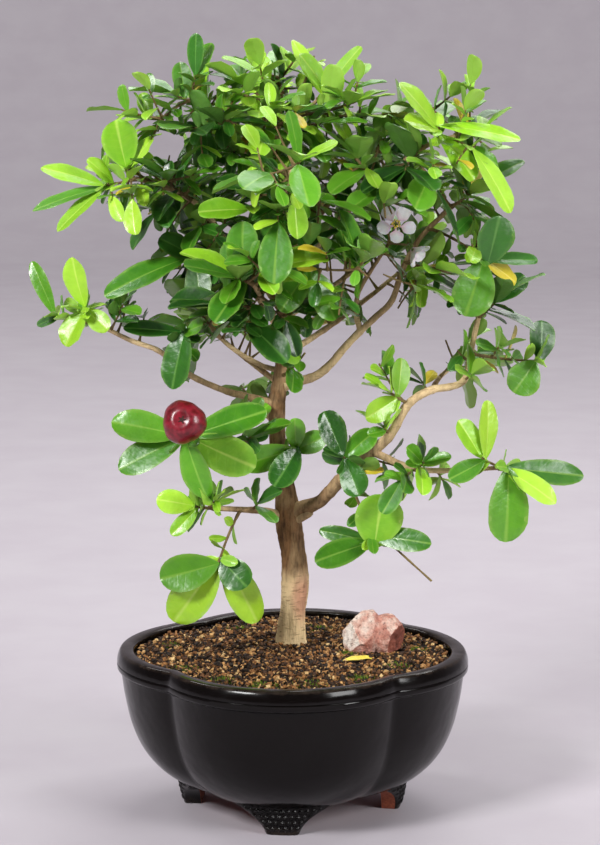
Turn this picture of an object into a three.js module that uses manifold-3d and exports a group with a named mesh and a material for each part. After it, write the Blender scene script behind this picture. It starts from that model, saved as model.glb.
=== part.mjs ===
// A Barbados cherry bonsai in a lobed, glazed pot on four feet.
// Units are millimetres, +Z is up, and the origin is the middle of the whole plant's box, on the ground.
//
// The tree is laid out in its own frame: X to the right and Y away as seen from its front, with the pot's
// axis at X = Y = 0. It grows as one trunk with its branches, and every leafy spray is a solid of its own:
// a thin twig, forked where it has several tips, with pairs of leaves fused to it.

import * as THREE from "three";
import { mergeVertices } from "three/addons/utils/BufferGeometryUtils.js";
import Module from "manifold-3d";

const wasm = await Module();
wasm.setup();

// Driving dimensions of the pot
const POT_RADIUS = 85; // across the middle of a lobe
const POT_HEIGHT = 77.5; // ground to rim
const LOBES = 4;
const LOBE_ARC = 0.72; // radius of a lobe's arc, as a share of the pot's radius
const RIM_WIDTH = 7.5;
const RIM_BAND = 9.5; // height of the band below the rim
const RIM_STEP = 2; // how far the band stands out of the wall
const LIP_OVERHANG = 0.8;
const WALL = 5.5;
const BASE_RADIUS = 38; // flat underside
const BASE_HEIGHT = 10.5; // underside above the ground
const FOOT_RADIUS = 54; // outer face of a foot at the ground
const FOOT_TOP_RADIUS = 57; // and where it runs into the wall
const FOOT_DEPTH = 10;
const FOOT_TOP_WIDTH = 54;
const FOOT_SOLE_WIDTH = 16;
const DRAIN_RADIUS = 6;
const SCREEN = { side: 20, thickness: 0.9, holes: 3, hole: 3.4, pitch: 5.2 }; // mesh over the drain hole
const POT_SEGMENTS = 32;

// Driving dimensions of what fills the pot
const SOIL_EDGE = 74; // height of the soil's surface at the wall
const SOIL_DOME = 2; // how much higher it is in the middle
const SOIL_GRAIN = 0.9; // depth of the grain's relief
const SOIL_RINGS = 6;
const GAP = 0.3; // between neighbouring solids
const ROCK_PLACE = [39, 5];
const ROCK_SIZE = [17.5, 11, 22]; // half width, half depth, height
const TRUNK_HOLE = { height: 60, room: 0.6 }; // the hole in the soil that the trunk stands in
const FALLEN_LEAF = { at: [24, -20], heading: 0.35, length: 15, width: 7.5 };

// Driving dimensions of the tree
const TREE_TURN = (5 * Math.PI) / 180; // the tree's front against the front of the pot
const BLADE_THICKNESS = 0.7;
const TWIG_RADII = [1, 0.72]; // from a twig's axis to its corners, where it starts and at its tip
const FORK_RADII = [0.68, 0.68];
const STALK_RADII = [0.65, 0.65];
const NODE_LENGTH = 1.5; // how much of a twig the foot of a leaf takes up
const CROWN_CENTRE = [0, 12, 225];
const FRONT_EYE = [4, -1200, 378]; // where the tree's front is seen from
const CROWN_PLANE = 15; // how far back the openings in the crown are given
const FRUIT = { at: [-50, -34, 193], radius: 10.2, stalkWay: [0.08, 0.92, -0.3] };
const FRUIT_DIMPLE = 0.22; // how deep the fruit is dimpled at its ends, as a share of its radius
const FRUIT_HEIGHT = 0.9; // from end to end, as a share of its width
const FLOWER_MIDDLE = 2.1; // radius of the knob that the petals grow from
const FLOWERS = [
  { name: "flower_open", at: [49, 8, 281], facing: [0.1, -0.9, 0.35], petal: 9.5, open: 1.25 },
  { name: "flower_side", at: [56, -3, 271], facing: [0.7, -0.35, -0.6], petal: 8.5, open: 0.75 },
];

// Openings in the crown as seen from the front, where bare branches show: the middle of each and half its
// width and height, as [x, z].
const OPENINGS = [
  { at: [22, 219], half: [17, 14] },
  { at: [43, 248], half: [10, 18] },
  { at: [70, 228], half: [12, 13] },
  { at: [20, 258], half: [8, 5] },
  { at: [-29, 215], half: [16, 11] },
  { at: [-70, 212], half: [10, 14] },
  { at: [-68, 246], half: [8, 5] },
  { at: [-59, 318], half: [8, 6] },
  { at: [15, 199], half: [11, 6] },
];

const COLOURS = {
  glaze: 0x17120f,
  screen: 0x1b1b1b,
  soil: 0x4a3424,
  bark: 0x8a7152,
  rock: 0xc99a90,
  fruit: 0xa3182b,
  petal: 0xf2dfe8,
  leafDark: 0x2c6a22,
  leafMid: 0x4d8f26,
  leafLight: 0x86b832,
};

// The trunk and branches: points along each, and the radius at its start and end.
const WOOD = {
  trunk: {
    radii: [6.4, 1.1],
    sides: 8,
    points: [
      [-1, 16, 58], [-0.5, 16, 80], [1, 16, 102], [0.5, 16, 119], [-1.5, 15, 136], [-3.5, 15, 152],
      [-7, 15, 174], [-7, 15, 196], [-4.5, 15, 217], [-4, 15, 244], [-7, 14, 270], [-9, 13, 296],
      [-7, 12, 325], [-5, 11, 343],
    ],
  },
  right_main: {
    radii: [3.4, 1.2],
    points: [
      [-1, 15, 141], [12, 8, 147], [20, 2, 156], [28, -4, 166], [38, -8, 175], [47, -10, 184],
      [55, -10, 198], [66, -6, 204], [81, 0, 207], [85, 6, 220], [89, 10, 237],
    ],
  },
  right_far: {
    radii: [1.8, 1],
    points: [[38, -8, 175], [50, -12, 170], [61, -14, 167], [78, -20, 168], [97, -25, 170]],
  },
  right_high: {
    radii: [2.3, 1.1],
    points: [
      [-5, 15, 203], [3, 18, 205], [11, 20, 207], [18, 23, 212], [26, 26, 221], [33, 28, 228],
      [40, 25, 235], [48, 20, 244], [53, 14, 260], [61, 10, 275], [75, 4, 290],
    ],
  },
  flower_twig: {
    radii: [1.3, 0.9],
    points: [[33, 28, 228], [31, 29, 236], [32, 28, 247], [38, 25, 258], [44, 19, 268]],
  },
  left_low: { radii: [2, 1.1], points: [[-3, 15, 139], [-14, 8, 143], [-25, 1, 145], [-37, -6, 147]] },
  fruit_branch: { radii: [1.6, 1], points: [[-6, 15, 170], [-19, 9, 175], [-31, 2, 179], [-40, -4, 180]] },
  left_mid: {
    radii: [1.9, 1],
    points: [
      [-7, 15, 194], [-22, 14, 198], [-34, 10, 202], [-49, 4, 210],
      [-63, -2, 222], [-77, -6, 228], [-92, -8, 236],
    ],
  },
  left_thin: { radii: [1.4, 0.9], points: [[-5, 15, 210], [-16, 19, 213], [-30, 22, 221], [-38, 24, 229]] },
  up_left: {
    radii: [2.2, 1],
    points: [
      [-4, 15, 229], [-15, 12, 245], [-25, 8, 264], [-32, 5, 274],
      [-43, 2, 290], [-58, -2, 299], [-73, -6, 304],
    ],
  },
  up_left_back: {
    radii: [1.8, 0.9],
    points: [[-4, 15, 238], [-20, 34, 258], [-40, 52, 280], [-54, 62, 298]],
  },
  crown_right: {
    radii: [1.9, 0.9],
    points: [[-4, 15, 250], [12, 10, 270], [30, 4, 292], [50, -4, 310], [64, -8, 320], [76, -10, 324]],
  },
  crown_right_back: {
    radii: [1.6, 0.9],
    points: [[-5, 14, 262], [14, 34, 285], [34, 52, 308], [46, 62, 320]],
  },
  crown_front: {
    radii: [1.6, 0.9],
    points: [[-6, 14, 270], [-5, -10, 290], [-2, -32, 305], [2, -48, 312]],
  },
  crown_back: { radii: [1.5, 0.9], points: [[-8, 14, 283], [-10, 36, 302], [-10, 54, 316]] },
  mid_front: {
    radii: [1.6, 0.9],
    points: [[-4, 15, 225], [-8, -6, 236], [-14, -26, 250], [-18, -38, 258]],
  },
  mid_right_front: {
    radii: [1.5, 0.9],
    points: [[-4, 15, 235], [8, -4, 246], [20, -22, 256], [27, -32, 262]],
  },
  back_right: { radii: [1.7, 0.9], points: [[-4, 15, 218], [16, 36, 228], [38, 54, 242], [52, 66, 252]] },
  back_left: { radii: [1.5, 0.9], points: [[-6, 15, 204], [-24, 38, 214], [-42, 56, 226]] },
  back_low: { radii: [1.3, 0.9], points: [[-6, 15, 182], [-14, 34, 187], [-20, 50, 191]] },
  right_back_low: { radii: [1.3, 0.9], points: [[66, -6, 204], [71, 16, 207], [78, 38, 209]] },
  top_left: { radii: [1.4, 0.9], points: [[-9, 13, 297], [-23, 8, 315], [-36, 4, 330], [-44, 2, 339]] },
  top_right: { radii: [1.2, 0.9], points: [[-7, 12, 320], [3, 9, 332], [12, 6, 340]] },
};

// The leafy sprays. `from` is the branch and how far along it the twig leaves; each tip is where a fork of
// the twig ends, with `placed` leaves given by the way to their tip and their width, and `pairs` of leaves
// of about the length `leaf` placed by rule. `tone` picks the colour.
const SPRAYS = {
  far_left_high: {
    from: ["up_left", 1], tone: "leafLight", leaf: 15, pairs: 1,
    tips: [
      {
        at: [-88, -9, 301],
        placed: [[-29, 1, 10, 11], [-36, -5, -8, 9], [-25, -10, -18, 10], [-10, -8, 12, 9]],
      },
    ],
  },
  left_high_light: {
    from: ["up_left", 0.86], tone: "leafLight", leaf: 15, pairs: 1,
    tips: [{ at: [-77, -14, 310], placed: [[-5, -5, 21, 17], [9, -5, 15, 11]] }],
  },
  left_high_dark: {
    from: ["up_left", 0.72], tone: "leafDark", leaf: 18, pairs: 2,
    tips: [{ at: [-60, -16, 306] }, { at: [-64, -10, 288] }],
  },
  left_high_rear: {
    from: ["up_left", 0.78], tone: "leafMid", leaf: 19, pairs: 2,
    tips: [{ at: [-68, 16, 306] }, { at: [-54, 14, 312] }],
  },
  left_leaf_fan: {
    from: ["up_left", 0.45], tone: "leafMid", leaf: 18, pairs: 1,
    tips: [
      {
        at: [-49, -8, 267],
        placed: [[-40, -8, -13, 17], [-27, -2, -2, 8], [-14, -4, 10, 14], [2, -10, -20, 13]],
      },
    ],
  },
  top_left_end: {
    from: ["top_left", 1], tone: "leafMid", leaf: 16, pairs: 2,
    tips: [
      { at: [-56, -4, 343] },
      { at: [-45, -3, 352], placed: [[0, -3, 19, 8], [6, 2, 19, 9]] },
      { at: [-60, -10, 332] },
    ],
  },
  top_left_front: {
    from: ["top_left", 0.6], tone: "leafDark", leaf: 18, pairs: 2,
    tips: [{ at: [-46, -16, 328] }, { at: [-30, -18, 332] }],
  },
  top_left_rear: {
    from: ["top_left", 0.75], tone: "leafMid", leaf: 18, pairs: 2,
    tips: [{ at: [-42, 24, 340] }, { at: [-28, 32, 334] }],
  },
  top_mid_left: {
    from: ["trunk", 0.97], tone: "leafLight", leaf: 15, pairs: 2,
    tips: [{ at: [-26, 0, 350] }, { at: [-15, -6, 357] }, { at: [-24, -14, 344] }],
  },
  top_mid_front: {
    from: ["trunk", 0.93], tone: "leafMid", leaf: 17, pairs: 2,
    tips: [{ at: [-15, -16, 336] }, { at: [2, -20, 336] }, { at: [14, -12, 330] }],
  },
  top_tuft: {
    from: ["top_right", 1], tone: "leafLight", leaf: 15, pairs: 1,
    tips: [{ at: [16, 4, 344], placed: [[-11, -5, 18, 12], [-13, 4, 26, 9], [16, 2, 24, 8]] }],
  },
  top_rear: {
    from: ["trunk", 1], tone: "leafMid", leaf: 17, pairs: 2,
    tips: [{ at: [-6, 26, 352] }, { at: [8, 26, 346] }],
  },
  top_right_front: {
    from: ["top_right", 0.55], tone: "leafLight", leaf: 18, pairs: 2,
    tips: [{ at: [30, -10, 340] }, { at: [38, 0, 333] }],
  },
  top_right_long: {
    from: ["crown_right", 0.88], tone: "leafLight", leaf: 16, pairs: 1,
    tips: [
      {
        at: [68, -16, 329],
        placed: [[38, -2, -3, 11], [-16, -5, 23, 14], [-15, -10, 6, 12], [17, -9, -19, 14]],
      },
      { at: [84, -14, 318], placed: [[20, -6, -27, 14], [15, 4, -9, 10]] },
    ],
  },
  right_high_dark: {
    from: ["crown_right", 0.7], tone: "leafDark", leaf: 21, pairs: 2,
    tips: [{ at: [52, -20, 308] }, { at: [67, -20, 300] }],
  },
  crown_right_mid: {
    from: ["crown_right", 0.5], tone: "leafMid", leaf: 19, pairs: 2,
    tips: [{ at: [28, -14, 316] }, { at: [42, -22, 296] }, { at: [44, 8, 330] }],
  },
  crown_right_top: {
    from: ["crown_right", 1], tone: "leafMid", leaf: 18, pairs: 2,
    tips: [{ at: [84, 8, 328] }, { at: [66, 12, 336] }],
  },
  right_high_end: {
    from: ["right_high", 1], tone: "leafMid", leaf: 20, pairs: 2,
    tips: [{ at: [86, 2, 298] }, { at: [90, 12, 284] }],
  },
  right_upper: {
    from: ["right_high", 0.93], tone: "leafMid", leaf: 16, pairs: 1,
    tips: [
      { at: [92, -6, 264], placed: [[5, -5, 22, 19], [-8, -7, -25, 20], [26, 3, 1, 8], [19, 5, -12, 12]] },
    ],
  },
  right_mid_light: {
    from: ["right_high", 0.82], tone: "leafLight", leaf: 20, pairs: 2,
    tips: [{ at: [68, -6, 262] }, { at: [58, -12, 250] }],
  },
  flower_spray: {
    from: ["flower_twig", 1], tone: "leafDark", leaf: 13, pairs: 1, stalks: ["flower_open", "flower_side"],
    tips: [{ at: [47, 14, 274], placed: [[-14, -4, -12, 9], [-10, 2, 14, 9]] }],
  },
  crown_front_end: {
    from: ["crown_front", 1], tone: "leafMid", leaf: 19, pairs: 2,
    tips: [{ at: [4, -60, 316] }, { at: [-14, -54, 308] }],
  },
  crown_front_mid: {
    from: ["crown_front", 0.6], tone: "leafMid", leaf: 21, pairs: 2,
    tips: [
      { at: [-20, -38, 292], placed: [[-22, -6, 0, 14]] },
      { at: [14, -40, 296] },
      { at: [-6, -46, 286] },
    ],
  },
  mid_front_end: {
    from: ["mid_front", 1], tone: "leafMid", leaf: 23, pairs: 2,
    tips: [{ at: [-26, -46, 262] }, { at: [-10, -52, 268] }],
  },
  mid_front_low: {
    from: ["mid_front", 0.55], tone: "leafDark", leaf: 24, pairs: 2,
    tips: [{ at: [-34, -28, 248] }, { at: [-22, -28, 234] }],
  },
  mid_right_end: {
    from: ["mid_right_front", 1], tone: "leafMid", leaf: 22, pairs: 2,
    tips: [{ at: [34, -42, 270] }, { at: [6, -32, 265], placed: [[16, -3, -23, 15], [-14, -3, -19, 14]] }],
  },
  trunk_front: { from: ["trunk", 0.58], tone: "leafMid", leaf: 20, pairs: 2, tips: [{ at: [6, -9, 222] }] },
  left_end: {
    from: ["left_mid", 1], tone: "leafLight", leaf: 12, pairs: 1,
    tips: [
      { at: [-112, -6, 240], placed: [[-11, 3, 25, 8], [-10, -5, -3, 7]] },
      { at: [-97, -14, 245], placed: [[-7, -5, 22, 13], [-10, -6, -15, 14], [11, -8, -8, 10]] },
    ],
  },
  left_hanging: {
    from: ["left_mid", 0.6], tone: "leafDark", leaf: 16, pairs: 1,
    tips: [{ at: [-50, -8, 234], placed: [[-8, -6, -28, 16], [-28, -3, 3, 9], [8, -8, 15, 12]] }],
  },
  left_thin_end: {
    from: ["left_thin", 1], tone: "leafMid", leaf: 23, pairs: 2,
    tips: [{ at: [-45, 14, 240] }, { at: [-32, 8, 246] }],
  },
  fruit_cluster: {
    from: ["fruit_branch", 1], tone: "leafMid", leaf: 14, pairs: 0, stalks: ["fruit"],
    tips: [
      {
        at: [-53, -10, 183],
        placed: [[-32, -2, 8, 16], [-32, -4, -13, 16], [8, -6, -29, 14], [30, -8, -14, 19], [36, -1, 13, 15]],
      },
    ],
  },
  fruit_inner: {
    from: ["fruit_branch", 0.4], tone: "leafDark", leaf: 19, pairs: 2,
    tips: [{ at: [-20, -6, 182] }],
  },
  trunk_front_low: {
    from: ["trunk", 0.44], tone: "leafMid", leaf: 13, pairs: 1,
    tips: [
      { at: [3, -4, 176], placed: [[-11, -9, -17, 14], [-1, -6, 15, 10], [-26, -3, -7, 13], [14, -3, 8, 11]] },
    ],
  },
  yellow_cluster: {
    from: ["left_low", 1], tone: "leafLight", leaf: 12, pairs: 2,
    tips: [{ at: [-47, -10, 149], placed: [[-17, -3, 4, 12], [-12, -6, -12, 8]] }, { at: [-36, -16, 153] }],
  },
  low_left: {
    from: ["left_low", 0.66], tone: "leafLight", leaf: 12, pairs: 0,
    tips: [
      {
        at: [-35, -20, 123],
        placed: [[-27, -5, -7, 18], [-21, -4, -31, 20], [12, -8, -12, 15], [18, -4, -32, 16]],
      },
    ],
  },
  right_pair: {
    from: ["right_main", 0.3], tone: "leafDark", leaf: 12, pairs: 0,
    tips: [{ at: [24, -14, 174], placed: [[-9, -2, 21, 14], [14, 1, 13, 11], [8, -6, -16, 14]] }],
  },
  right_yellow: {
    from: ["right_main", 0.6], tone: "leafLight", leaf: 13, pairs: 2,
    tips: [{ at: [44, -16, 206] }, { at: [41, -8, 217] }],
  },
  right_far_small: {
    from: ["right_far", 0.45], tone: "leafMid", leaf: 13, pairs: 2,
    tips: [{ at: [62, -24, 173] }, { at: [51, -22, 163] }],
  },
  low_right: {
    from: ["right_main", 0.27], tone: "leafMid", leaf: 12, pairs: 0, stalks: [[66, -22, 115]],
    tips: [
      {
        at: [39, -16, 130],
        placed: [[3, -4, 26, 23], [-25, 3, 6, 8], [-27, -6, -7, 13], [6, -7, -11, 7], [33, -3, 4, 13]],
      },
    ],
  },
  far_right: {
    from: ["right_far", 1], tone: "leafLight", leaf: 12, pairs: 0,
    tips: [
      {
        at: [101, -29, 171],
        placed: [[0, -8, -34, 20], [38, 4, -5, 13], [25, -7, -13, 12], [4, -5, 20, 16]],
      },
      { at: [88, -30, 176], placed: [[-10, -3, 18, 12], [3, 0, 27, 11], [-16, -6, -8, 10]] },
    ],
  },
  right_three: {
    from: ["right_main", 0.9], tone: "leafMid", leaf: 12, pairs: 2,
    tips: [
      { at: [118, 2, 217], placed: [[2, 2, 19, 14], [16, 0, 15, 13], [-10, -6, -14, 17]] },
      { at: [98, -8, 226] },
    ],
  },
  right_main_end: {
    from: ["right_main", 1], tone: "leafDark", leaf: 19, pairs: 2,
    tips: [{ at: [98, 6, 246] }, { at: [82, 2, 248] }],
  },
  rear_left_high: {
    from: ["up_left_back", 1], tone: "leafMid", leaf: 21, pairs: 2,
    tips: [{ at: [-60, 72, 304] }, { at: [-68, 56, 296] }],
  },
  rear_left_mid: {
    from: ["up_left_back", 0.6], tone: "leafDark", leaf: 21, pairs: 2,
    tips: [{ at: [-50, 42, 268] }, { at: [-50, 38, 290] }],
  },
  rear_right_high: {
    from: ["crown_right_back", 1], tone: "leafMid", leaf: 20, pairs: 2,
    tips: [{ at: [58, 66, 324] }, { at: [42, 78, 316] }, { at: [52, 44, 318] }],
  },
  rear_top: {
    from: ["crown_back", 1], tone: "leafLight", leaf: 19, pairs: 2,
    tips: [{ at: [-18, 70, 318] }, { at: [4, 68, 326] }],
  },
  rear_mid: {
    from: ["crown_back", 0.5], tone: "leafMid", leaf: 20, pairs: 2,
    tips: [{ at: [-26, 42, 312] }, { at: [-20, 52, 326] }],
  },
  rear_right_mid: {
    from: ["back_right", 1], tone: "leafMid", leaf: 22, pairs: 2,
    tips: [{ at: [64, 74, 250] }, { at: [46, 80, 262] }, { at: [62, 50, 266] }],
  },
  rear_left_low: {
    from: ["back_left", 1], tone: "leafDark", leaf: 21, pairs: 2,
    tips: [{ at: [-54, 64, 226] }, { at: [-38, 72, 238] }],
  },
  rear_low: { from: ["back_low", 1], tone: "leafMid", leaf: 18, pairs: 2, tips: [{ at: [-26, 64, 196] }] },
  rear_right_low: {
    from: ["right_back_low", 1], tone: "leafMid", leaf: 18, pairs: 2,
    tips: [{ at: [88, 52, 208] }, { at: [76, 56, 220] }],
  },
};

// Vectors

const vec = (p) => new THREE.Vector3(...p);
const UP = vec([0, 0, 1]);
const unit = (p) => vec(p).normalize();

/** Numbers from 0 to 1 that are the same on every run. */
function seededDraws(seed) {
  let state = seed;
  return () => {
    state = (state * 1664525 + 1013904223) % 4294967296;
    return state / 4294967296;
  };
}

// Solids

/** A closed three.js geometry as a solid that can be joined and cut. */
function solidOf(geometry) {
  const bare = geometry.index ? geometry.toNonIndexed() : geometry.clone();
  bare.deleteAttribute("normal");
  bare.deleteAttribute("uv");
  const merged = mergeVertices(bare, 1e-4);
  return new wasm.Manifold(
    new wasm.Mesh({
      numProp: 3,
      vertProperties: new Float32Array(merged.attributes.position.array),
      triVerts: new Uint32Array(merged.index.array),
    }),
  );
}

/** The solids joined in one, without any scrap that the joining leaves loose. */
function joined(solids) {
  return largest(solids.reduce((sum, solid) => sum.add(solid)));
}

/** The largest of the separate bodies that a solid consists of. */
function largest(solid) {
  const bodies = solid.decompose();
  return bodies.reduce((best, body) => (body.volume() > best.volume() ? body : best));
}

/** A solid as a named three.js mesh. */
function meshOf(name, solid, colour, roughness) {
  const { vertProperties, triVerts } = solid.getMesh();
  const geometry = new THREE.BufferGeometry();
  geometry.setAttribute("position", new THREE.BufferAttribute(vertProperties, 3));
  geometry.setIndex(new THREE.BufferAttribute(triVerts, 1));
  geometry.computeVertexNormals();
  const material = new THREE.MeshStandardMaterial({ color: colour, roughness, metalness: 0 });
  const mesh = new THREE.Mesh(geometry, material);
  mesh.name = name;
  return mesh;
}

/** A closed geometry with every corner moved by a function of its place. */
function reshaped(geometry, move) {
  const corners = geometry.getAttribute("position");
  const corner = new THREE.Vector3();
  for (let i = 0; i < corners.count; i++) {
    corner.fromBufferAttribute(corners, i);
    move(corner);
    corners.setXYZ(i, corner.x, corner.y, corner.z);
  }
  return geometry;
}

/** A round bar along a curve that tapers from one radius to another, closed at both ends. */
function bar(curve, radii, sides, steps) {
  const shape = new THREE.CylinderGeometry(1, 1, 1, sides, steps);
  return reshaped(shape, (corner) => {
    const along = THREE.MathUtils.clamp(corner.y + 0.5, 0, 1);
    const radius = THREE.MathUtils.lerp(...radii, along);
    const { side, other } = crosswise(curve.getTangent(along));
    const { x, z } = corner;
    corner.copy(curve.getPoint(along)).addScaledVector(side, x * radius).addScaledVector(other, -z * radius);
  });
}

/** Two directions square to an axis, so that side, other and the axis make a right-handed frame. */
function crosswise(axis) {
  const level = Math.abs(axis.z) > 0.97 ? vec([1, 0, 0]) : UP;
  const side = axis.clone().cross(level).normalize();
  const other = axis.clone().cross(side).normalize();
  return { side, other };
}

// Pot

/** The pot's outline in plan: the radius at an angle, as a share of a lobe's reach. */
function lobed(angle) {
  const step = (2 * Math.PI) / LOBES;
  const fromLobe = angle - step * Math.round(angle / step);
  const centre = 1 - LOBE_ARC;
  const across = centre * Math.sin(fromLobe);
  return centre * Math.cos(fromLobe) + Math.sqrt(LOBE_ARC ** 2 - across ** 2);
}

/** A turned shape from a profile of [radius, height] points, pressed to the pot's lobes. */
function turned(profile, segments) {
  const points = profile.map(([radius, height]) => new THREE.Vector2(radius, height));
  const shape = new THREE.LatheGeometry(points, segments).rotateX(Math.PI / 2);
  return reshaped(shape, (corner) => {
    const share = lobed(Math.atan2(corner.y, corner.x));
    corner.x *= share;
    corner.y *= share;
  });
}

const RIM_TOP = POT_HEIGHT;
const BAND_FOOT = POT_HEIGHT - RIM_BAND;
const WALL_TOP = POT_RADIUS - RIM_STEP;

// The outside of the wall, from the flat underside to the band, as [radius, height].
const WALL_CURVE = [
  [BASE_RADIUS, BASE_HEIGHT], [51.5, 12.5], [63, 18.5], [72, 28], [77.8, 40], [81.2, 54],
  [WALL_TOP, BAND_FOOT - 1.5],
];

/** The radius inside the wall at a height above the floor. */
function insideRadius(height) {
  const curve = WALL_CURVE;
  for (let i = 1; i < curve.length; i++) {
    const [r0, z0] = curve[i - 1];
    const [r1, z1] = curve[i];
    if (height <= z1) return THREE.MathUtils.lerp(r0, r1, (height - z0) / (z1 - z0)) - WALL;
  }
  return WALL_TOP - WALL;
}

const FLOOR = BASE_HEIGHT + WALL;
const INSIDE_HEIGHTS = [FLOOR, 30, 42, BAND_FOOT - 1.5];

/** A foot under the middle of a lobe: flat on the ground, spreading up, and flush with the wall. */
function makeFoot(turn) {
  const outline = new THREE.Shape();
  const top = BASE_HEIGHT + WALL - 0.6;
  const half = FOOT_TOP_WIDTH / 2;
  const sole = FOOT_SOLE_WIDTH / 2;
  outline.moveTo(-sole, 0);
  outline.lineTo(sole, 0);
  outline.quadraticCurveTo(sole + 3, top * 0.62, half, top);
  outline.lineTo(-half, top);
  outline.quadraticCurveTo(-sole - 3, top * 0.62, -sole, 0);
  const options = { depth: FOOT_DEPTH, bevelEnabled: false, curveSegments: 3 };
  const plate = new THREE.ExtrudeGeometry(outline, options);
  plate.rotateX(Math.PI / 2).translate(0, -FOOT_RADIUS + FOOT_DEPTH, 0).rotateZ(turn);
  const reach = turned([[0, 0], [FOOT_RADIUS, 0], [FOOT_TOP_RADIUS, top], [0, top]], POT_SEGMENTS);
  return solidOf(plate).intersect(solidOf(reach));
}

/** The bowl with its rim, its feet and the hole that drains it. */
function makePot() {
  const profile = [
    [0, BASE_HEIGHT],
    ...WALL_CURVE,
    [POT_RADIUS - 0.3, BAND_FOOT],
    [POT_RADIUS, BAND_FOOT + 1.2],
    [POT_RADIUS, RIM_TOP - 1],
    [POT_RADIUS - 1, RIM_TOP],
    [POT_RADIUS - RIM_WIDTH, RIM_TOP],
    [POT_RADIUS - RIM_WIDTH - LIP_OVERHANG, RIM_TOP - 1.2],
    ...INSIDE_HEIGHTS.map((height) => [insideRadius(height), height]).reverse(),
    [0, FLOOR],
  ];
  const bowl = solidOf(turned(profile, POT_SEGMENTS));
  const feet = [0, 1, 2, 3].map((quarter) => makeFoot((quarter * Math.PI) / 2));
  const drain = new THREE.CylinderGeometry(DRAIN_RADIUS, DRAIN_RADIUS, 3 * WALL, 16);
  drain.rotateX(Math.PI / 2).translate(0, 0, BASE_HEIGHT + WALL / 2);
  return joined([bowl, ...feet]).subtract(solidOf(drain));
}

// Soil, rock and fallen leaf

const treeToPot = ([x, y]) => {
  const place = new THREE.Vector2(x, y).rotateAround(new THREE.Vector2(), TREE_TURN);
  return [place.x, place.y];
};

/** How much of the soil's relief there is at a place: none where the rock or the leaf lies on it. */
function grainAt(x, y) {
  const spots = [
    [...treeToPot(ROCK_PLACE), ROCK_SIZE[0] + 3],
    [...treeToPot(FALLEN_LEAF.at), FALLEN_LEAF.length],
  ];
  const nearest = Math.min(...spots.map(([sx, sy, reach]) => Math.hypot(x - sx, y - sy) / reach));
  return THREE.MathUtils.smoothstep(nearest, 1, 1.3);
}

/** The height of the soil's surface, with the relief of its grain. */
function soilHeight(x, y) {
  const dome = SOIL_DOME * (1 - (x * x + y * y) / POT_RADIUS ** 2);
  const coarse = Math.sin(1.3 * x + 0.7 * y) * Math.cos(0.9 * y - 1.1 * x);
  const grain = coarse + 0.5 * Math.sin(2.3 * x) * Math.sin(1.9 * y);
  return SOIL_EDGE + dome + SOIL_GRAIN * (grain * grainAt(x, y) - 1);
}

/** The space that the mesh over the drain hole takes up, larger all round by some room. */
function screenBlock(room) {
  const side = SCREEN.side + 2 * room;
  const block = new THREE.BoxGeometry(side, side, SCREEN.thickness + 2 * room);
  return solidOf(block.translate(0, 0, FLOOR + GAP + SCREEN.thickness / 2));
}

/** The square of mesh that keeps the soil in above the drain hole. */
function makeScreen() {
  const { thickness, holes, hole, pitch } = SCREEN;
  let screen = screenBlock(0);
  for (let i = 0; i < holes * holes; i++) {
    const x = ((i % holes) - (holes - 1) / 2) * pitch;
    const y = (Math.floor(i / holes) - (holes - 1) / 2) * pitch;
    const opening = new THREE.BoxGeometry(hole, hole, 4 * thickness).translate(x, y, FLOOR);
    screen = screen.subtract(solidOf(opening));
  }
  return screen;
}

/** The soil, which fills the bowl round the foot of the trunk. */
function makeSoil(trunkClear) {
  const rimRadius = POT_RADIUS - RIM_WIDTH - LIP_OVERHANG - 2 * GAP;
  const rings = Array.from({ length: SOIL_RINGS }, (_, i) => rimRadius * (1 - (i + 1) / SOIL_RINGS));
  const profile = [
    [0, FLOOR + GAP],
    ...INSIDE_HEIGHTS.map((height) => [insideRadius(height) - 2 * GAP, Math.max(height, FLOOR + GAP)]),
    [rimRadius, SOIL_EDGE],
    ...rings.map((radius) => [radius, SOIL_EDGE]),
  ];
  const heap = reshaped(turned(profile, POT_SEGMENTS), (corner) => {
    const onTop = corner.z > SOIL_EDGE - 0.01;
    if (onTop) corner.z = soilHeight(corner.x, corner.y);
  });
  return largest(solidOf(heap).subtract(trunkClear).subtract(screenBlock(GAP)));
}

/** A broken stone of two lumps, cut flat where it rests. */
function makeRock() {
  const [halfWidth, halfDepth, height] = ROCK_SIZE;
  const lumps = [
    { at: [-0.36, 0, 0.36], size: [0.62, 0.9, 0.64], skew: 1.7 },
    { at: [0.42, 0.05, 0.3], size: [0.6, 0.85, 0.46], skew: 4.1 },
  ];
  const stones = lumps.map(({ at, size, skew }) => {
    const lump = new THREE.IcosahedronGeometry(1, 1);
    reshaped(lump, (corner) => {
      const chipped = 0.13 * Math.sin(3.1 * corner.x + skew) * Math.cos(2.7 * corner.y - skew);
      corner.multiplyScalar(1 + chipped + 0.09 * Math.sin(4.3 * corner.z + skew));
      corner.x = (corner.x * size[0] + at[0]) * halfWidth;
      corner.y = (corner.y * size[1] + at[1]) * halfDepth;
      corner.z = (corner.z * size[2] + at[2]) * height;
    });
    return solidOf(lump);
  });
  const below = new THREE.BoxGeometry(6 * halfWidth, 6 * halfWidth, height).translate(0, 0, -height / 2);
  const rest = soilHeight(...treeToPot(ROCK_PLACE)) + GAP;
  return joined(stones).subtract(solidOf(below)).translate([...ROCK_PLACE, rest]);
}

// Leaves and petals

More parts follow.
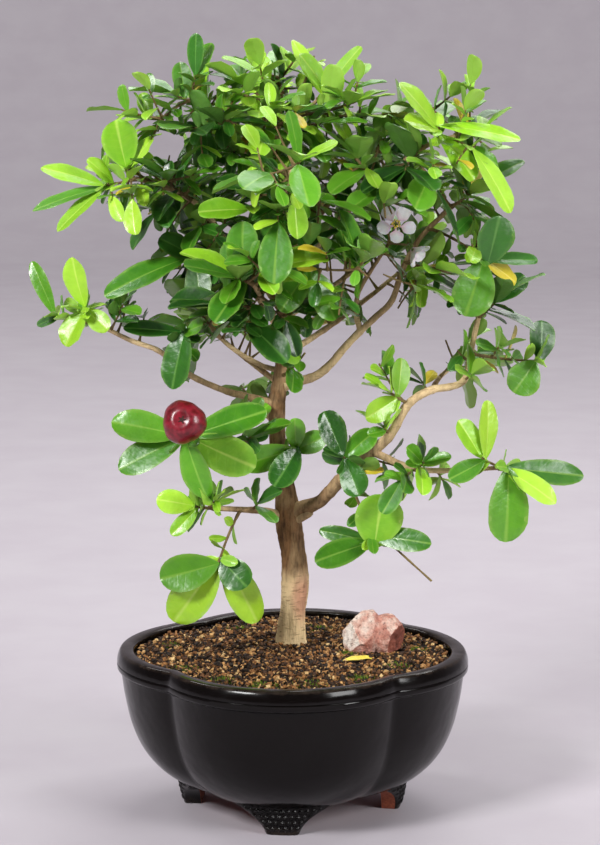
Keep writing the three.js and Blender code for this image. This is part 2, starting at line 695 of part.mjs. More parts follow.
// A blade's outline, root first, as [along, across] shares of its length and width, and the point in its
// middle that its faces fan from.
const LEAF = {
  rim: [[0, 0], [0.4, 0.43], [0.77, 0.46], [1, 0], [0.77, -0.46], [0.4, -0.43]],
  middle: [0.62, 0],
};
const PETAL = {
  rim: [[0, 0], [0.45, 0.13], [0.75, 0.5], [1, 0.26], [1, -0.26], [0.75, -0.5], [0.45, -0.13]],
  middle: [0.7, 0],
};

/** The middle surface of a blade: its rim, root first, then the point in its middle that lies lower. */
function bladePoints(shape, { root, way, face, length, width, bend, fold }) {
  const side = way.clone().cross(face);
  return [...shape.rim, shape.middle].map(([along, across]) => {
    const lift = fold * Math.abs(across) * width - bend * along * along * length;
    const level = root.clone().addScaledVector(way, along * length).addScaledVector(side, across * width);
    return level.addScaledVector(face, lift);
  });
}

/** The triangles of a blade's face, as places in its list of points: a fan from the one in its middle. */
function bladeFaces(count) {
  const middle = count - 1;
  return Array.from({ length: middle }, (_, i) => [middle, i, (i + 1) % middle]);
}

/** A blade of even thickness as a closed solid, its two faces split into triangles alike. */
function bladeSolid(shape, leaf) {
  const points = bladePoints(shape, leaf);
  const half = leaf.face.clone().multiplyScalar(BLADE_THICKNESS / 2);
  const upper = points.map((point) => point.clone().add(half));
  const lower = points.map((point) => point.clone().sub(half));
  const count = points.length;
  const faces = bladeFaces(count).flatMap(([a, b, c]) => [a, b, c, a + count, c + count, b + count]);
  for (let a = 0; a < count - 1; a++) {
    const b = (a + 1) % (count - 1);
    faces.push(a, a + count, b, b, a + count, b + count);
  }
  const geometry = new THREE.BufferGeometry();
  const places = [...upper, ...lower].flatMap((point) => point.toArray());
  geometry.setAttribute("position", new THREE.Float32BufferAttribute(places, 3));
  geometry.setIndex(faces);
  return solidOf(geometry);
}

// Room between the leaves

const CLEARANCE = 0.85; // half the room kept on each side of a blade's middle surface
const ROOT_CLEARANCE = 1.4; // the same at its neck, where the blade is as stout as the twig
const NECK = [0.05, 0.15, 0.25, 0.35]; // places along the blade where its neck is tested
const TWIG_CLEARANCE = 0.8;

/** Whether the segment from p to q passes through the triangle. */
function pierces(p, q, [a, b, c]) {
  const along = q.clone().sub(p);
  const e1 = b.clone().sub(a);
  const e2 = c.clone().sub(a);
  const h = along.clone().cross(e2);
  const det = e1.dot(h);
  if (Math.abs(det) < 1e-12) return false;
  const s = p.clone().sub(a);
  const u = s.dot(h) / det;
  if (u < 0 || u > 1) return false;
  const w = s.cross(e1);
  const v = along.dot(w) / det;
  if (v < 0 || u + v > 1) return false;
  const t = e2.dot(w) / det;
  return t >= 0 && t <= 1;
}

/** The distance between two segments, each given by its ends. */
function segmentDistance([p1, q1], [p2, q2]) {
  const d1 = q1.clone().sub(p1);
  const d2 = q2.clone().sub(p2);
  const r = p1.clone().sub(p2);
  const a = d1.dot(d1);
  const e = d2.dot(d2);
  const f = d2.dot(r);
  const c = d1.dot(r);
  const b = d1.dot(d2);
  const denom = a * e - b * b;
  const clamp = THREE.MathUtils.clamp;
  let s = denom > 1e-12 ? clamp((b * f - c * e) / denom, 0, 1) : 0;
  let t = (b * s + f) / e;
  if (t < 0) {
    t = 0;
    s = clamp(-c / a, 0, 1);
  } else if (t > 1) {
    t = 1;
    s = clamp((b - c) / a, 0, 1);
  }
  return p1.clone().addScaledVector(d1, s).distanceTo(p2.clone().addScaledVector(d2, t));
}

const ROOT_SHARE = 0.15; // how much of a leaf, from its root, may lie near the others of its spray

/** The mean of some points. */
const centroid = (points) =>
  points.reduce((sum, point) => sum.add(point), new THREE.Vector3()).divideScalar(points.length);

/** What a leaf needs for the tests of room: its triangles, edges, and a fence of short lines around it. */
function fenceOf(leaf) {
  const points = bladePoints(LEAF, leaf);
  const faces = bladeFaces(points.length).map((face) => face.map((i) => points[i]));
  const edges = faces.flatMap(([a, b, c]) => [[a, b], [b, c]]);
  const rise = leaf.face.clone().multiplyScalar(CLEARANCE);
  const stout = leaf.face.clone().multiplyScalar(ROOT_CLEARANCE);
  const neck = NECK.map((share) => leaf.root.clone().addScaledVector(leaf.way, share * leaf.length));
  const posts = [...points, ...faces.map(centroid), ...edges.map(([a, b]) => a.clone().lerp(b, 0.5))];
  const middle = points[points.length - 1];
  const shifted = (pair, by, share) => pair.map((point) => point.clone().addScaledVector(by, share));
  return {
    spray: leaf.spray,
    faces,
    edges,
    fence: [
      ...[1, 0, -1].flatMap((share) => edges.map((pair) => shifted(pair, rise, share))),
      ...posts.map((p) => [p.clone().add(rise), p.clone().sub(rise)]),
      ...neck.map((p) => [p.clone().add(stout), p.clone().sub(stout)]),
      ...[1, -1].map((share) => shifted([neck[0], neck[neck.length - 1]], stout, share)),
    ],
    middle,
    reach: Math.max(...points.map((p) => p.distanceTo(middle))) + ROOT_CLEARANCE,
  };
}

/** A leaf's fence, and that of the leaf without its root. */
function roomOf(leaf) {
  const root = leaf.root.clone().addScaledVector(leaf.way, ROOT_SHARE * leaf.length);
  return { whole: fenceOf(leaf), outer: fenceOf({ ...leaf, root, length: leaf.length * (1 - ROOT_SHARE) }) };
}

/** Whether two leaves come too close. Near their roots, leaves of one spray may. */
function leavesMeet(room, other) {
  const kin = room.whole.spray === other.whole.spray;
  const [one, two] = kin ? [room.outer, other.outer] : [room.whole, other.whole];
  if (one.middle.distanceTo(two.middle) > one.reach + two.reach) return false;
  const crosses = (a, b) => a.fence.some(([p, q]) => b.faces.some((face) => pierces(p, q, face)));
  return crosses(one, two) || crosses(two, one);
}

/** Whether a leaf comes too close to a round bar, given by its ends and radius. On its twig, its root may. */
function meetsBar(room, stick) {
  const leaf = stick.spray === room.whole.spray ? room.outer : room.whole;
  const span = stick.ends[0].distanceTo(stick.ends[1]) / 2;
  const centre = stick.ends[0].clone().lerp(stick.ends[1], 0.5);
  if (centre.distanceTo(leaf.middle) > span + leaf.reach + stick.radius + TWIG_CLEARANCE) return false;
  if (leaf.faces.some((face) => pierces(...stick.ends, face))) return true;
  const onFace = (face, point) => new THREE.Triangle(...face).closestPointToPoint(point, new THREE.Vector3());
  const nearEnd = stick.ends.some((end) =>
    leaf.faces.some((face) => onFace(face, end).distanceTo(end) < stick.radius + TWIG_CLEARANCE),
  );
  if (nearEnd) return true;
  return leaf.edges.some((edge) => segmentDistance(edge, stick.ends) < stick.radius + TWIG_CLEARANCE);
}

// Twigs and sprays

/** The smooth line through a branch's points. */
const branchCurve = ({ points }) => new THREE.CatmullRomCurve3(points.map(vec), false, "catmullrom", 0.5);

/** A twig's line from the wood to its tip: a little below the straight way, so that it rises. */
function twigCurve(start, tip) {
  const middle = start.clone().lerp(tip, 0.5);
  const sag = start.distanceTo(tip) * 0.12;
  middle.z += tip.z > start.z - 5 ? -sag * 0.5 : sag;
  return new THREE.QuadraticBezierCurve3(start, middle, tip);
}

const FORK = 0.3; // how far along the first twig the others leave it

/** The twigs of a spray: the first grows from the wood, and the others fork off it. */
function sprayTwigs(spray) {
  const [branch, along] = spray.from;
  const start = branchCurve(WOOD[branch]).getPoint(along);
  const first = twigCurve(start, vec(spray.tips[0].at));
  const forks = spray.tips.slice(1).map((tip) => twigCurve(first.getPoint(FORK), vec(tip.at)));
  return [
    { curve: first, radii: TWIG_RADII },
    ...forks.map((curve) => ({ curve, radii: FORK_RADII })),
  ];
}

/** Where the stalk of the fruit ends, in its dimple, and where a flower's ends, behind its petals. */
const fruitSeat = () => {
  const depth = FRUIT.radius * FRUIT_HEIGHT * (1 - FRUIT_DIMPLE) + GAP + 0.1;
  return vec(FRUIT.at).addScaledVector(unit(FRUIT.stalkWay), depth).toArray();
};
const flowerSeat = ({ at, facing }) => vec(at).addScaledVector(unit(facing), -FLOWER_MIDDLE - GAP).toArray();

/** The lines of a spray's bare stalks, which end under a fruit or a flower or in the air. */
const stalkEnd = (end) => {
  if (end === "fruit") return fruitSeat();
  const flower = FLOWERS.find(({ name }) => name === end);
  return flower ? flowerSeat(flower) : end;
};
const sprayStalks = (spray, twigs) =>
  (spray.stalks || []).map((end) => new THREE.LineCurve3(twigs[0].curve.getPoint(0.7), vec(stalkEnd(end))));

/** A curve as a chain of round bars, for the tests of room. */
function sticksAlong(curve, radii, steps, spray) {
  return Array.from({ length: steps }, (_, i) => ({
    ends: [curve.getPoint(i / steps), curve.getPoint((i + 1) / steps)],
    radius: THREE.MathUtils.lerp(...radii, i / steps),
    spray,
  }));
}

const CORNERS = [[1, 1], [-1, 1], [-1, -1], [1, -1]];
const SIDES = [[0, 1], [-1, 0], [0, -1], [1, 0]]; // which way each of a twig's four sides faces

/** A place on a twig: its centre, its two crosswise directions and half its thickness. */
function twigPlace({ curve, radii }, along) {
  const frame = crosswise(curve.getTangent(along));
  const half = THREE.MathUtils.lerp(...radii, along) * Math.SQRT1_2;
  return { ...frame, centre: curve.getPoint(along), half };
}

/** The four corners of a square twig at a place along it, counterclockwise round its axis. */
function twigRing(twig, along) {
  const { centre, side, other, half } = twigPlace(twig, along);
  return CORNERS.map(([x, y]) =>
    centre.clone().addScaledVector(side, x * half).addScaledVector(other, y * half),
  );
}

/** A closed skin under construction: its corners, and the triangles between them. */
class Skin {
  corners = [];
  faces = [];

  add(points) {
    return points.map((point) => this.corners.push(point) - 1);
  }

  quad(a, b, c, d) {
    this.faces.push(a, b, c, a, c, d);
  }

  /** A leaf that grows from four corners of the skin, given counterclockwise as seen from the leaf. */
  blade(loop, leaf) {
    const { way, face } = leaf;
    const side = way.clone().cross(face);
    const half = face.clone().multiplyScalar(BLADE_THICKNESS / 2);
    const points = bladePoints(LEAF, leaf).slice(1);
    const upper = this.add(points.map((point) => point.clone().add(half)));
    const lower = this.add(points.map((point) => point.clone().sub(half)));
    const [middleAbove, middleBelow] = [upper.pop(), lower.pop()];
    const feet = [[1, 1], [1, -1], [-1, -1], [-1, 1]].map(([x, y]) =>
      side.clone().multiplyScalar(x).addScaledVector(face, y),
    );
    const centre = centroid(loop.map((i) => this.corners[i]));
    const spoke = (k) => this.corners[loop[k % 4]].clone().sub(centre);
    const fit = (shift) => feet.reduce((sum, foot, k) => sum + spoke(k + shift).dot(foot), 0);
    const shift = [0, 1, 2, 3].reduce((best, k) => (fit(k) > fit(best) ? k : best));
    const [rightAbove, rightBelow, leftBelow, leftAbove] = loop.map((_, k) => loop[(k + shift) % 4]);
    const above = [rightAbove, ...upper, leftAbove];
    const below = [rightBelow, ...lower, leftBelow];
    for (let i = 1; i < above.length; i++) {
      const [a, b, c, d] = [above[i - 1], above[i], below[i - 1], below[i]];
      this.faces.push(middleAbove, a, b, middleBelow, d, c, a, c, b, b, c, d);
    }
    this.faces.push(middleAbove, leftAbove, rightAbove, middleBelow, rightBelow, leftBelow);
  }

  solid() {
    const geometry = new THREE.BufferGeometry();
    const places = this.corners.flatMap((corner) => corner.toArray());
    geometry.setAttribute("position", new THREE.Float32BufferAttribute(places, 3));
    geometry.setIndex(this.faces);
    return solidOf(geometry);
  }
}

/** A square twig in one skin with the leaves that grow from its sides and its tip. */
function leafyTwig(twig, start, grown) {
  const skin = new Skin();
  const onSides = grown.filter((leaf) => leaf.along < 1);
  const stations = [...new Set(onSides.map((leaf) => leaf.along))].sort((a, b) => a - b);
  const half = NODE_LENGTH / 2 / twig.curve.getLength();
  const places = [start, ...stations.flatMap((along) => [along - half, along + half]), 1];
  const rings = places.map((along) => skin.add(twigRing(twig, along)));
  skin.quad(...rings[0].toReversed());
  rings.slice(1).forEach((ring, k) => {
    const under = rings[k];
    const here = k % 2 === 1 ? onSides.filter((leaf) => leaf.along === stations[(k - 1) / 2]) : [];
    SIDES.forEach((_, i) => {
      const j = (i + 1) % 4;
      const loop = [under[i], under[j], ring[j], ring[i]];
      const leaf = here.find(({ side }) => side === i);
      if (leaf) skin.blade(loop, leaf);
      else skin.quad(...loop);
    });
  });
  const tip = rings[rings.length - 1];
  const last = grown.find((leaf) => leaf.along === 1);
  if (last) skin.blade(tip, last);
  else skin.quad(...tip);
  return skin.solid();
}

const SEAT_SHARE = 0.85; // where the flats of a four-sided bar lie, against its corners, and a little more

/** How far along a twig it is clear of the wood that it grows from. */
function clearStart(twig, woodSticks) {
  const touches = (corner) =>
    woodSticks.some(({ ends, radius }) => {
      const line = new THREE.Line3(...ends);
      const nearest = line.closestPointToPoint(corner, true, new THREE.Vector3());
      return nearest.distanceTo(corner) < SEAT_SHARE * radius + GAP;
    });
  let start = 0;
  while (start < FORK && twigRing(twig, start).some(touches)) start += 0.01;
  return start;
}

/** The face direction of a leaf that points along `way`: up, outwards from the crown, and to one side. */
function leafFace(way, root, lean) {
  const outwards = root.clone().sub(vec(CROWN_CENTRE)).normalize();
  const face = UP.clone().multiplyScalar(0.75).addScaledVector(outwards, 0.65).add(lean);
  face.addScaledVector(way, -face.dot(way));
  return face.lengthSq() < 1e-4 ? crosswise(way).other : face.normalize();
}

/** Where a place appears on the crown's plane when it is seen from the front, as [x, z]. */
function seenFromFront(place) {
  const eye = vec(FRONT_EYE);
  const share = (CROWN_PLANE - eye.y) / (place.y - eye.y);
  const seen = eye.clone().lerp(place, share);
  return [seen.x, seen.z];
}

// What leaves placed by rule don't hide from the front: the openings, and the flowers where they are behind.
const SIGHTS = [
  ...OPENINGS.map((opening) => ({ ...opening, depth: Infinity })),
  ...FLOWERS.map(({ at, petal }) => ({ at: seenFromFront(vec(at)), half: [petal, petal], depth: at[1] })),
];

/** Whether a leaf hides an opening or a flower: a corner of its middle surface, or a place halfway inwards. */
function hidesSight(leaf) {
  const points = bladePoints(LEAF, leaf);
  const middle = points[points.length - 1];
  return [...points, ...points.map((point) => point.clone().lerp(middle, 0.5))].some((point) => {
    const [x, z] = seenFromFront(point);
    return SIGHTS.some(({ at, half, depth }) => {
      return point.y < depth && Math.hypot((x - at[0]) / half[0], (z - at[1]) / half[1]) < 1;
    });
  });
}

const TRIES = 16; // how often a leaf is turned before it is left out
const RULED_SIZE = 1.25; // leaves placed by rule, against the length given with their spray
const PLACED_SPACING = 2.4; // between the feet of placed leaves along a twig
const RULED_BELOW_PLACED = 0.6; // on a twig with placed leaves, the others stay below this share of it
const between = (draw, low, high) => low + (high - low) * draw();

/** Where a leaf's foot is: the middle of one side of the twig, or the twig's tip. */
function footOf(twig, { along, side }) {
  const place = twigPlace(twig, along);
  if (along === 1) return place.centre;
  const [x, y] = SIDES[side];
  const across = place.side.multiplyScalar(x * place.half);
  return place.centre.add(across).addScaledVector(place.other, y * place.half);
}

/** The feet of a tip's placed leaves: one at the tip, then two by two below it, each on its best side. */
function placedFeet(twig, placed) {
  const length = twig.curve.getLength();
  const taken = new Set();
  return placed.map(([dx, dy, dz], k) => {
    if (k === 0) return { along: 1 };
    const along = 1 - (Math.ceil(k / 2) * PLACED_SPACING) / length;
    const { side, other } = twigPlace(twig, along);
    const aim = vec([dx, dy, dz]);
    const fit = (i) => {
      if (taken.has(`${along} ${i}`)) return -Infinity;
      return SIDES[i][0] * aim.dot(side) + SIDES[i][1] * aim.dot(other);
    };
    const best = [0, 1, 2, 3].reduce((one, two) => (fit(two) > fit(one) ? two : one));
    taken.add(`${along} ${best}`);
    return { along, side: best };
  });
}

/** A leaf given by the way to its tip, turned a little more each time that it finds no room. */
function* placedLeafTries(spray, twig, foot, [dx, dy, dz, width], draw) {
  const root = footOf(twig, foot);
  const aim = vec([dx, dy, dz]);
  const length = aim.length();
  for (let turn = 0; turn < TRIES; turn++) {
    const sway = 0.05 * turn;
    const way = aim.clone().normalize().add(vec([0, 0, 0].map(() => between(draw, -sway, sway)))).normalize();
    const lean = vec([between(draw, -0.25, 0.25), -0.9, 0.15]);
    const shrink = 1 - 0.015 * turn;
    yield {
      spray, ...foot, root, way, face: leafFace(way, root, lean),
      length: length * shrink, width: width * shrink,
      bend: between(draw, 0.06, 0.14), fold: between(draw, 0.1, 0.3),
    };
  }
}

/** A leaf placed by rule at a node of a twig, turned a little more each time that it finds no room. */
function* ruledLeafTries(spray, twig, node, draw) {
  const root = footOf(twig, node);
  const axis = twig.curve.getTangent(node.along);
  const { side, other } = crosswise(axis);
  const [x, y] = SIDES[node.side];
  const outwards = side.clone().multiplyScalar(x).addScaledVector(other, y);
  const sideways = axis.clone().cross(outwards);
  for (let turn = 0; turn < TRIES; turn++) {
    const wider = between(draw, -1, 1) * (0.12 + 0.04 * turn);
    const opening = THREE.MathUtils.clamp(node.opening + wider, 0.15, 1.6);
    const sway = between(draw, -1, 1) * (0.2 + 0.04 * turn);
    const way = axis.clone().multiplyScalar(Math.cos(opening)).addScaledVector(outwards, Math.sin(opening));
    way.addScaledVector(sideways, sway);
    way.z += 0.12;
    way.normalize();
    const lean = vec([0, 0, 0].map(() => between(draw, -0.3, 0.3)));
    const length = RULED_SIZE * node.length * between(draw, 0.85, 1.15) * (1 - 0.02 * turn);
    const leaf = {
      spray, along: node.along, side: node.side, root, way, face: leafFace(way, root, lean),
      length, width: length * between(draw, 0.5, 0.62),
      bend: between(draw, 0.05, 0.2), fold: between(draw, 0.1, 0.45),
    };
    if (!hidesSight(leaf)) yield leaf;
  }
}

/** The nodes of a twig: pairs of leaves, each pair square to the last, and one leaf at the tip. */
function twigNodes({ pairs, leaf }, tipNumber) {
  const nodes = [];
  const count = tipNumber ? Math.min(pairs, 1) : pairs;
  for (let pair = 0; pair < count; pair++) {
    const share = count === 1 ? 0.6 : pair / (count - 1);
    for (const half of [0, 2]) {
      nodes.push({
        along: THREE.MathUtils.lerp(0.5, 0.85, share),
        side: ((pair + tipNumber) % 2) + half,
        opening: THREE.MathUtils.lerp(1.2, 0.8, share),
        length: leaf * THREE.MathUtils.lerp(1, 0.9, share),
      });
    }
  }
  nodes.push({ along: 1, side: 0, opening: 0.2, length: leaf });
  return nodes;
}

/** All the leaves of the tree: the placed ones first, then those placed by rule, each where it has room. */
function growLeaves(sprayTwigSets, sticks) {
  const grown = [];
  const accept = (tries, twig) => {
    for (const leaf of tries) {
      const room = roomOf(leaf);
      const onWood = sticks.some((stick) => meetsBar(room, stick));
      if (!onWood && !grown.some((other) => leavesMeet(room, other.room))) {
        grown.push({ leaf, twig, room });
        return;
      }
    }
  };
  const sprays = Object.entries(SPRAYS);
  sprays.forEach(([name, { tips }], number) => {
    const draw = seededDraws(1000 + number);
    tips.forEach(({ placed = [] }, i) => {
      const twig = sprayTwigSets[name][i];
      const feet = placedFeet(twig, placed);
      placed.forEach((spec, k) => accept(placedLeafTries(name, twig, feet[k], spec, draw), twig));
    });
  });
  sprays.forEach(([name, spray], number) => {
    const draw = seededDraws(2000 + number);
    spray.tips.forEach(({ placed = [] }, i) => {
      const twig = sprayTwigSets[name][i];
      const nodes = spray.pairs ? twigNodes(spray, i) : [];
      const free = placed.length ? nodes.filter(({ along }) => along < RULED_BELOW_PLACED) : nodes;
      for (const node of free) accept(ruledLeafTries(name, twig, node, draw), twig);
    });
  });
  return grown;
}

// Fruit and flowers

/** A cherry with three soft lobes, dimpled at the stalk and at the blossom end. */
function makeFruit() {
  const { at, radius, stalkWay } = FRUIT;
  const ball = new THREE.SphereGeometry(1, 14, 9);
  reshaped(ball, (corner) => {
    const around = Math.atan2(corner.z, corner.x);
    const level = Math.hypot(corner.x, corner.z);
    const lobe = 1 + 0.035 * Math.cos(3 * around) * level;
    const dimple = 1 - FRUIT_DIMPLE * Math.exp(-9 * level * level);
    corner.set(corner.x * lobe, corner.y * FRUIT_HEIGHT * dimple, corner.z * lobe).multiplyScalar(radius);
  });
  ball.applyQuaternion(new THREE.Quaternion().setFromUnitVectors(vec([0, 1, 0]), unit(stalkWay)));
  return solidOf(ball.translate(...at));
}

/** A flower of five clawed petals round a small domed middle. */
function makeFlower({ at, facing, petal, open }) {
  const axis = unit(facing);
  const { side, other } = crosswise(axis);
  const centre = vec(at);
  const middle = solidOf(new THREE.IcosahedronGeometry(FLOWER_MIDDLE, 0).translate(...at));
  const petals = Array.from({ length: 5 }, (_, i) => {
    const around = (i / 5) * 2 * Math.PI + 0.3;
    const out = side.clone().multiplyScalar(Math.cos(around)).addScaledVector(other, Math.sin(around));
    const way = out.clone().multiplyScalar(Math.sin(open)).addScaledVector(axis, Math.cos(open)).normalize();
    const face = axis.clone().addScaledVector(way, -axis.dot(way)).normalize();
    const root = centre.clone().addScaledVector(out, 0.6);
    return bladeSolid(PETAL, { root, way, face, length: petal, width: petal * 0.72, bend: 0.02, fold: 0.25 });
  });
  return joined([middle, ...petals]);
}

/** A leaf that has dropped on the soil. */
function makeFallenLeaf() {
  const { at, heading, length, width } = FALLEN_LEAF;
  const [px, py] = treeToPot(at);
  const root = vec([...at, soilHeight(px, py) + GAP + BLADE_THICKNESS / 2 + 0.2]);
  const way = vec([Math.cos(heading), Math.sin(heading), 0]);
  return bladeSolid(LEAF, { root, way, face: UP.clone(), length, width, bend: 0, fold: 0.3 });
}

// The whole plant

const woodCurves = Object.values(WOOD).map((branch) => ({ curve: branchCurve(branch), ...branch }));
const woodSteps = (points) => points.length - 1;

const wood = joined(
  woodCurves.map(({ curve, radii, sides = 4, points }) =>
    solidOf(bar(curve, radii, sides, woodSteps(points))),
  ),
);
const woodSticks = woodCurves.flatMap(({ curve, radii, points }) =>
  sticksAlong(curve, radii, woodSteps(points), "wood"),
);

const sprayTwigSets = Object.fromEntries(
  Object.entries(SPRAYS).map(([name, spray]) => [name, sprayTwigs(spray)]),
);
const balls = [FRUIT, ...FLOWERS.map(({ at, petal }) => ({ at, radius: petal * 1.05 }))];
const sticks = [
  ...woodSticks,
  ...Object.entries(SPRAYS).flatMap(([name, spray]) => {
    const twigs = sprayTwigSets[name];
    const stalks = sprayStalks(spray, twigs);
    return [
      ...twigs.flatMap(({ curve, radii }) => sticksAlong(curve, radii, 4, name)),
      ...stalks.flatMap((stalk) => sticksAlong(stalk, STALK_RADII, 2, name)),
    ];
  }),
  ...balls.map(({ at, radius }) => ({ ends: [vec(at), vec(at).setZ(at[2] + 0.01)], radius, spray: "ball" })),
];
const leaves = growLeaves(sprayTwigSets, sticks);

const tree = new THREE.Group();
tree.rotation.z = TREE_TURN;
tree.add(meshOf("trunk_and_branches", wood, COLOURS.bark, 0.85));
for (const [name, spray] of Object.entries(SPRAYS)) {
  const twigs = sprayTwigSets[name];
  const stems = twigs.map((twig, i) => {
    const grown = leaves.filter((leaf) => leaf.twig === twig).map(({ leaf }) => leaf);
    return leafyTwig(twig, i ? 0 : clearStart(twig, woodSticks), grown);
  });
  const stalks = sprayStalks(spray, twigs).map((stalk) => solidOf(bar(stalk, STALK_RADII, 3, 1)));
  tree.add(meshOf(`spray_${name}`, joined([...stems, ...stalks]), COLOURS[spray.tone], 0.5));
}
tree.add(meshOf("fruit", makeFruit(), COLOURS.fruit, 0.3));
for (const flower of FLOWERS) tree.add(meshOf(flower.name, makeFlower(flower), COLOURS.petal, 0.6));
tree.add(meshOf("fallen_leaf", makeFallenLeaf(), COLOURS.leafLight, 0.5));
tree.add(meshOf("rock", makeRock(), COLOURS.rock, 0.8));

const trunkHole = new THREE.CylinderGeometry(1, 1, TRUNK_HOLE.height, 16).rotateX(Math.PI / 2);
const [holeX, holeY, trunkFoot] = WOOD.trunk.points[0];
const holeRadius = WOOD.trunk.radii[0] + TRUNK_HOLE.room;
trunkHole.scale(holeRadius, holeRadius, 1);
trunkHole.translate(holeX, holeY, trunkFoot + TRUNK_HOLE.height / 2 - GAP).rotateZ(TREE_TURN);

const plant = new THREE.Group();
plant.add(tree);
plant.add(meshOf("pot", makePot(), COLOURS.glaze, 0.25));
plant.add(meshOf("drain_screen", makeScreen(), COLOURS.screen, 0.6));
plant.add(meshOf("soil", makeSoil(solidOf(trunkHole)), COLOURS.soil, 0.95));
plant.updateMatrixWorld(true);
const box = new THREE.Box3().setFromObject(plant, true);
const middle = box.getCenter(new THREE.Vector3());
plant.position.set(-middle.x, -middle.y, -box.min.z);

export default plant;
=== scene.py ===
"""A Barbados cherry bonsai in a lobed, glazed pot on four feet: its looks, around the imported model.

Lengths are millimetres until a mesh is made, which is then in metres. The tree is laid out in its own frame,
as seen from its front: X to the right, Y away, and the pot's axis at X = Y = 0. Every leafy spray is grown
again by the same rule and the same seeded draws as its plain solid, so each fine leaf lies on its plain one.
"""

import logging
import math
from dataclasses import dataclass, field, replace
from enum import Enum
from functools import cache, partial
from itertools import islice, zip_longest
from typing import Callable, Iterable, Iterator, Optional, Sequence

import bpy
import numpy as np
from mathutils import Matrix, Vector, noise

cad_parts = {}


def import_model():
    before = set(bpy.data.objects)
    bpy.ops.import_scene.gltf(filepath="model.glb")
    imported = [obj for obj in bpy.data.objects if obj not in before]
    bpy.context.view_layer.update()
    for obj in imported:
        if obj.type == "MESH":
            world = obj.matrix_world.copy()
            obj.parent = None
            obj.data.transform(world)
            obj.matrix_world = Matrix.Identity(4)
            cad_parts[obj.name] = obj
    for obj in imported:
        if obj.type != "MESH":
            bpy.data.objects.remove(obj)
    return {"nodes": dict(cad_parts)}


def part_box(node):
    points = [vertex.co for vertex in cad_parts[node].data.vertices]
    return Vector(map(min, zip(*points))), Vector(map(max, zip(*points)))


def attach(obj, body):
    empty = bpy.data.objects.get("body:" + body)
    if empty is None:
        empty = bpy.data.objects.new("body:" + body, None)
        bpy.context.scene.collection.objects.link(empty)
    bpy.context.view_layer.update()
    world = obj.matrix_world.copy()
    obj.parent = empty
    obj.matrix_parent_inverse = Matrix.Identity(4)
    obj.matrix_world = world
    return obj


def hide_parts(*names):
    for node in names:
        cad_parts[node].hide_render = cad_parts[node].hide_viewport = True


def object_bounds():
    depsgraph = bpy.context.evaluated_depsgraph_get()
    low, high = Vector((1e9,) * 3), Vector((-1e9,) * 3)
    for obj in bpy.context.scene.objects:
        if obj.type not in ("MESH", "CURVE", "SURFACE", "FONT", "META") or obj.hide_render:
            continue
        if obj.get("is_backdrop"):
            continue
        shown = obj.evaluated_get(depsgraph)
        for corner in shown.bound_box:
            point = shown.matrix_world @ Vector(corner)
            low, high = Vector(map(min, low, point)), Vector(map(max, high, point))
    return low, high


LOG = logging.getLogger("bonsai")
MM = 0.001
BODY = "root"
TREE_TURN = math.radians(5)  # the tree's front against the front of the pot
UP = np.array([0.0, 0.0, 1.0])
STEEP = 0.97  # from this rise on, a direction counts as upright

# Where the rows of seeded draws start. The first two are the plain solids' own
PLACED_SEED, RULED_SEED, FILL_SEED, SPUR_SEED, SPRAY_SEED = 1000, 2000, 3000, 4000, 5000
CROWN_SEED, SMALL_TWIG_SEED = 4900, 4999
GRIT_SEED, MOSS_SEED, ROCK_SEED, SHED_LEAF_SEED, FLOWER_SEED = 61, 62, 71, 81, 90

Point = Sequence[float]
Object = bpy.types.Object
Material = bpy.types.Material
NodeTree = bpy.types.NodeTree
Socket = bpy.types.NodeSocket


def linear(hex_colour: str) -> tuple[float, float, float, float]:
    """Turns an sRGB colour into the linear one that shaders use.

    Args:
        hex_colour: Six hex digits, such as "8a7152".

    Returns:
        Red, green, blue and an alpha of 1.
    """
    shares = [int(hex_colour[i : i + 2], 16) / 255 for i in (0, 2, 4)]
    curve = [c / 12.92 if c <= 0.04045 else ((c + 0.055) / 1.055) ** 2.4 for c in shares]
    return (curve[0], curve[1], curve[2], 1.0)


def unit(v: np.ndarray) -> np.ndarray:
    """The direction of a vector."""
    return v / np.linalg.norm(v)


def lerp(a: float, b: float, t: float) -> float:
    """The value a share t of the way from a to b."""
    return (1 - t) * a + t * b


def clamp(value: float, low: float, high: float) -> float:
    """A value kept between two limits."""
    return max(low, min(high, value))


def spun(x: float, y: float, turn: float) -> tuple[float, float]:
    """A level place, or an array of them, turned about the upright axis."""
    c, s = math.cos(turn), math.sin(turn)
    return c * x - s * y, s * x + c * y


def spoke(side: np.ndarray, other: np.ndarray, angle: float) -> np.ndarray:
    """The direction at an angle from one direction towards another that is square to it."""
    return side * math.cos(angle) + other * math.sin(angle)


def ring_angles(count: int) -> np.ndarray:
    """Angles spread evenly over a full turn."""
    return np.arange(count) * 2 * math.pi / count


def ring(reach: np.ndarray, angles: np.ndarray, height: np.ndarray) -> np.ndarray:
    """Places around the upright axis, one row each, at distances and heights for their angles."""
    return np.stack(np.broadcast_arrays(reach * np.cos(angles), reach * np.sin(angles), height), axis=-1)


def tinted(first: np.ndarray) -> np.ndarray:
    """A tint for each of some corners, from its first value: the next two are 0, and the last is 1."""
    return np.stack([first, first * 0, first * 0, first * 0 + 1], axis=1)


class Draws:
    """Numbers from 0 to 1 that are the same on every run."""

    factor, step, span = 1664525, 1013904223, 2**32

    def __init__(self, seed: int) -> None:
        """Starts a row of draws at a seed."""
        self.state = seed

    def __call__(self) -> float:
        """The next number."""
        self.state = (self.state * self.factor + self.step) % self.span
        return self.state / self.span

    def between(self, low: float, high: float) -> float:
        """The next number, spread from low to high."""
        return low + (high - low) * self()

    def three(self, low: float, high: float) -> np.ndarray:
        """The next three numbers, spread from low to high."""
        return np.array([self.between(low, high) for _ in range(3)])


# Curves

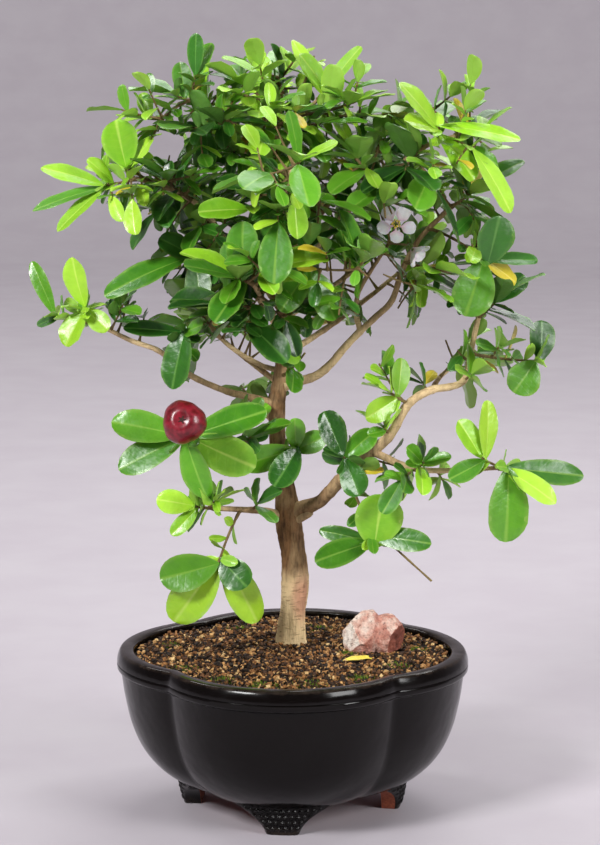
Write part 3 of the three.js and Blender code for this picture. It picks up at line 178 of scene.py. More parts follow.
CHORDS = 200  # how many straight pieces a line's length is measured by
BESIDE = 0.0001  # how far along, as a share, the places lie that give a line's direction


class Curve:
    """A line through space that is followed by a share from 0 to 1."""

    def point(self, t: float) -> np.ndarray:
        """The place at a share of the line."""
        raise NotImplementedError

    def tangent(self, t: float) -> np.ndarray:
        """The direction at a share of the line, from two places close beside it."""
        return unit(self.point(min(1.0, t + BESIDE)) - self.point(max(0.0, t - BESIDE)))

    def chain(self, shares: Iterable[float]) -> np.ndarray:
        """The places at some shares of the line, one row each."""
        return np.array([self.point(t) for t in shares])

    def length(self) -> float:
        """The length of the line, along many short chords."""
        places = self.chain(i / CHORDS for i in range(CHORDS + 1))
        return float(np.linalg.norm(np.diff(places, axis=0), axis=1).sum())


class Through(Curve):
    """A smooth line through given points."""

    def __init__(self, points: Sequence[Point]) -> None:
        """Keeps the points, with one more beyond each end.

        Args:
            points: The points.
        """
        p = np.array(points, float)
        self.count = len(p)
        self.points = np.vstack([2 * p[0] - p[1], p, 2 * p[-1] - p[-2]])

    def point(self, t: float) -> np.ndarray:
        """The place at a share of the line."""
        place = (self.count - 1) * t
        step = min(int(place), self.count - 2)
        w = place - step
        a, b, c, d = self.points[step : step + 4]
        start, end = 0.5 * (c - a), 0.5 * (d - b)
        square = -3 * b + 3 * c - 2 * start - end
        cube = 2 * b - 2 * c + start + end
        return b + start * w + square * w * w + cube * w * w * w


class Arch(Curve):
    """A line from a start to an end that is drawn towards a middle point."""

    def __init__(self, start: np.ndarray, middle: np.ndarray, end: np.ndarray) -> None:
        """Keeps the three points."""
        self.ends = (start, middle, end)

    def point(self, t: float) -> np.ndarray:
        """The place at a share of the line."""
        start, middle, end = self.ends
        k = 1 - t
        return k * k * start + 2 * k * t * middle + t * t * end


class Straight(Curve):
    """A straight line."""

    def __init__(self, start: np.ndarray, end: np.ndarray) -> None:
        """Keeps both ends."""
        self.ends = (start, end)

    def point(self, t: float) -> np.ndarray:
        """The place at a share of the line."""
        return self.ends[0] + (self.ends[1] - self.ends[0]) * t


def crosswise(axis: np.ndarray) -> tuple[np.ndarray, np.ndarray]:
    """Two directions square to an axis.

    Args:
        axis: A unit vector.

    Returns:
        The side, level where the axis isn't upright, and the other, which completes a right-handed frame.
    """
    level = np.array([1.0, 0.0, 0.0]) if abs(axis[2]) > STEEP else UP
    side = unit(np.cross(axis, level))
    return side, unit(np.cross(axis, side))


# Meshes


def pot_middle() -> tuple[float, float]:
    """Where the pot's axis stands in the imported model's frame, in millimetres.

    Returns:
        How far right and how far away it is.
    """
    low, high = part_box("pot")
    middle = (low + high) / 2 / MM
    return middle.x, middle.y


class Surface:
    """A mesh under construction: corners, faces, and what its finishes read at each corner."""

    def __init__(self) -> None:
        """Starts with nothing."""
        self.places: list[np.ndarray] = []
        self.charts: list[np.ndarray] = []
        self.tints: list[np.ndarray] = []
        self.faces: list[np.ndarray] = []
        self.kinds: list[int] = []
        self.count = 0

    def add(
        self,
        places: np.ndarray,
        faces: Sequence[np.ndarray],
        kind: int | Sequence[int] = 0,
        chart: Optional[np.ndarray] = None,
        tint: Optional[np.ndarray] = None,
    ) -> None:
        """Adds one shell.

        Args:
            places: Its corners, one row each, in millimetres.
            faces: Arrays of faces, each with one face to a row, as numbers of these corners.
            kind: Which of the object's finishes it has, or which each array of faces has.
            chart: Two values to a corner, for a pattern that follows the shape.
            tint: Four values from 0 to 1, for all corners or for each.
        """
        n = len(places)
        self.places.append(places)
        self.charts.append(np.zeros((n, 2)) if chart is None else chart)
        shade = np.full(4, 0.5) if tint is None else np.asarray(tint, float)
        self.tints.append(np.broadcast_to(shade, (n, 4)))
        kinds = [kind] * len(faces) if isinstance(kind, int) else kind
        for block, of_block in zip(faces, kinds):
            self.faces.append(np.asarray(block) + self.count)
            self.kinds.append(of_block)
        self.count += n

    def make(self, name: str, finishes: Sequence["Finish"], turn: float, crease: float) -> Object:
        """Makes the Blender object.

        Args:
            name: The object's name.
            finishes: Its finishes, in the order that the shells' kinds count them.
            turn: How far it is turned about the pot's axis.
            crease: The angle in degrees above which an edge is sharp.

        Returns:
            The object, in the scene, in metres.
        """
        x, y, z = np.vstack(self.places).T
        x, y = spun(x, y, turn)
        places = (np.stack([x, y, z], axis=1) + (*pot_middle(), 0)) * MM
        faces = [face for block in self.faces for face in block.tolist()]
        mesh = bpy.data.meshes.new(name)
        mesh.from_pydata(places, [], faces)
        kinds = np.repeat(self.kinds, [len(block) for block in self.faces])
        mesh.polygons.foreach_set("material_index", kinds.astype(np.int32))
        corner = np.empty(len(mesh.loops), np.int32)
        mesh.loops.foreach_get("vertex_index", corner)
        chart = mesh.uv_layers.new(name="chart")
        chart.uv.foreach_set("vector", np.vstack(self.charts)[corner].ravel())
        tint = mesh.attributes.new("tint", "FLOAT_COLOR", "POINT")
        tint.data.foreach_set("color", np.vstack(self.tints).ravel())
        mesh.shade_smooth()
        mesh.set_sharp_from_angle(angle=math.radians(crease))
        mesh.validate()
        for finish in finishes:
            mesh.materials.append(finished(finish))
        made = bpy.data.objects.new(name, mesh)
        bpy.context.scene.collection.objects.link(made)
        return made


def sheet_faces(rows: int, columns: int, closed: bool = False) -> np.ndarray:
    """The four-sided faces of a sheet of corners, row by row.

    Args:
        rows: How many rows of corners there are.
        columns: How many corners a row has.
        closed: Whether the last corner of a row joins its first.

    Returns:
        One face to a row of the array.
    """
    across = np.arange(columns if closed else columns - 1)
    first = (np.arange(rows - 1)[:, None] * columns + across).ravel()
    after = (np.arange(rows - 1)[:, None] * columns + (across + 1) % columns).ravel()
    return np.stack([first, after, after + columns, first + columns], axis=1)


def tube(
    surface: Surface,
    centres: np.ndarray,
    radii: np.ndarray,
    sides: int,
    kind: int = 0,
    tint: Optional[np.ndarray] = None,
    relief: Optional[Callable[[float, float, np.ndarray], float]] = None,
) -> None:
    """Adds a round stem along a chain of places, closed at both ends.

    Args:
        surface: The mesh that it is added to.
        centres: The places, one row each.
        radii: The radius at each place.
        sides: How many corners go round it.
        kind: Which finish it has.
        tint: The tint at each place, one row each, or one for all.
        relief: Gives what the radius is multiplied by, from the angle, the length so far and the place.
    """
    ways = np.gradient(centres, axis=0)
    ways /= np.linalg.norm(ways, axis=1)[:, None]
    side = crosswise(ways[0])[0]
    gone = np.concatenate([[0.0], np.cumsum(np.linalg.norm(np.diff(centres, axis=0), axis=1))])
    angles = ring_angles(sides)
    rings, chart = [], []
    for centre, way, radius, length in zip(centres, ways, radii, gone):
        side = unit(side - way * side.dot(way))
        other = np.cross(way, side)
        out = np.cos(angles)[:, None] * side + np.sin(angles)[:, None] * other
        reach = np.full(sides, radius)
        if relief:
            reach = reach * [relief(a, length, centre + radius * o) for a, o in zip(angles, out)]
        rings.append(centre + out * reach[:, None])
        chart.append(np.stack([angles / (2 * math.pi), np.full(sides, length)], axis=1))
    rows = len(centres)
    places = np.vstack(rings + [centres[:1], centres[-1:]])
    chart.append(np.array([[0, 0], [0, gone[-1]]]))
    shade = tint
    if tint is not None and np.ndim(tint) == 2:
        shade = np.vstack([np.repeat(tint, sides, axis=0), tint[:1], tint[-1:]])
    around = np.arange(sides)
    after = (around + 1) % sides
    last = (rows - 1) * sides
    base = np.stack([np.full(sides, rows * sides), after, around], axis=1)
    tip = np.stack([np.full(sides, rows * sides + 1), last + around, last + after], axis=1)
    surface.add(places, [sheet_faces(rows, sides, True), base, tip], kind, np.vstack(chart), shade)


def ball(detail: int) -> tuple[np.ndarray, np.ndarray]:
    """A ball of triangles with radius 1.

    Args:
        detail: How often the twenty faces of the plain one are split in four.

    Returns:
        Its corners and its faces.
    """
    g = (1 + math.sqrt(5)) / 2
    corners = [(-1, g, 0), (1, g, 0), (-1, -g, 0), (1, -g, 0), (0, -1, g), (0, 1, g)]
    corners += [(0, -1, -g), (0, 1, -g), (g, 0, -1), (g, 0, 1), (-g, 0, -1), (-g, 0, 1)]
    faces = [(0, 11, 5), (0, 5, 1), (0, 1, 7), (0, 7, 10), (0, 10, 11), (1, 5, 9), (5, 11, 4)]
    faces += [(11, 10, 2), (10, 7, 6), (7, 1, 8), (3, 9, 4), (3, 4, 2), (3, 2, 6), (3, 6, 8)]
    faces += [(3, 8, 9), (4, 9, 5), (2, 4, 11), (6, 2, 10), (8, 6, 7), (9, 8, 1)]
    places = [unit(np.array(c, float)) for c in corners]
    for _ in range(detail):
        halves: dict[tuple[int, int], int] = {}
        finer = []
        for face in faces:
            middles = []
            for a, b in zip(face, face[1:] + face[:1]):
                key = (min(a, b), max(a, b))
                if key not in halves:
                    halves[key] = len(places)
                    places.append(unit(places[a] + places[b]))
                middles.append(halves[key])
            (a, b, c), (ab, bc, ca) = face, middles
            finer += [(a, ab, ca), (b, bc, ab), (c, ca, bc), (ab, bc, ca)]
        faces = finer
    return np.array(places), np.array(faces)


# What the tree consists of


class Tone(Enum):
    """The three greens of the sprays, each with the material slot of its plain solids."""

    DARK = "leaf_dark"
    MID = "leaf_mid"
    LIGHT = "leaf_light"


@dataclass(frozen=True)
class Branch:
    """A branch: its radius at both ends, and points along it."""

    radii: tuple[float, float]
    points: list[Point]


@dataclass(frozen=True)
class Tip:
    """Where a twig ends, and its placed leaves: the way to a tip, its width, and a letter for its green."""

    at: Point
    placed: list[Point] = field(default_factory=list)
    greens: str = ""  # dark, mid, light or yellowed


@dataclass(frozen=True)
class Spray:
    """A leafy spray: the branch that it grows from and how far along, and what grows on it."""

    branch: str
    along: float
    tone: Tone
    leaf: float  # length of the leaves placed by rule
    pairs: int
    tips: list[Tip]
    stalks: list = field(default_factory=list)


BRANCHES = {
    "trunk": Branch((6.4, 1.1), [
        (-1, 16, 58), (-0.5, 16, 80), (1, 16, 102), (0.5, 16, 119), (-1.5, 15, 136), (-3.5, 15, 152),
        (-7, 15, 174), (-7, 15, 196), (-4.5, 15, 217), (-4, 15, 244), (-7, 14, 270), (-9, 13, 296),
        (-7, 12, 325), (-5, 11, 343),
    ]),
    "right_main": Branch((3.4, 1.2), [
        (-1, 15, 141), (12, 8, 147), (20, 2, 156), (28, -4, 166), (38, -8, 175), (47, -10, 184),
        (55, -10, 198), (66, -6, 204), (81, 0, 207), (85, 6, 220), (89, 10, 237),
    ]),
    "right_far": Branch((1.8, 1), [
        (38, -8, 175), (50, -12, 170), (61, -14, 167), (78, -20, 168), (97, -25, 170),
    ]),
    "right_high": Branch((2.3, 1.1), [
        (-5, 15, 203), (3, 18, 205), (11, 20, 207), (18, 23, 212), (26, 26, 221), (33, 28, 228),
        (40, 25, 235), (48, 20, 244), (53, 14, 260), (61, 10, 275), (75, 4, 290),
    ]),
    "flower_twig": Branch((1.3, 0.9), [
        (33, 28, 228), (31, 29, 236), (32, 28, 247), (38, 25, 258), (44, 19, 268),
    ]),
    "left_low": Branch((2, 1.1), [(-3, 15, 139), (-14, 8, 143), (-25, 1, 145), (-37, -6, 147)]),
    "fruit_branch": Branch((1.6, 1), [(-6, 15, 170), (-19, 9, 175), (-31, 2, 179), (-40, -4, 180)]),
    "left_mid": Branch((1.9, 1), [
        (-7, 15, 194), (-22, 14, 198), (-34, 10, 202), (-49, 4, 210), (-63, -2, 222), (-77, -6, 228),
        (-92, -8, 236),
    ]),
    "left_thin": Branch((1.4, 0.9), [(-5, 15, 210), (-16, 19, 213), (-30, 22, 221), (-38, 24, 229)]),
    "up_left": Branch((2.2, 1), [
        (-4, 15, 229), (-15, 12, 245), (-25, 8, 264), (-32, 5, 274), (-43, 2, 290), (-58, -2, 299),
        (-73, -6, 304),
    ]),
    "up_left_back": Branch((1.8, 0.9), [(-4, 15, 238), (-20, 34, 258), (-40, 52, 280), (-54, 62, 298)]),
    "crown_right": Branch((1.9, 0.9), [
        (-4, 15, 250), (12, 10, 270), (30, 4, 292), (50, -4, 310), (64, -8, 320), (76, -10, 324),
    ]),
    "crown_right_back": Branch((1.6, 0.9), [(-5, 14, 262), (14, 34, 285), (34, 52, 308), (46, 62, 320)]),
    "crown_front": Branch((1.6, 0.9), [(-6, 14, 270), (-5, -10, 290), (-2, -32, 305), (2, -48, 312)]),
    "crown_back": Branch((1.5, 0.9), [(-8, 14, 283), (-10, 36, 302), (-10, 54, 316)]),
    "mid_front": Branch((1.6, 0.9), [(-4, 15, 225), (-8, -6, 236), (-14, -26, 250), (-18, -38, 258)]),
    "mid_right_front": Branch((1.5, 0.9), [(-4, 15, 235), (8, -4, 246), (20, -22, 256), (27, -32, 262)]),
    "back_right": Branch((1.7, 0.9), [(-4, 15, 218), (16, 36, 228), (38, 54, 242), (52, 66, 252)]),
    "back_left": Branch((1.5, 0.9), [(-6, 15, 204), (-24, 38, 214), (-42, 56, 226)]),
    "back_low": Branch((1.3, 0.9), [(-6, 15, 182), (-14, 34, 187), (-20, 50, 191)]),
    "right_back_low": Branch((1.3, 0.9), [(66, -6, 204), (71, 16, 207), (78, 38, 209)]),
    "top_left": Branch((1.4, 0.9), [(-9, 13, 297), (-23, 8, 315), (-36, 4, 330), (-44, 2, 339)]),
    "top_right": Branch((1.2, 0.9), [(-7, 12, 320), (3, 9, 332), (12, 6, 340)]),
}

SPRAYS = {
    "far_left_high": Spray("up_left", 1, Tone.LIGHT, 15, 1, [
        Tip((-88, -9, 301), [
            (-29, 1, 10, 11), (-36, -5, -8, 9), (-25, -10, -18, 10), (-10, -8, 12, 9),
        ], "lmll"),
    ]),
    "left_high_light": Spray("up_left", 0.86, Tone.LIGHT, 15, 1, [
        Tip((-77, -14, 310), [(-5, -5, 21, 17), (9, -5, 15, 11)], "ll"),
    ]),
    "left_high_dark": Spray("up_left", 0.72, Tone.DARK, 18, 2, [Tip((-60, -16, 306)), Tip((-64, -10, 288))]),
    "left_high_rear": Spray("up_left", 0.78, Tone.MID, 19, 2, [Tip((-68, 16, 306)), Tip((-54, 14, 312))]),
    "left_leaf_fan": Spray("up_left", 0.45, Tone.MID, 18, 1, [
        Tip((-49, -8, 267), [
            (-40, -8, -13, 17), (-27, -2, -2, 8), (-14, -4, 10, 14), (2, -10, -20, 13),
        ], "mldm"),
    ]),
    "top_left_end": Spray("top_left", 1, Tone.MID, 16, 2, [
        Tip((-56, -4, 343)),
        Tip((-45, -3, 352), [(0, -3, 19, 8), (6, 2, 19, 9)], "dm"),
        Tip((-60, -10, 332)),
    ]),
    "top_left_front": Spray("top_left", 0.6, Tone.DARK, 18, 2, [Tip((-46, -16, 328)), Tip((-30, -18, 332))]),
    "top_left_rear": Spray("top_left", 0.75, Tone.MID, 18, 2, [Tip((-42, 24, 340)), Tip((-28, 32, 334))]),
    "top_mid_left": Spray("trunk", 0.97, Tone.LIGHT, 15, 2, [
        Tip((-26, 0, 350)),
        Tip((-15, -6, 357)),
        Tip((-24, -14, 344)),
    ]),
    "top_mid_front": Spray("trunk", 0.93, Tone.MID, 17, 2, [
        Tip((-15, -16, 336)),
        Tip((2, -20, 336)),
        Tip((14, -12, 330)),
    ]),
    "top_tuft": Spray("top_right", 1, Tone.LIGHT, 15, 1, [
        Tip((16, 4, 344), [(-11, -5, 18, 12), (-13, 4, 26, 9), (16, 2, 24, 8)], "lll"),
    ]),
    "top_rear": Spray("trunk", 1, Tone.MID, 17, 2, [Tip((-6, 26, 352)), Tip((8, 26, 346))]),
    "top_right_front": Spray("top_right", 0.55, Tone.LIGHT, 18, 2, [Tip((30, -10, 340)), Tip((38, 0, 333))]),
    "top_right_long": Spray("crown_right", 0.88, Tone.LIGHT, 16, 1, [
        Tip((68, -16, 329), [
            (38, -2, -3, 11), (-16, -5, 23, 14), (-15, -10, 6, 12), (17, -9, -19, 14),
        ], "llll"),
        Tip((84, -14, 318), [(20, -6, -27, 14), (15, 4, -9, 10)], "lm"),
    ]),
    "right_high_dark": Spray("crown_right", 0.7, Tone.DARK, 21, 2, [
        Tip((52, -20, 308)),
        Tip((67, -20, 300)),
    ]),
    "crown_right_mid": Spray("crown_right", 0.5, Tone.MID, 19, 2, [
        Tip((28, -14, 316)),
        Tip((42, -22, 296)),
        Tip((44, 8, 330)),
    ]),
    "crown_right_top": Spray("crown_right", 1, Tone.MID, 18, 2, [Tip((84, 8, 328)), Tip((66, 12, 336))]),
    "right_high_end": Spray("right_high", 1, Tone.MID, 20, 2, [Tip((86, 2, 298)), Tip((90, 12, 284))]),
    "right_upper": Spray("right_high", 0.93, Tone.MID, 16, 1, [
        Tip((92, -6, 264), [(5, -5, 22, 19), (-8, -7, -25, 20), (26, 3, 1, 8), (19, 5, -12, 12)], "dmdy"),
    ]),
    "right_mid_light": Spray("right_high", 0.82, Tone.LIGHT, 20, 2, [
        Tip((68, -6, 262)),
        Tip((58, -12, 250)),
    ]),
    "flower_spray": Spray("flower_twig", 1, Tone.DARK, 13, 1, [
        Tip((47, 14, 274), [(-14, -4, -12, 9), (-10, 2, 14, 9)]),
    ], ["flower_open", "flower_side"]),
    "crown_front_end": Spray("crown_front", 1, Tone.MID, 19, 2, [Tip((4, -60, 316)), Tip((-14, -54, 308))]),
    "crown_front_mid": Spray("crown_front", 0.6, Tone.MID, 21, 2, [
        Tip((-20, -38, 292), [(-22, -6, 0, 14)], "l"),
        Tip((14, -40, 296)),
        Tip((-6, -46, 286)),
    ]),
    "mid_front_end": Spray("mid_front", 1, Tone.MID, 23, 2, [Tip((-26, -46, 262)), Tip((-10, -52, 268))]),
    "mid_front_low": Spray("mid_front", 0.55, Tone.DARK, 24, 2, [Tip((-34, -28, 248)), Tip((-22, -28, 234))]),
    "mid_right_end": Spray("mid_right_front", 1, Tone.MID, 22, 2, [
        Tip((34, -42, 270)),
        Tip((6, -32, 265), [(16, -3, -23, 15), (-14, -3, -19, 14)], "mm"),
    ]),
    "trunk_front": Spray("trunk", 0.58, Tone.MID, 20, 2, [Tip((6, -9, 222))]),
    "left_end": Spray("left_mid", 1, Tone.LIGHT, 12, 1, [
        Tip((-112, -6, 240), [(-11, 3, 25, 8), (-10, -5, -3, 7)], "md"),
        Tip((-97, -14, 245), [(-7, -5, 22, 13), (-10, -6, -15, 14), (11, -8, -8, 10)], "lll"),
    ]),
    "left_hanging": Spray("left_mid", 0.6, Tone.DARK, 16, 1, [
        Tip((-50, -8, 234), [(-8, -6, -28, 16), (-28, -3, 3, 9), (8, -8, 15, 12)], "ddm"),
    ]),
    "left_thin_end": Spray("left_thin", 1, Tone.MID, 23, 2, [Tip((-45, 14, 240)), Tip((-32, 8, 246))]),
    "fruit_cluster": Spray("fruit_branch", 1, Tone.MID, 14, 0, [
        Tip((-53, -10, 183), [
            (-32, -2, 8, 16), (-32, -4, -13, 16), (8, -6, -29, 14), (30, -8, -14, 19), (36, -1, 13, 15),
        ]),
    ], ["fruit"]),
    "fruit_inner": Spray("fruit_branch", 0.4, Tone.DARK, 19, 2, [Tip((-20, -6, 182))]),
    "trunk_front_low": Spray("trunk", 0.44, Tone.MID, 13, 1, [
        Tip((3, -4, 176), [(-11, -9, -17, 14), (-1, -6, 15, 10), (-26, -3, -7, 13), (14, -3, 8, 11)]),
    ]),
    "yellow_cluster": Spray("left_low", 1, Tone.LIGHT, 12, 2, [
        Tip((-47, -10, 149), [(-17, -3, 4, 12), (-12, -6, -12, 8)]),
        Tip((-36, -16, 153)),
    ]),
    "low_left": Spray("left_low", 0.66, Tone.LIGHT, 12, 0, [
        Tip((-35, -20, 123), [
            (-27, -5, -7, 18), (-21, -4, -31, 20), (12, -8, -12, 15), (18, -4, -32, 16),
        ], "mldl"),
    ]),
    "right_pair": Spray("right_main", 0.3, Tone.DARK, 12, 0, [
        Tip((24, -14, 174), [(-9, -2, 21, 14), (14, 1, 13, 11), (8, -6, -16, 14)], "dmd"),
    ]),
    "right_yellow": Spray("right_main", 0.6, Tone.LIGHT, 13, 2, [Tip((44, -16, 206)), Tip((41, -8, 217))]),
    "right_far_small": Spray("right_far", 0.45, Tone.MID, 13, 2, [Tip((62, -24, 173)), Tip((51, -22, 163))]),
    "low_right": Spray("right_main", 0.27, Tone.MID, 12, 0, [
        Tip((39, -16, 130), [
            (3, -4, 26, 23), (-25, 3, 6, 8), (-27, -6, -7, 13), (6, -7, -11, 7), (33, -3, 4, 13),
        ]),
    ], [(66, -22, 115)]),
    "far_right": Spray("right_far", 1, Tone.LIGHT, 12, 0, [
        Tip((101, -29, 171), [(0, -8, -34, 20), (38, 4, -5, 13), (25, -7, -13, 12), (4, -5, 20, 16)]),
        Tip((88, -30, 176), [(-10, -3, 18, 12), (3, 0, 27, 11), (-16, -6, -8, 10)]),
    ]),
    "right_three": Spray("right_main", 0.9, Tone.MID, 12, 2, [
        Tip((118, 2, 217), [(2, 2, 19, 14), (16, 0, 15, 13), (-10, -6, -14, 17)]),
        Tip((98, -8, 226)),
    ]),
    "right_main_end": Spray("right_main", 1, Tone.DARK, 19, 2, [Tip((98, 6, 246)), Tip((82, 2, 248))]),
    "rear_left_high": Spray("up_left_back", 1, Tone.MID, 21, 2, [Tip((-60, 72, 304)), Tip((-68, 56, 296))]),
    "rear_left_mid": Spray("up_left_back", 0.6, Tone.DARK, 21, 2, [Tip((-50, 42, 268)), Tip((-50, 38, 290))]),
    "rear_right_high": Spray("crown_right_back", 1, Tone.MID, 20, 2, [
        Tip((58, 66, 324)),
        Tip((42, 78, 316)),
        Tip((52, 44, 318)),
    ]),
    "rear_top": Spray("crown_back", 1, Tone.LIGHT, 19, 2, [Tip((-18, 70, 318)), Tip((4, 68, 326))]),
    "rear_mid": Spray("crown_back", 0.5, Tone.MID, 20, 2, [Tip((-26, 42, 312)), Tip((-20, 52, 326))]),
    "rear_right_mid": Spray("back_right", 1, Tone.MID, 22, 2, [
        Tip((64, 74, 250)),
        Tip((46, 80, 262)),
        Tip((62, 50, 266)),
    ]),
    "rear_left_low": Spray("back_left", 1, Tone.DARK, 21, 2, [Tip((-54, 64, 226)), Tip((-38, 72, 238))]),
    "rear_low": Spray("back_low", 1, Tone.MID, 18, 2, [Tip((-26, 64, 196))]),
    "rear_right_low": Spray("right_back_low", 1, Tone.MID, 18, 2, [Tip((88, 52, 208)), Tip((76, 56, 220))]),
}


@dataclass(frozen=True)
class Fruit:
    """The cherry: its middle, its radius and the way from it to its stalk."""

    at: Point = (-50, -34, 193)
    radius: float = 10.2
    stalk_way: Point = (0.08, 0.92, -0.3)
    height: float = 0.9  # from end to end, as a share of its width
    dimple: float = 0.22  # how deep its ends are dimpled, as a share of its radius

    def seat(self) -> np.ndarray:
        """Where its stalk ends, in the dimple."""
        depth = self.radius * self.height * (1 - self.dimple) + GAP + 0.1
        return np.array(self.at, float) + unit(np.array(self.stalk_way)) * depth


@dataclass(frozen=True)
class Flower:
    """A flower: its middle, the way that it faces, the length of its petals and how open they are."""

    at: Point
    facing: Point
    petal: float
    open: float

    def seat(self) -> np.ndarray:
        """Where its stalk ends, behind the petals."""
        return np.array(self.at, float) - unit(np.array(self.facing)) * (FLOWER_MIDDLE + GAP)


GAP = 0.3  # between a stalk's end and what it carries
FLOWER_MIDDLE = 2.1  # how far a flower's calyx reaches back from its middle
FRUIT = Fruit()
FLOWERS = {
    "flower_open": Flower((49, 8, 281), (0.1, -0.9, 0.35), 9.5, 1.25),
    "flower_side": Flower((56, -3, 271), (0.7, -0.35, -0.6), 8.5, 0.75),
}


# How the leaves grow: the same rule and the same draws as for the plain solids


TWIG_RADII = (1.0, 0.72)  # from a twig's axis to its corners, where it starts and at its tip
FORK_RADII = (0.68, 0.68)
STALK_RADII = (0.65, 0.65)
FORK = 0.3  # how far along the first twig the others leave it
CROWN_CENTRE = np.array([0.0, 12.0, 225.0])
SIDES = ((0, 1), (-1, 0), (0, -1), (1, 0))  # which way each of a twig's four sides faces
OUTLINE = ((0, 0), (0.4, 0.43), (0.77, 0.46), (1, 0), (0.77, -0.46), (0.4, -0.43), (0.62, 0))
CLEARANCE = 0.85  # half the room kept on each side of a blade's middle surface
ROOT_CLEARANCE = 1.4  # the same at its neck
NECK = (0.05, 0.15, 0.25, 0.35)  # places along the blade where its neck is tested
TWIG_CLEARANCE = 0.8
FLOWER_ROOM = 1.05  # the room that leaves keep around a flower's middle, as a share of its petals' length
ROOT_SHARE = 0.15  # how much of a leaf, from its root, may lie near the others of its spray
TRIES = 16  # how often a leaf is turned before it is left out
RULED_SIZE = 1.25  # what the length of the leaves placed by rule is multiplied by
PLACED_SPACING = 2.4  # along the twig, from one pair of placed leaves to the next
RULED_BELOW_PLACED = 0.6  # below this share of its length a twig with placed leaves has ruled ones too
PAIR_PLACES = (0.5, 0.85)  # where a twig's first and its last pair of leaves grow, as shares of its length,
PAIR_OPENINGS = (1.2, 0.8)  # how far they open from it,
PAIR_SIZES = (1, 0.9)  # and their length, as a share of the spray's
LONE_PAIR = 0.6  # where between the two a single pair grows
END_OPENING = 0.2
TWIG_SAG = 0.12  # how far a twig's middle lies off the straight way, as a share of its length
FACE_UP, FACE_OUT = 0.75, 0.65  # how much a leaf faces up, and how much outwards from the crown
PLACED_LEAN = -0.9, 0.15  # how much a placed leaf faces the front, and up
PLACED_SWAY, PLACED_SHRINK = 0.05, 0.015  # how much more it is turned, and shortened, at each further try
PLACED_SIDEWAYS = 0.25  # how much it faces one side at most
PLACED_BEND, PLACED_FOLD = (0.06, 0.14), (0.1, 0.3)
RULED_BEND, RULED_FOLD = (0.05, 0.2), (0.1, 0.45)
RULED_WIDTH = (0.5, 0.62)  # as a share of the length
RULED_WIDER, RULED_SWAY = 0.12, 0.2  # how much a leaf opens more or less, and is turned sideways,
RULED_MORE, RULED_SHRINK = 0.04, 0.02  # how much more so, and how much shorter it is, at each further try
RULED_RISE = 0.12  # how much it turns up
RULED_LEAN, RULED_LENGTH = (-0.3, 0.3), (0.85, 1.15)
RULED_OPENING = (0.15, 1.6)

# What grows only here, between the leaves of the plain solids
SMALL_TRIES = 5  # how often such a leaf is turned before it is left out
FILL_PLACES = (0.36, 0.6, 0.78, 0.93)  # along a twig, where pairs of them may grow,
FILL_OPENING = 1.1  # and how far they open from it
FILL_LEAST, FILL_SHARE = 12.0, 0.75  # a fill leaf's size, in millimetres and as a share of its spray's
FILL_SIZES = (0.6, 1.0)
SPUR_SPACING = 15.0  # from one spur of a branch to the next
SPUR_START = {"trunk": 0.66}  # how far along the trunk the spurs begin,
BRANCH_SPUR_START, SPUR_END = 0.25, 0.97  # and along the branches, and where they end
SPUR_LENGTHS = (7, 15)
SPUR_RADII = (0.75, 0.5)  # from a small twig's axis to its corners, at both ends
SPUR_LEAVES, SPUR_END_LEAF = (9, 15), (11, 17)  # the lengths of a small twig's leaves,
SPUR_OPENING, SPUR_END_OPENING = 1.0, 0.3  # how far they open,
SPUR_PAIRS, LONG_SPUR_PAIRS = (0.6, 0.85), (0.4, 0.62, 0.84)  # and where its pairs grow
LONG_TWIG = 16  # a small twig this long has one more pair of leaves
CROWN_FOOT = 238.0  # the crown is dense above this height,
REAR_FOOT = 205.0  # or above this one where it is at least this far back
REAR_START = 35.0
CROWN_TWIGS = 1500  # how many places in the crown are tried for one more twig
STARTS = 24  # how many places on each branch or twig it may start from
TWIG_REACH = (5.0, 30.0)  # how long such a twig may be
TWIG_BEYOND = (6, 20)  # how far its tip is from the leaf that it is tried beside
TWIG_ROOM = 5.5  # how far its tip is from the middle of any leaf
BOX_MARGIN = 4.0  # how far inside the plain model's box its leaves stay

# Openings in the crown as seen from the front, where bare branches show: the middle of each, and half its
# width and height, as (x, z)
FRONT_EYE = np.array([4.0, -1200.0, 378.0])
CROWN_PLANE = 15.0  # how far back the openings are given
OPENINGS = (
    ((22, 219), (17, 14)), ((43, 248), (10, 18)), ((70, 228), (12, 13)), ((20, 258), (8, 5)),
    ((-29, 215), (16, 11)), ((-70, 212), (10, 14)), ((-68, 246), (8, 5)), ((-59, 318), (8, 6)),
    ((15, 199), (11, 6)),
)

# The two main lights, in the model's frame
KEY_AT = (-740.0, -960.0, 950.0)
FILL_AT = (900.0, -650.0, 600.0)


@dataclass(eq=False)
class Twig:
    """A twig: its line, and from its axis to its corners at both ends."""

    curve: Curve
    radii: tuple[float, float]

    def place(self, along: float) -> tuple[np.ndarray, np.ndarray, np.ndarray, float]:
        """Its centre, its two crosswise directions and half its thickness at a share of its length."""
        side, other = crosswise(self.curve.tangent(along))
        return self.curve.point(along), side, other, lerp(*self.radii, along) * math.sqrt(0.5)

    def foot(self, along: float, side: int) -> np.ndarray:
        """Where a leaf's foot is: the middle of one of its sides, or its tip.

        Args:
            along: How far along the twig, as a share.
            side: Which of its four sides.

        Returns:
            The place.
        """
        centre, level, other, half = self.place(along)
        if along == 1:
            return centre
        x, y = SIDES[side]
        return centre + level * (x * half) + other * (y * half)


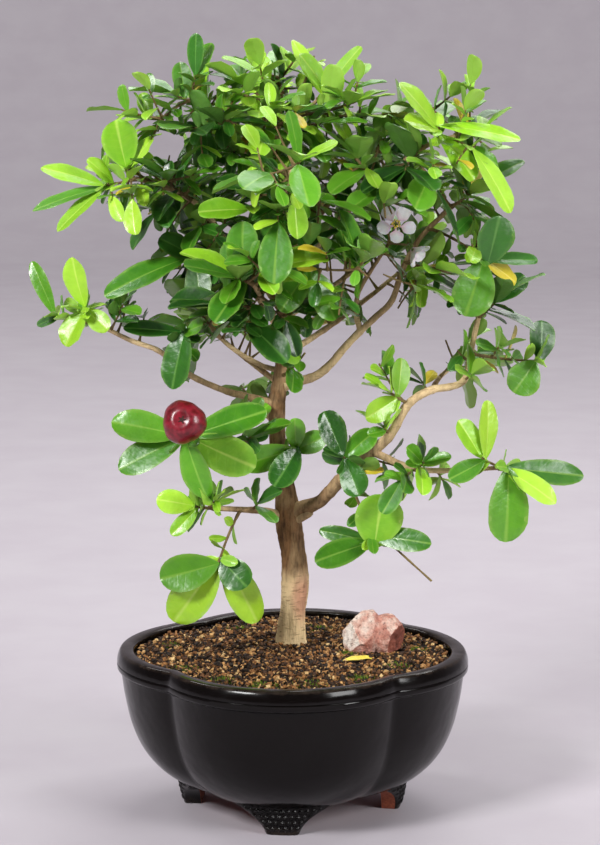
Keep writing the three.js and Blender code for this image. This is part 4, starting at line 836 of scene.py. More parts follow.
@dataclass
class Leaf:
    """A leaf: where it grows, how it points and faces, and its shape."""

    spray: str
    twig: Twig
    along: float
    root: np.ndarray
    way: np.ndarray
    face: np.ndarray
    length: float
    width: float
    bend: float
    fold: float
    green: str = ""

    def points(self) -> np.ndarray:
        """Its middle surface as seven points: the rim, root first, and one in the middle that lies lower.

        Returns:
            One point to a row.
        """
        side = np.cross(self.way, self.face)
        along, across = np.array(OUTLINE, float).T
        lift = self.fold * np.abs(across) * self.width - self.bend * along * along * self.length
        level = self.root + np.outer(along * self.length, self.way) + np.outer(across * self.width, side)
        return level + np.outer(lift, self.face)


def pierced(lines: np.ndarray, faces: np.ndarray) -> bool:
    """Whether any of some segments passes through any of some triangles.

    Args:
        lines: Segments, as an array of (start, end).
        faces: Triangles, as an array of three corners each.

    Returns:
        True if one does.
    """
    start = lines[:, None, 0]
    along = lines[:, None, 1] - start
    corner, one, two = faces[None, :, 0], faces[None, :, 1], faces[None, :, 2]
    e1, e2 = one - corner, two - corner
    h = np.cross(along, e2)
    det = (e1 * h).sum(-1)
    flat = np.abs(det) < 1e-12
    det = np.where(flat, 1.0, det)
    s = start - corner
    u = (s * h).sum(-1) / det
    w = np.cross(s, e1)
    v = (along * w).sum(-1) / det
    t = (e2 * w).sum(-1) / det
    inside = (u >= 0) & (u <= 1) & (v >= 0) & (u + v <= 1) & (t >= 0) & (t <= 1)
    return bool((inside & ~flat).any())


def segment_gaps(edges: np.ndarray, ends: np.ndarray) -> np.ndarray:
    """The distances from each of some segments to one segment.

    Args:
        edges: Segments, as an array of (start, end).
        ends: The start and the end of the one segment.

    Returns:
        One distance for each of them.
    """
    p1, p2 = edges[:, 0], ends[0]
    d1, d2 = edges[:, 1] - p1, ends[1] - p2
    r = p1 - p2
    a, e, b = (d1 * d1).sum(-1), d2.dot(d2), d1 @ d2
    f, c = r @ d2, (d1 * r).sum(-1)
    denom = a * e - b * b
    s = np.where(denom > 1e-12, np.clip((b * f - c * e) / np.where(denom > 1e-12, denom, 1), 0, 1), 0)
    t = (b * s + f) / e
    s = np.where(t < 0, np.clip(-c / a, 0, 1), np.where(t > 1, np.clip((b - c) / a, 0, 1), s))
    t = np.clip(t, 0, 1)
    return np.linalg.norm(p1 + d1 * s[:, None] - p2 - t[:, None] * d2, axis=1)


def point_gaps(faces: np.ndarray, point: np.ndarray) -> np.ndarray:
    """The distances from a point to each of some triangles.

    Args:
        faces: Triangles, as an array of three corners each.
        point: The point.

    Returns:
        One distance for each triangle.
    """
    a, b, c = faces[:, 0], faces[:, 1], faces[:, 2]
    normal = np.cross(b - a, c - a)
    normal /= np.linalg.norm(normal, axis=1)[:, None]
    height = ((point - a) * normal).sum(-1)
    foot = point - normal * height[:, None]
    inside = np.ones(len(faces), bool)
    nearest = np.full(len(faces), np.inf)
    for p, q in ((a, b), (b, c), (c, a)):
        edge = q - p
        inside &= (np.cross(edge, foot - p) * normal).sum(-1) >= 0
        t = np.clip(((point - p) * edge).sum(-1) / (edge * edge).sum(-1), 0, 1)
        nearest = np.minimum(nearest, np.linalg.norm(point - p - edge * t[:, None], axis=1))
    return np.where(inside, np.abs(height), nearest)


class Fence:
    """What a leaf needs for the tests of room: its triangles and edges, and short lines around it."""

    def __init__(self, leaf: Leaf) -> None:
        """Works them out from the leaf's seven points.

        Args:
            leaf: The leaf.
        """
        points = leaf.points()
        rim = range(len(points) - 1)
        self.middle = points[-1]
        self.faces = np.array([[self.middle, points[i], points[(i + 1) % len(rim)]] for i in rim])
        self.edges = np.concatenate([self.faces[:, :2], self.faces[:, 1:]])
        rise = leaf.face * CLEARANCE
        stout = leaf.face * ROOT_CLEARANCE
        neck = np.array([leaf.root + leaf.way * (share * leaf.length) for share in NECK])
        posts = np.concatenate([points, self.faces.mean(axis=1), self.edges.mean(axis=1)])
        self.lines = np.concatenate(
            [self.edges + rise, self.edges, self.edges - rise]
            + [np.stack([posts + rise, posts - rise], axis=1), np.stack([neck + stout, neck - stout], axis=1)]
            + [np.array([neck[[0, -1]] + stout, neck[[0, -1]] - stout])]
        )
        self.reach = np.linalg.norm(points - self.middle, axis=1).max() + ROOT_CLEARANCE

    def crosses(self, other: "Fence") -> bool:
        """Whether the two leaves come too close.

        Args:
            other: What the other leaf needs for the test.

        Returns:
            True if they do.
        """
        if np.linalg.norm(self.middle - other.middle) > self.reach + other.reach:
            return False
        return pierced(self.lines, other.faces) or pierced(other.lines, self.faces)


class Room:
    """The room that a leaf takes up, whole and without its root."""

    def __init__(self, leaf: Leaf) -> None:
        """Works out both.

        Args:
            leaf: The leaf.
        """
        root = leaf.root + leaf.way * (ROOT_SHARE * leaf.length)
        self.spray = leaf.spray
        self.whole = Fence(leaf)
        self.outer = Fence(replace(leaf, root=root, length=leaf.length * (1 - ROOT_SHARE)))

    def meets(self, other: "Room") -> bool:
        """Whether two leaves come too close. Near their roots, leaves of one spray may."""
        kin = self.spray == other.spray
        return self.outer.crosses(other.outer) if kin else self.whole.crosses(other.whole)


class Sticks:
    """Round bars that leaves keep clear of: wood, twigs, stalks, the fruit and the flowers."""

    def __init__(self) -> None:
        """Starts with none."""
        self.ends: list[np.ndarray] = []
        self.radii: list[float] = []
        self.sprays: list[str] = []

    def add(self, curve: Curve, radii: tuple[float, float], steps: int, spray: str) -> None:
        """Adds a line as a chain of bars.

        Args:
            curve: The line.
            radii: Its radius at both ends.
            steps: How many bars it becomes.
            spray: The spray that it belongs to, or what else it is.
        """
        for i in range(steps):
            self.ends.append(np.array([curve.point(i / steps), curve.point((i + 1) / steps)]))
            self.radii.append(lerp(*radii, i / steps))
            self.sprays.append(spray)

    def freeze(self) -> None:
        """Works out the middle and the half length of every bar."""
        ends = np.array(self.ends)
        self.centres = ends.mean(axis=1)
        self.spans = np.linalg.norm(ends[:, 0] - ends[:, 1], axis=1) / 2
        self.reach = self.spans + np.array(self.radii) + TWIG_CLEARANCE

    def block(self, room: Room) -> bool:
        """Whether a leaf comes too close to any bar. On its own twig, its root may.

        Args:
            room: The room that the leaf takes up.

        Returns:
            True if it does.
        """
        far = room.whole.reach + room.outer.reach
        near = np.linalg.norm(self.centres - room.whole.middle, axis=1) <= self.reach + far
        return any(self.touches(room, int(i)) for i in np.flatnonzero(near))

    def touches(self, room: Room, i: int) -> bool:
        """Whether a leaf comes too close to one bar.

        Args:
            room: The room that the leaf takes up.
            i: The bar's number.

        Returns:
            True if it does.
        """
        leaf = room.outer if self.sprays[i] == room.spray else room.whole
        if np.linalg.norm(self.centres[i] - leaf.middle) > self.reach[i] + leaf.reach:
            return False
        ends, keep = self.ends[i], self.radii[i] + TWIG_CLEARANCE
        if pierced(ends[None], leaf.faces):
            return True
        if any((point_gaps(leaf.faces, end) < keep).any() for end in ends):
            return True
        return bool((segment_gaps(leaf.edges, ends) < keep).any())


def seen_from_front(places: np.ndarray) -> np.ndarray:
    """Where places appear on the upright plane of the openings, seen from the tree's front."""
    share = (CROWN_PLANE - FRONT_EYE[1]) / (places[:, 1] - FRONT_EYE[1])
    return (FRONT_EYE + (places - FRONT_EYE) * share[:, None])[:, [0, 2]]


@cache
def sights() -> tuple[np.ndarray, np.ndarray, np.ndarray]:
    """What leaves keep from hiding, the openings and the flowers: middles, half sizes, and how far back.

    Returns:
        Middles and half sizes as seen from the front, and how far back each lies.
    """
    flowers = [(f.at, f.petal) for f in FLOWERS.values()]
    seen = seen_from_front(np.array([at for at, _ in flowers], float))
    middles = np.vstack([[at for at, _ in OPENINGS], seen])
    halves = np.vstack([[half for _, half in OPENINGS], [(petal, petal) for _, petal in flowers]])
    return middles, halves, np.array([math.inf] * len(OPENINGS) + [at[1] for at, _ in flowers])


def hides_sight(leaf: Leaf) -> bool:
    """Whether a leaf lies before one of the openings or a flower.

    Args:
        leaf: The leaf.

    Returns:
        True if it does.
    """
    points = leaf.points()
    points = np.vstack([points, (points + points[-1]) / 2])
    middles, halves, depths = sights()
    off = (seen_from_front(points)[:, None] - middles) / halves
    before = points[:, 1][:, None] < depths
    return bool(((np.hypot(off[..., 0], off[..., 1]) < 1) & before).any())


def shades_flower(leaf: Leaf) -> bool:
    """Whether a leaf lies between a flower and one of the two main lights.

    Args:
        leaf: The leaf.

    Returns:
        True if it does.
    """
    points = leaf.points()
    for x, y, z in (KEY_AT, FILL_AT):
        for flower in FLOWERS.values():
            start = np.array(flower.at, float)
            way = unit(np.array([*spun(x, y, -TREE_TURN), z]) - start)
            along = (points - start) @ way
            off = np.linalg.norm(points - start - along[:, None] * way, axis=1)
            if ((along > 0) & (off < flower.petal)).any():
                return True
    return False


def twig_curve(start: np.ndarray, tip: np.ndarray) -> Arch:
    """A twig's line: a little below the straight way, so that it rises, or above it where the twig hangs.

    Args:
        start: Where it leaves the wood.
        tip: Where it ends.

    Returns:
        The line.
    """
    middle = (start + tip) / 2
    sag = float(np.linalg.norm(start - tip)) * TWIG_SAG
    middle[2] += -sag * 0.5 if tip[2] > start[2] - 5 else sag
    return Arch(start, middle, tip)


def leaf_face(way: np.ndarray, root: np.ndarray, lean: np.ndarray) -> np.ndarray:
    """The way that a leaf faces: up, outwards from the crown, and to one side, square to its own way.

    Args:
        way: The way that it points.
        root: Where its foot is.
        lean: What else draws it aside.

    Returns:
        The way, of length 1.
    """
    face = UP * FACE_UP + unit(root - CROWN_CENTRE) * FACE_OUT + lean
    face = face - way * face.dot(way)
    return crosswise(way)[1] if face.dot(face) < 1e-4 else unit(face)


@dataclass(frozen=True)
class Node:
    """A place on a twig where a leaf grows by rule."""

    along: float
    side: int
    opening: float
    length: float


def twig_nodes(spray: Spray, number: int) -> list[Node]:
    """The nodes of a twig: pairs of leaves, each pair square to the last, and one leaf at the tip.

    Args:
        spray: The twig's spray.
        number: Which of its twigs it is.

    Returns:
        The nodes, the tip's last.
    """
    nodes = []
    count = min(spray.pairs, 1) if number else spray.pairs
    for pair in range(count):
        share = LONE_PAIR if count == 1 else pair / (count - 1)
        for half in (0, 2):
            side = (pair + number) % 2 + half
            length = spray.leaf * lerp(*PAIR_SIZES, share)
            nodes.append(Node(lerp(*PAIR_PLACES, share), side, lerp(*PAIR_OPENINGS, share), length))
    return nodes + [Node(1, 0, END_OPENING, spray.leaf)]


def placed_tries(name: str, twig: Twig, foot: tuple[float, int], spec: Point, draw: Draws) -> Iterator[Leaf]:
    """A leaf given by the way to its tip, turned a little more each time that it finds no room.

    Args:
        name: The spray that it belongs to.
        twig: The twig that it grows from.
        foot: How far along the twig its foot is, and on which side.
        spec: The way to its tip, and its width.
        draw: The seeded draws.

    Yields:
        The leaf, as each try turns it.
    """
    root = twig.foot(*foot)
    aim, width = np.array(spec[:3], float), spec[3]
    length = float(np.linalg.norm(aim))
    for turn in range(TRIES):
        sway = PLACED_SWAY * turn
        way = unit(aim / length + draw.three(-sway, sway))
        lean = np.array([draw.between(-PLACED_SIDEWAYS, PLACED_SIDEWAYS), *PLACED_LEAN])
        shrink = 1 - PLACED_SHRINK * turn
        bend, fold = draw.between(*PLACED_BEND), draw.between(*PLACED_FOLD)
        face = leaf_face(way, root, lean)
        yield Leaf(name, twig, foot[0], root, way, face, length * shrink, width * shrink, bend, fold)


def ruled_tries(name: str, twig: Twig, node: Node, draw: Draws, size: float = RULED_SIZE) -> Iterator[Leaf]:
    """A leaf placed by rule at a node, turned a little more each time that it finds no room.

    Args:
        name: The spray that it belongs to.
        twig: The twig that it grows from.
        node: Where on the twig, and how it opens.
        draw: The seeded draws.
        size: What its length is multiplied by.

    Yields:
        The leaf, as each try turns it.
    """
    root = twig.foot(node.along, node.side)
    axis = twig.curve.tangent(node.along)
    side, other = crosswise(axis)
    x, y = SIDES[node.side]
    outwards = side * x + other * y
    sideways = np.cross(axis, outwards)
    for turn in range(TRIES):
        wider = draw.between(-1, 1) * (RULED_WIDER + RULED_MORE * turn)
        opening = clamp(node.opening + wider, *RULED_OPENING)
        sway = draw.between(-1, 1) * (RULED_SWAY + RULED_MORE * turn)
        way = unit(spoke(axis, outwards, opening) + sideways * sway + UP * RULED_RISE)
        lean = draw.three(*RULED_LEAN)
        length = size * node.length * draw.between(*RULED_LENGTH) * (1 - RULED_SHRINK * turn)
        width = length * draw.between(*RULED_WIDTH)
        bend, fold = draw.between(*RULED_BEND), draw.between(*RULED_FOLD)
        leaf = Leaf(name, twig, node.along, root, way, leaf_face(way, root, lean), length, width, bend, fold)
        if not hides_sight(leaf):
            yield leaf


class Rooms:
    """The room that every leaf takes up so far, found by where their middles are."""

    def __init__(self, most: int = 6000) -> None:
        """Starts with none, and with space for so many.

        Args:
            most: How many rooms there can be.
        """
        self.all: list[Room] = []
        self.middles = np.zeros((most, 3))
        self.reaches = np.zeros(most)

    def add(self, room: Room) -> None:
        """Adds a leaf's room.

        Args:
            room: The room.
        """
        self.middles[len(self.all)] = room.whole.middle
        self.reaches[len(self.all)] = room.whole.reach
        self.all.append(room)

    def near(self, place: np.ndarray, reach: float) -> list[Room]:
        """The rooms that may come within reach of a place.

        Args:
            place: The place.
            reach: How far around it.

        Returns:
            Those rooms.
        """
        count = len(self.all)
        gaps = np.linalg.norm(self.middles[:count] - place, axis=1) - self.reaches[:count]
        return [self.all[i] for i in np.flatnonzero(gaps < reach)]

    def gap(self, place: np.ndarray) -> float:
        """How far the middle of the nearest leaf is from a place."""
        return float(np.linalg.norm(self.middles[: len(self.all)] - place, axis=1).min())


class Growth:
    """The tree's lines, and its leaves, each where it has room."""

    def __init__(self) -> None:
        """Lays out the wood and the twigs."""
        self.wood = {name: Through(branch.points) for name, branch in BRANCHES.items()}
        self.twigs = {name: self.spray_twigs(spray) for name, spray in SPRAYS.items()}
        self.stalks = {name: self.spray_stalks(name) for name in SPRAYS}
        self.leaves: list[Leaf] = []
        self.rooms = Rooms()
        self.spurs: dict[str, Twig] = {}
        self.box = self.tree_box()
        self.sticks = self.all_sticks()

    def spray_twigs(self, spray: Spray) -> list[Twig]:
        """The twigs of a spray: the first grows from the wood, and the others fork off it.

        Args:
            spray: The spray.

        Returns:
            Its twigs, in the order of its tips.
        """
        start = self.wood[spray.branch].point(spray.along)
        first = twig_curve(start, np.array(spray.tips[0].at, float))
        forks = [twig_curve(first.point(FORK), np.array(tip.at, float)) for tip in spray.tips[1:]]
        return [Twig(first, TWIG_RADII)] + [Twig(curve, FORK_RADII) for curve in forks]

    def spray_stalks(self, name: str) -> list[Straight]:
        """The lines of a spray's bare stalks, which end under a fruit or a flower or in the air.

        Args:
            name: The spray's name.

        Returns:
            The lines.
        """
        seats = {"fruit": FRUIT.seat(), **{key: flower.seat() for key, flower in FLOWERS.items()}}
        start = self.twigs[name][0].curve.point(0.7)
        ends = [seats[end] if isinstance(end, str) else np.array(end, float) for end in SPRAYS[name].stalks]
        return [Straight(start, end) for end in ends]

    def all_sticks(self) -> Sticks:
        """Everything that leaves keep clear of.

        Returns:
            The bars of the wood, the twigs, the stalks, the fruit and the flowers.
        """
        sticks = Sticks()
        for name, curve in self.wood.items():
            sticks.add(curve, BRANCHES[name].radii, len(BRANCHES[name].points) - 1, "wood")
        for name in SPRAYS:
            for twig in self.twigs[name]:
                sticks.add(twig.curve, twig.radii, 4, name)
            for stalk in self.stalks[name]:
                sticks.add(stalk, STALK_RADII, 2, name)
        balls = [(FRUIT.at, FRUIT.radius)] + [(f.at, f.petal * FLOWER_ROOM) for f in FLOWERS.values()]
        for at, radius in balls:
            centre = np.array(at, float)
            sticks.add(Straight(centre, centre + UP * 0.01), (radius, radius), 1, "ball")
        sticks.freeze()
        return sticks

    def accept(self, tries: Iterable[Leaf]) -> Optional[Leaf]:
        """Keeps the first of some tries that has room, and returns it.

        Args:
            tries: The leaf, turned in other ways each time.

        Returns:
            The leaf, or None if no try has room.
        """
        for leaf in tries:
            room = Room(leaf)
            others = self.rooms.near(room.whole.middle, room.whole.reach + 6)
            if not self.sticks.block(room) and not any(room.meets(other) for other in others):
                self.leaves.append(leaf)
                self.rooms.add(room)
                return leaf
        return None

    def tree_box(self) -> tuple[np.ndarray, np.ndarray]:
        """The lowest and highest corners of the room for more leaves, about the pot's axis.

        Returns:
            The two corners.
        """
        low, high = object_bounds()
        shift = np.array([*pot_middle(), 0])
        return np.array(low) / MM - shift + BOX_MARGIN, np.array(high) / MM - shift - BOX_MARGIN

    def inside(self, places: np.ndarray) -> bool:
        """Whether places in the tree's frame are all well inside the plain model's box.

        Args:
            places: The places, one row each.

        Returns:
            True if they are.
        """
        x, y, z = places.T
        turned = np.stack([*spun(x, y, TREE_TURN), z], axis=1)
        return bool(((turned > self.box[0]) & (turned < self.box[1])).all())

    def accept_small(self, tries: Iterable[Leaf]) -> Optional[Leaf]:
        """Keeps the first of a few tries that has room, shades no flower and is well inside the plain box."""
        few = islice(tries, SMALL_TRIES)
        return self.accept(leaf for leaf in few if self.inside(leaf.points()) and not shades_flower(leaf))

    def placed_feet(self, twig: Twig, placed: list[Point]) -> list[tuple[float, int]]:
        """The feet of a tip's placed leaves: one at the tip, then two by two below, each on its best side.

        Args:
            twig: The twig.
            placed: For each leaf the way to its tip, and its width.

        Returns:
            For each leaf how far along the twig its foot is, and on which side.
        """
        length = twig.curve.length()
        taken = set()
        feet = [(1, 0)] if placed else []
        for k, spec in enumerate(placed[1:], 1):
            along = 1 - math.ceil(k / 2) * PLACED_SPACING / length
            _, side, other, _ = twig.place(along)
            aim = np.array(spec[:3], float)
            free = [i for i in range(4) if (along, i) not in taken]
            best = max(free, key=lambda i: (SIDES[i][0] * aim.dot(side) + SIDES[i][1] * aim.dot(other), -i))
            taken.add((along, best))
            feet.append((along, best))
        return feet

    def grow(self) -> None:
        """Grows the leaves of the plain solids: the placed ones first, then those placed by rule."""
        for number, (name, spray) in enumerate(SPRAYS.items()):
            draw = Draws(PLACED_SEED + number)
            for twig, tip in zip(self.twigs[name], spray.tips):
                feet = self.placed_feet(twig, tip.placed)
                for foot, spec, green in zip_longest(feet, tip.placed, tip.greens, fillvalue=""):
                    leaf = self.accept(placed_tries(name, twig, foot, spec, draw))
                    if leaf:
                        leaf.green = green
        for number, (name, spray) in enumerate(SPRAYS.items()):
            draw = Draws(RULED_SEED + number)
            for i, (twig, tip) in enumerate(zip(self.twigs[name], spray.tips)):
                for node in twig_nodes(spray, i) if spray.pairs else []:
                    if not tip.placed or node.along < RULED_BELOW_PLACED:
                        self.accept(ruled_tries(name, twig, node, draw))

    def fill(self) -> None:
        """Grows smaller leaves between the others, on the same twigs, where there is still room."""
        for number, (name, spray) in enumerate(SPRAYS.items()):
            draw = Draws(FILL_SEED + number)
            size = max(FILL_LEAST, FILL_SHARE * spray.leaf)
            for i, twig in enumerate(self.twigs[name]):
                for k, along in enumerate(FILL_PLACES):
                    for half in (0, 2):
                        length = size * draw.between(*FILL_SIZES)
                        node = Node(along, (k + i) % 2 + half, FILL_OPENING, length)
                        self.accept_small(ruled_tries(name, twig, node, draw, 1.0))

    def sprout(self) -> None:
        """Grows short spurs straight from the branches, each with a few small leaves."""
        for number, (name, curve) in enumerate(self.wood.items()):
            draw = Draws(SPUR_SEED + number)
            length = curve.length()
            start = SPUR_START.get(name, BRANCH_SPUR_START)
            for k in range(int(length * (1 - start) / SPUR_SPACING)):
                along = start + (k + draw.between(0.2, 0.8)) * SPUR_SPACING / length
                if along > SPUR_END:
                    break
                side, other = crosswise(curve.tangent(along))
                out = spoke(side, other, draw.between(0, 2 * math.pi))
                tip = curve.point(along) + unit(out + UP * 0.5) * draw.between(*SPUR_LENGTHS)
                self.grow_twig(f"spur_{name}_{k}", curve.point(along), tip, draw)

    def thicken(self) -> None:
        """Grows thin twigs into what room is left in the crown, each from the nearest wood or twig."""
        lines = list(self.wood.values()) + [twig.curve for twigs in self.twigs.values() for twig in twigs]
        starts = np.vstack([line.chain(np.linspace(0.2, 1, STARTS)) for line in lines])
        crown = [leaf for leaf in self.leaves if self.in_crown(leaf.points()[-1])]
        draw = Draws(CROWN_SEED)
        for k in range(CROWN_TWIGS):
            way = draw.three(-1, 1)
            beside = crown[int(draw() * len(crown))].points()[-1]
            tip = beside + unit(way) * draw.between(*TWIG_BEYOND)
            gaps = np.linalg.norm(starts - tip, axis=1)
            nearest = int(gaps.argmin())
            if not TWIG_REACH[0] < gaps[nearest] < TWIG_REACH[1] or not self.in_crown(tip):
                continue
            start = starts[nearest]
            if self.inside(tip[None]) and self.rooms.gap(tip) > TWIG_ROOM and self.free(start, tip):
                self.grow_twig(f"crown_{k}", start, tip, draw)

    def in_crown(self, place: np.ndarray) -> bool:
        """Whether a place is where the crown is dense."""
        return place[2] > (REAR_FOOT if place[1] > REAR_START else CROWN_FOOT)

    def free(self, start: np.ndarray, tip: np.ndarray) -> bool:
        """Whether a straight way passes through no leaf.

        Args:
            start: Where it starts.
            tip: Where it ends.

        Returns:
            True if it is free.
        """
        near = self.rooms.near((start + tip) / 2, float(np.linalg.norm(tip - start)) / 2)
        faces = [room.whole.faces for room in near]
        return not faces or not pierced(np.array([[start, tip]]), np.concatenate(faces))

    def grow_twig(self, name: str, start: np.ndarray, tip: np.ndarray, draw: Draws) -> None:
        """Grows one small twig and its leaves.

        Args:
            name: The twig's own name, so that its leaves may touch at their roots.
            start: Where it leaves the wood.
            tip: Where it ends.
            draw: The seeded draws.
        """
        twig = Twig(twig_curve(start, tip), SPUR_RADII)
        length = float(np.linalg.norm(tip - start))
        pairs = SPUR_PAIRS if length < LONG_TWIG else LONG_SPUR_PAIRS
        feet = [(at, i % 2 + half) for i, at in enumerate(pairs) for half in (0, 2)]
        nodes = [Node(*foot, SPUR_OPENING, draw.between(*SPUR_LEAVES)) for foot in feet]
        nodes.append(Node(1, 0, SPUR_END_OPENING, draw.between(*SPUR_END_LEAF)))
        grown = [self.accept_small(ruled_tries(name, twig, node, draw, 1.0)) for node in nodes]
        if any(grown):
            self.spurs[name] = twig


# Finishes


def per_mm(size: float) -> float:
    """The scale of a pattern whose features are some millimetres wide, over coordinates in metres."""
    return 1 / (size * MM)


# A Map Range node's input 0 is its value, 1 and 2 are the range that it comes from, 3 and 4 the one it is
# brought to. A colour Mix node's input 0 is its factor, and 6 and 7 are its colours
MIX = {"out": 2, "data_type": "RGBA"}
MUL = {"operation": "MULTIPLY"}
MUL_ADD = {"operation": "MULTIPLY_ADD"}
COAT_ROUGHNESS = 0.1
SOFT_SHARES = (1.0, 0.6, 0.3)  # how far red, green and blue light spread below a soft surface, compared
SOFT_REACH = 0.8  # in millimetres


def add_node(tree: NodeTree, kind: str, inputs: Optional[dict] = None, out: int = 0, **settings) -> Socket:
    """Adds a shader node with its settings and links.

    Args:
        tree: The material's nodes.
        kind: Blender's name of the node's type, without its first word.
        inputs: For an input's name or number, its value or the output that feeds it.
        out: Which of its outputs is wanted.
        **settings: The node's own settings.

    Returns:
        The output.
    """
    node = tree.nodes.new(f"ShaderNode{kind}")
    for name, value in settings.items():
        setattr(node, name, value)
    for key, value in (inputs or {}).items():
        if isinstance(value, Socket):
            tree.links.new(value, node.inputs[key])
        else:
            node.inputs[key].default_value = value
    return node.outputs[out]


@dataclass(frozen=True)
class Ground:
    """What a finish is painted on: its nodes, the place in metres, and the tint's four values."""

    tree: NodeTree
    place: Socket
    tint: Sequence[Socket]

    def noise(self, size_mm: float, detail: float = 4.0, rough: float = 0.55) -> Socket:
        """A cloudy value from 0 to 1 with features of a size."""
        inputs = {"Vector": self.place, "Scale": per_mm(size_mm), "Detail": detail, "Roughness": rough}
        return add_node(self.tree, "TexNoise", inputs)


@dataclass(frozen=True)
class Paint:
    """What a finish feeds to its shader: a colour, a relief with its depth, and a roughness if it varies."""

    colour: Socket
    height: Socket
    depth_mm: float
    rough: Optional[Socket] = None


@dataclass(frozen=True)
class Finish:
    """A surface finish: a material named for what the real one is.

    None is a metal. All keep the shader's own index of refraction, 1.5, which is close to that of wax, glaze,
    quartz and plastic. How strongly a finish mirrors is matched by its specular share.
    """

    name: str
    roughness: float = 0.5
    specular: float = 0.5
    coat: float = 0.0
    soft: float = 0.0  # how much light passes below the surface

    def material(self) -> Material:
        """Makes the material.

        Returns:
            The material, with its nodes.
        """
        made = bpy.data.materials.new(self.name)
        made.use_nodes = True
        tree = made.node_tree
        shader = tree.nodes["Principled BSDF"]
        tint = tree.nodes.new("ShaderNodeAttribute")
        tint.attribute_name = "tint"
        split = tree.nodes.new("ShaderNodeSeparateColor")
        tree.links.new(tint.outputs["Color"], split.inputs[0])
        place = add_node(tree, "TexCoord", out=3)
        paint = self.paint(Ground(tree, place, [*split.outputs, tint.outputs["Alpha"]]))
        tree.links.new(paint.colour, shader.inputs["Base Color"])
        relief = add_node(tree, "Bump", {"Distance": paint.depth_mm * MM, "Height": paint.height})
        tree.links.new(relief, shader.inputs["Normal"])
        shader.inputs["Roughness"].default_value = self.roughness
        if paint.rough:
            tree.links.new(paint.rough, shader.inputs["Roughness"])
        shader.inputs["Specular IOR Level"].default_value = self.specular
        shader.inputs["Coat Weight"].default_value = self.coat
        shader.inputs["Coat Roughness"].default_value = COAT_ROUGHNESS
        shader.inputs["Subsurface Weight"].default_value = self.soft
        shader.inputs["Subsurface Radius"].default_value = SOFT_SHARES
        shader.inputs["Subsurface Scale"].default_value = SOFT_REACH * MM
        return made

    def paint(self, ground: Ground) -> Paint:
        """Lays out the colour and the relief.

        Args:
            ground: What it is painted on.

        Returns:
            What feeds the shader.
        """
        raise NotImplementedError


@dataclass(frozen=True)
class LeafFinish(Finish):
    """Living leaf with a waxy cuticle: clear green and glossy above, paler below, with a fine midrib."""

    deep: str = "245a16"
    bright: str = "5c9c2c"
    below: str = "8fb35e"
    vein: str = "b4d070"
    vein_pairs: float = 7.0
    vein_slant: float = 0.42  # how far along a side vein runs while it crosses the leaf's width
    rib_edge: tuple[float, float] = (0.006, 0.03)  # where the midrib fades, as shares of the leaf's width
    vein_share: float = 0.06  # how much of the colour of the midrib a side vein has

    def paint(self, ground: Ground) -> Paint:
        """Lays out the colour and the relief, as Finish.paint says."""
        node, (shade, light, dull, above) = partial(add_node, ground.tree), ground.tint
        mottle = ground.noise(6, 2.0)
        share = node("Math", {0: mottle, 1: 0.5, 2: shade}, **MUL_ADD)
        share = node("MapRange", {0: share, 1: 0.25, 2: 1.25})
        green = node("Mix", {0: share, 6: linear(self.deep), 7: linear(self.bright)}, **MIX)
        rib, veins = self.veins(ground.tree)
        green = node("Mix", {0: rib, 6: green, 7: linear(self.vein)}, **MIX)
        green = node("Mix", {0: above, 6: linear(self.below), 7: green}, **MIX)
        value = node("MapRange", {0: light, 3: 0.72, 4: 1.25})
        colour = node("HueSaturation", {"Value": value, "Color": green})
        rough = node("MapRange", {0: dull, 3: self.roughness - 0.08, 4: self.roughness + 0.16})
        height = node("Math", {0: veins, 1: -0.07, 2: mottle}, **MUL_ADD)
        return Paint(colour, height, 0.5, rough)

    def veins(self, tree: NodeTree) -> tuple[Socket, Socket]:
        """Two values: one high on the midrib and faint on the side veins, and one as high on both.

        Args:
            tree: The material's nodes.

        Returns:
            The first, for the colour, and the second, for the relief.
        """
        node = partial(add_node, tree)
        chart = node("UVMap", uv_map="chart")
        split = node("SeparateXYZ", {0: chart}).node.outputs
        across = node("Math", {0: split[0], 1: 0.5}, operation="SUBTRACT")
        across = node("Math", {0: across}, operation="ABSOLUTE")
        slant = node("Math", {0: across, 1: -self.vein_slant, 2: split[1]}, **MUL_ADD)
        wave = node("Math", {0: slant, 1: 2 * math.pi * self.vein_pairs}, **MUL)
        crest = node("Math", {0: wave}, operation="COSINE")
        side = node("MapRange", {0: crest, 1: 0.8, 2: 1.0, 3: 0.0, 4: 0.5})
        rib = node("MapRange", {0: across, 1: self.rib_edge[0], 2: self.rib_edge[1], 3: 0.4, 4: 0.0})
        both = node("Math", {0: side, 1: rib}, operation="MAXIMUM")
        faint = node("Math", {0: side, 1: self.vein_share, 2: rib}, **MUL_ADD)
        return faint, both


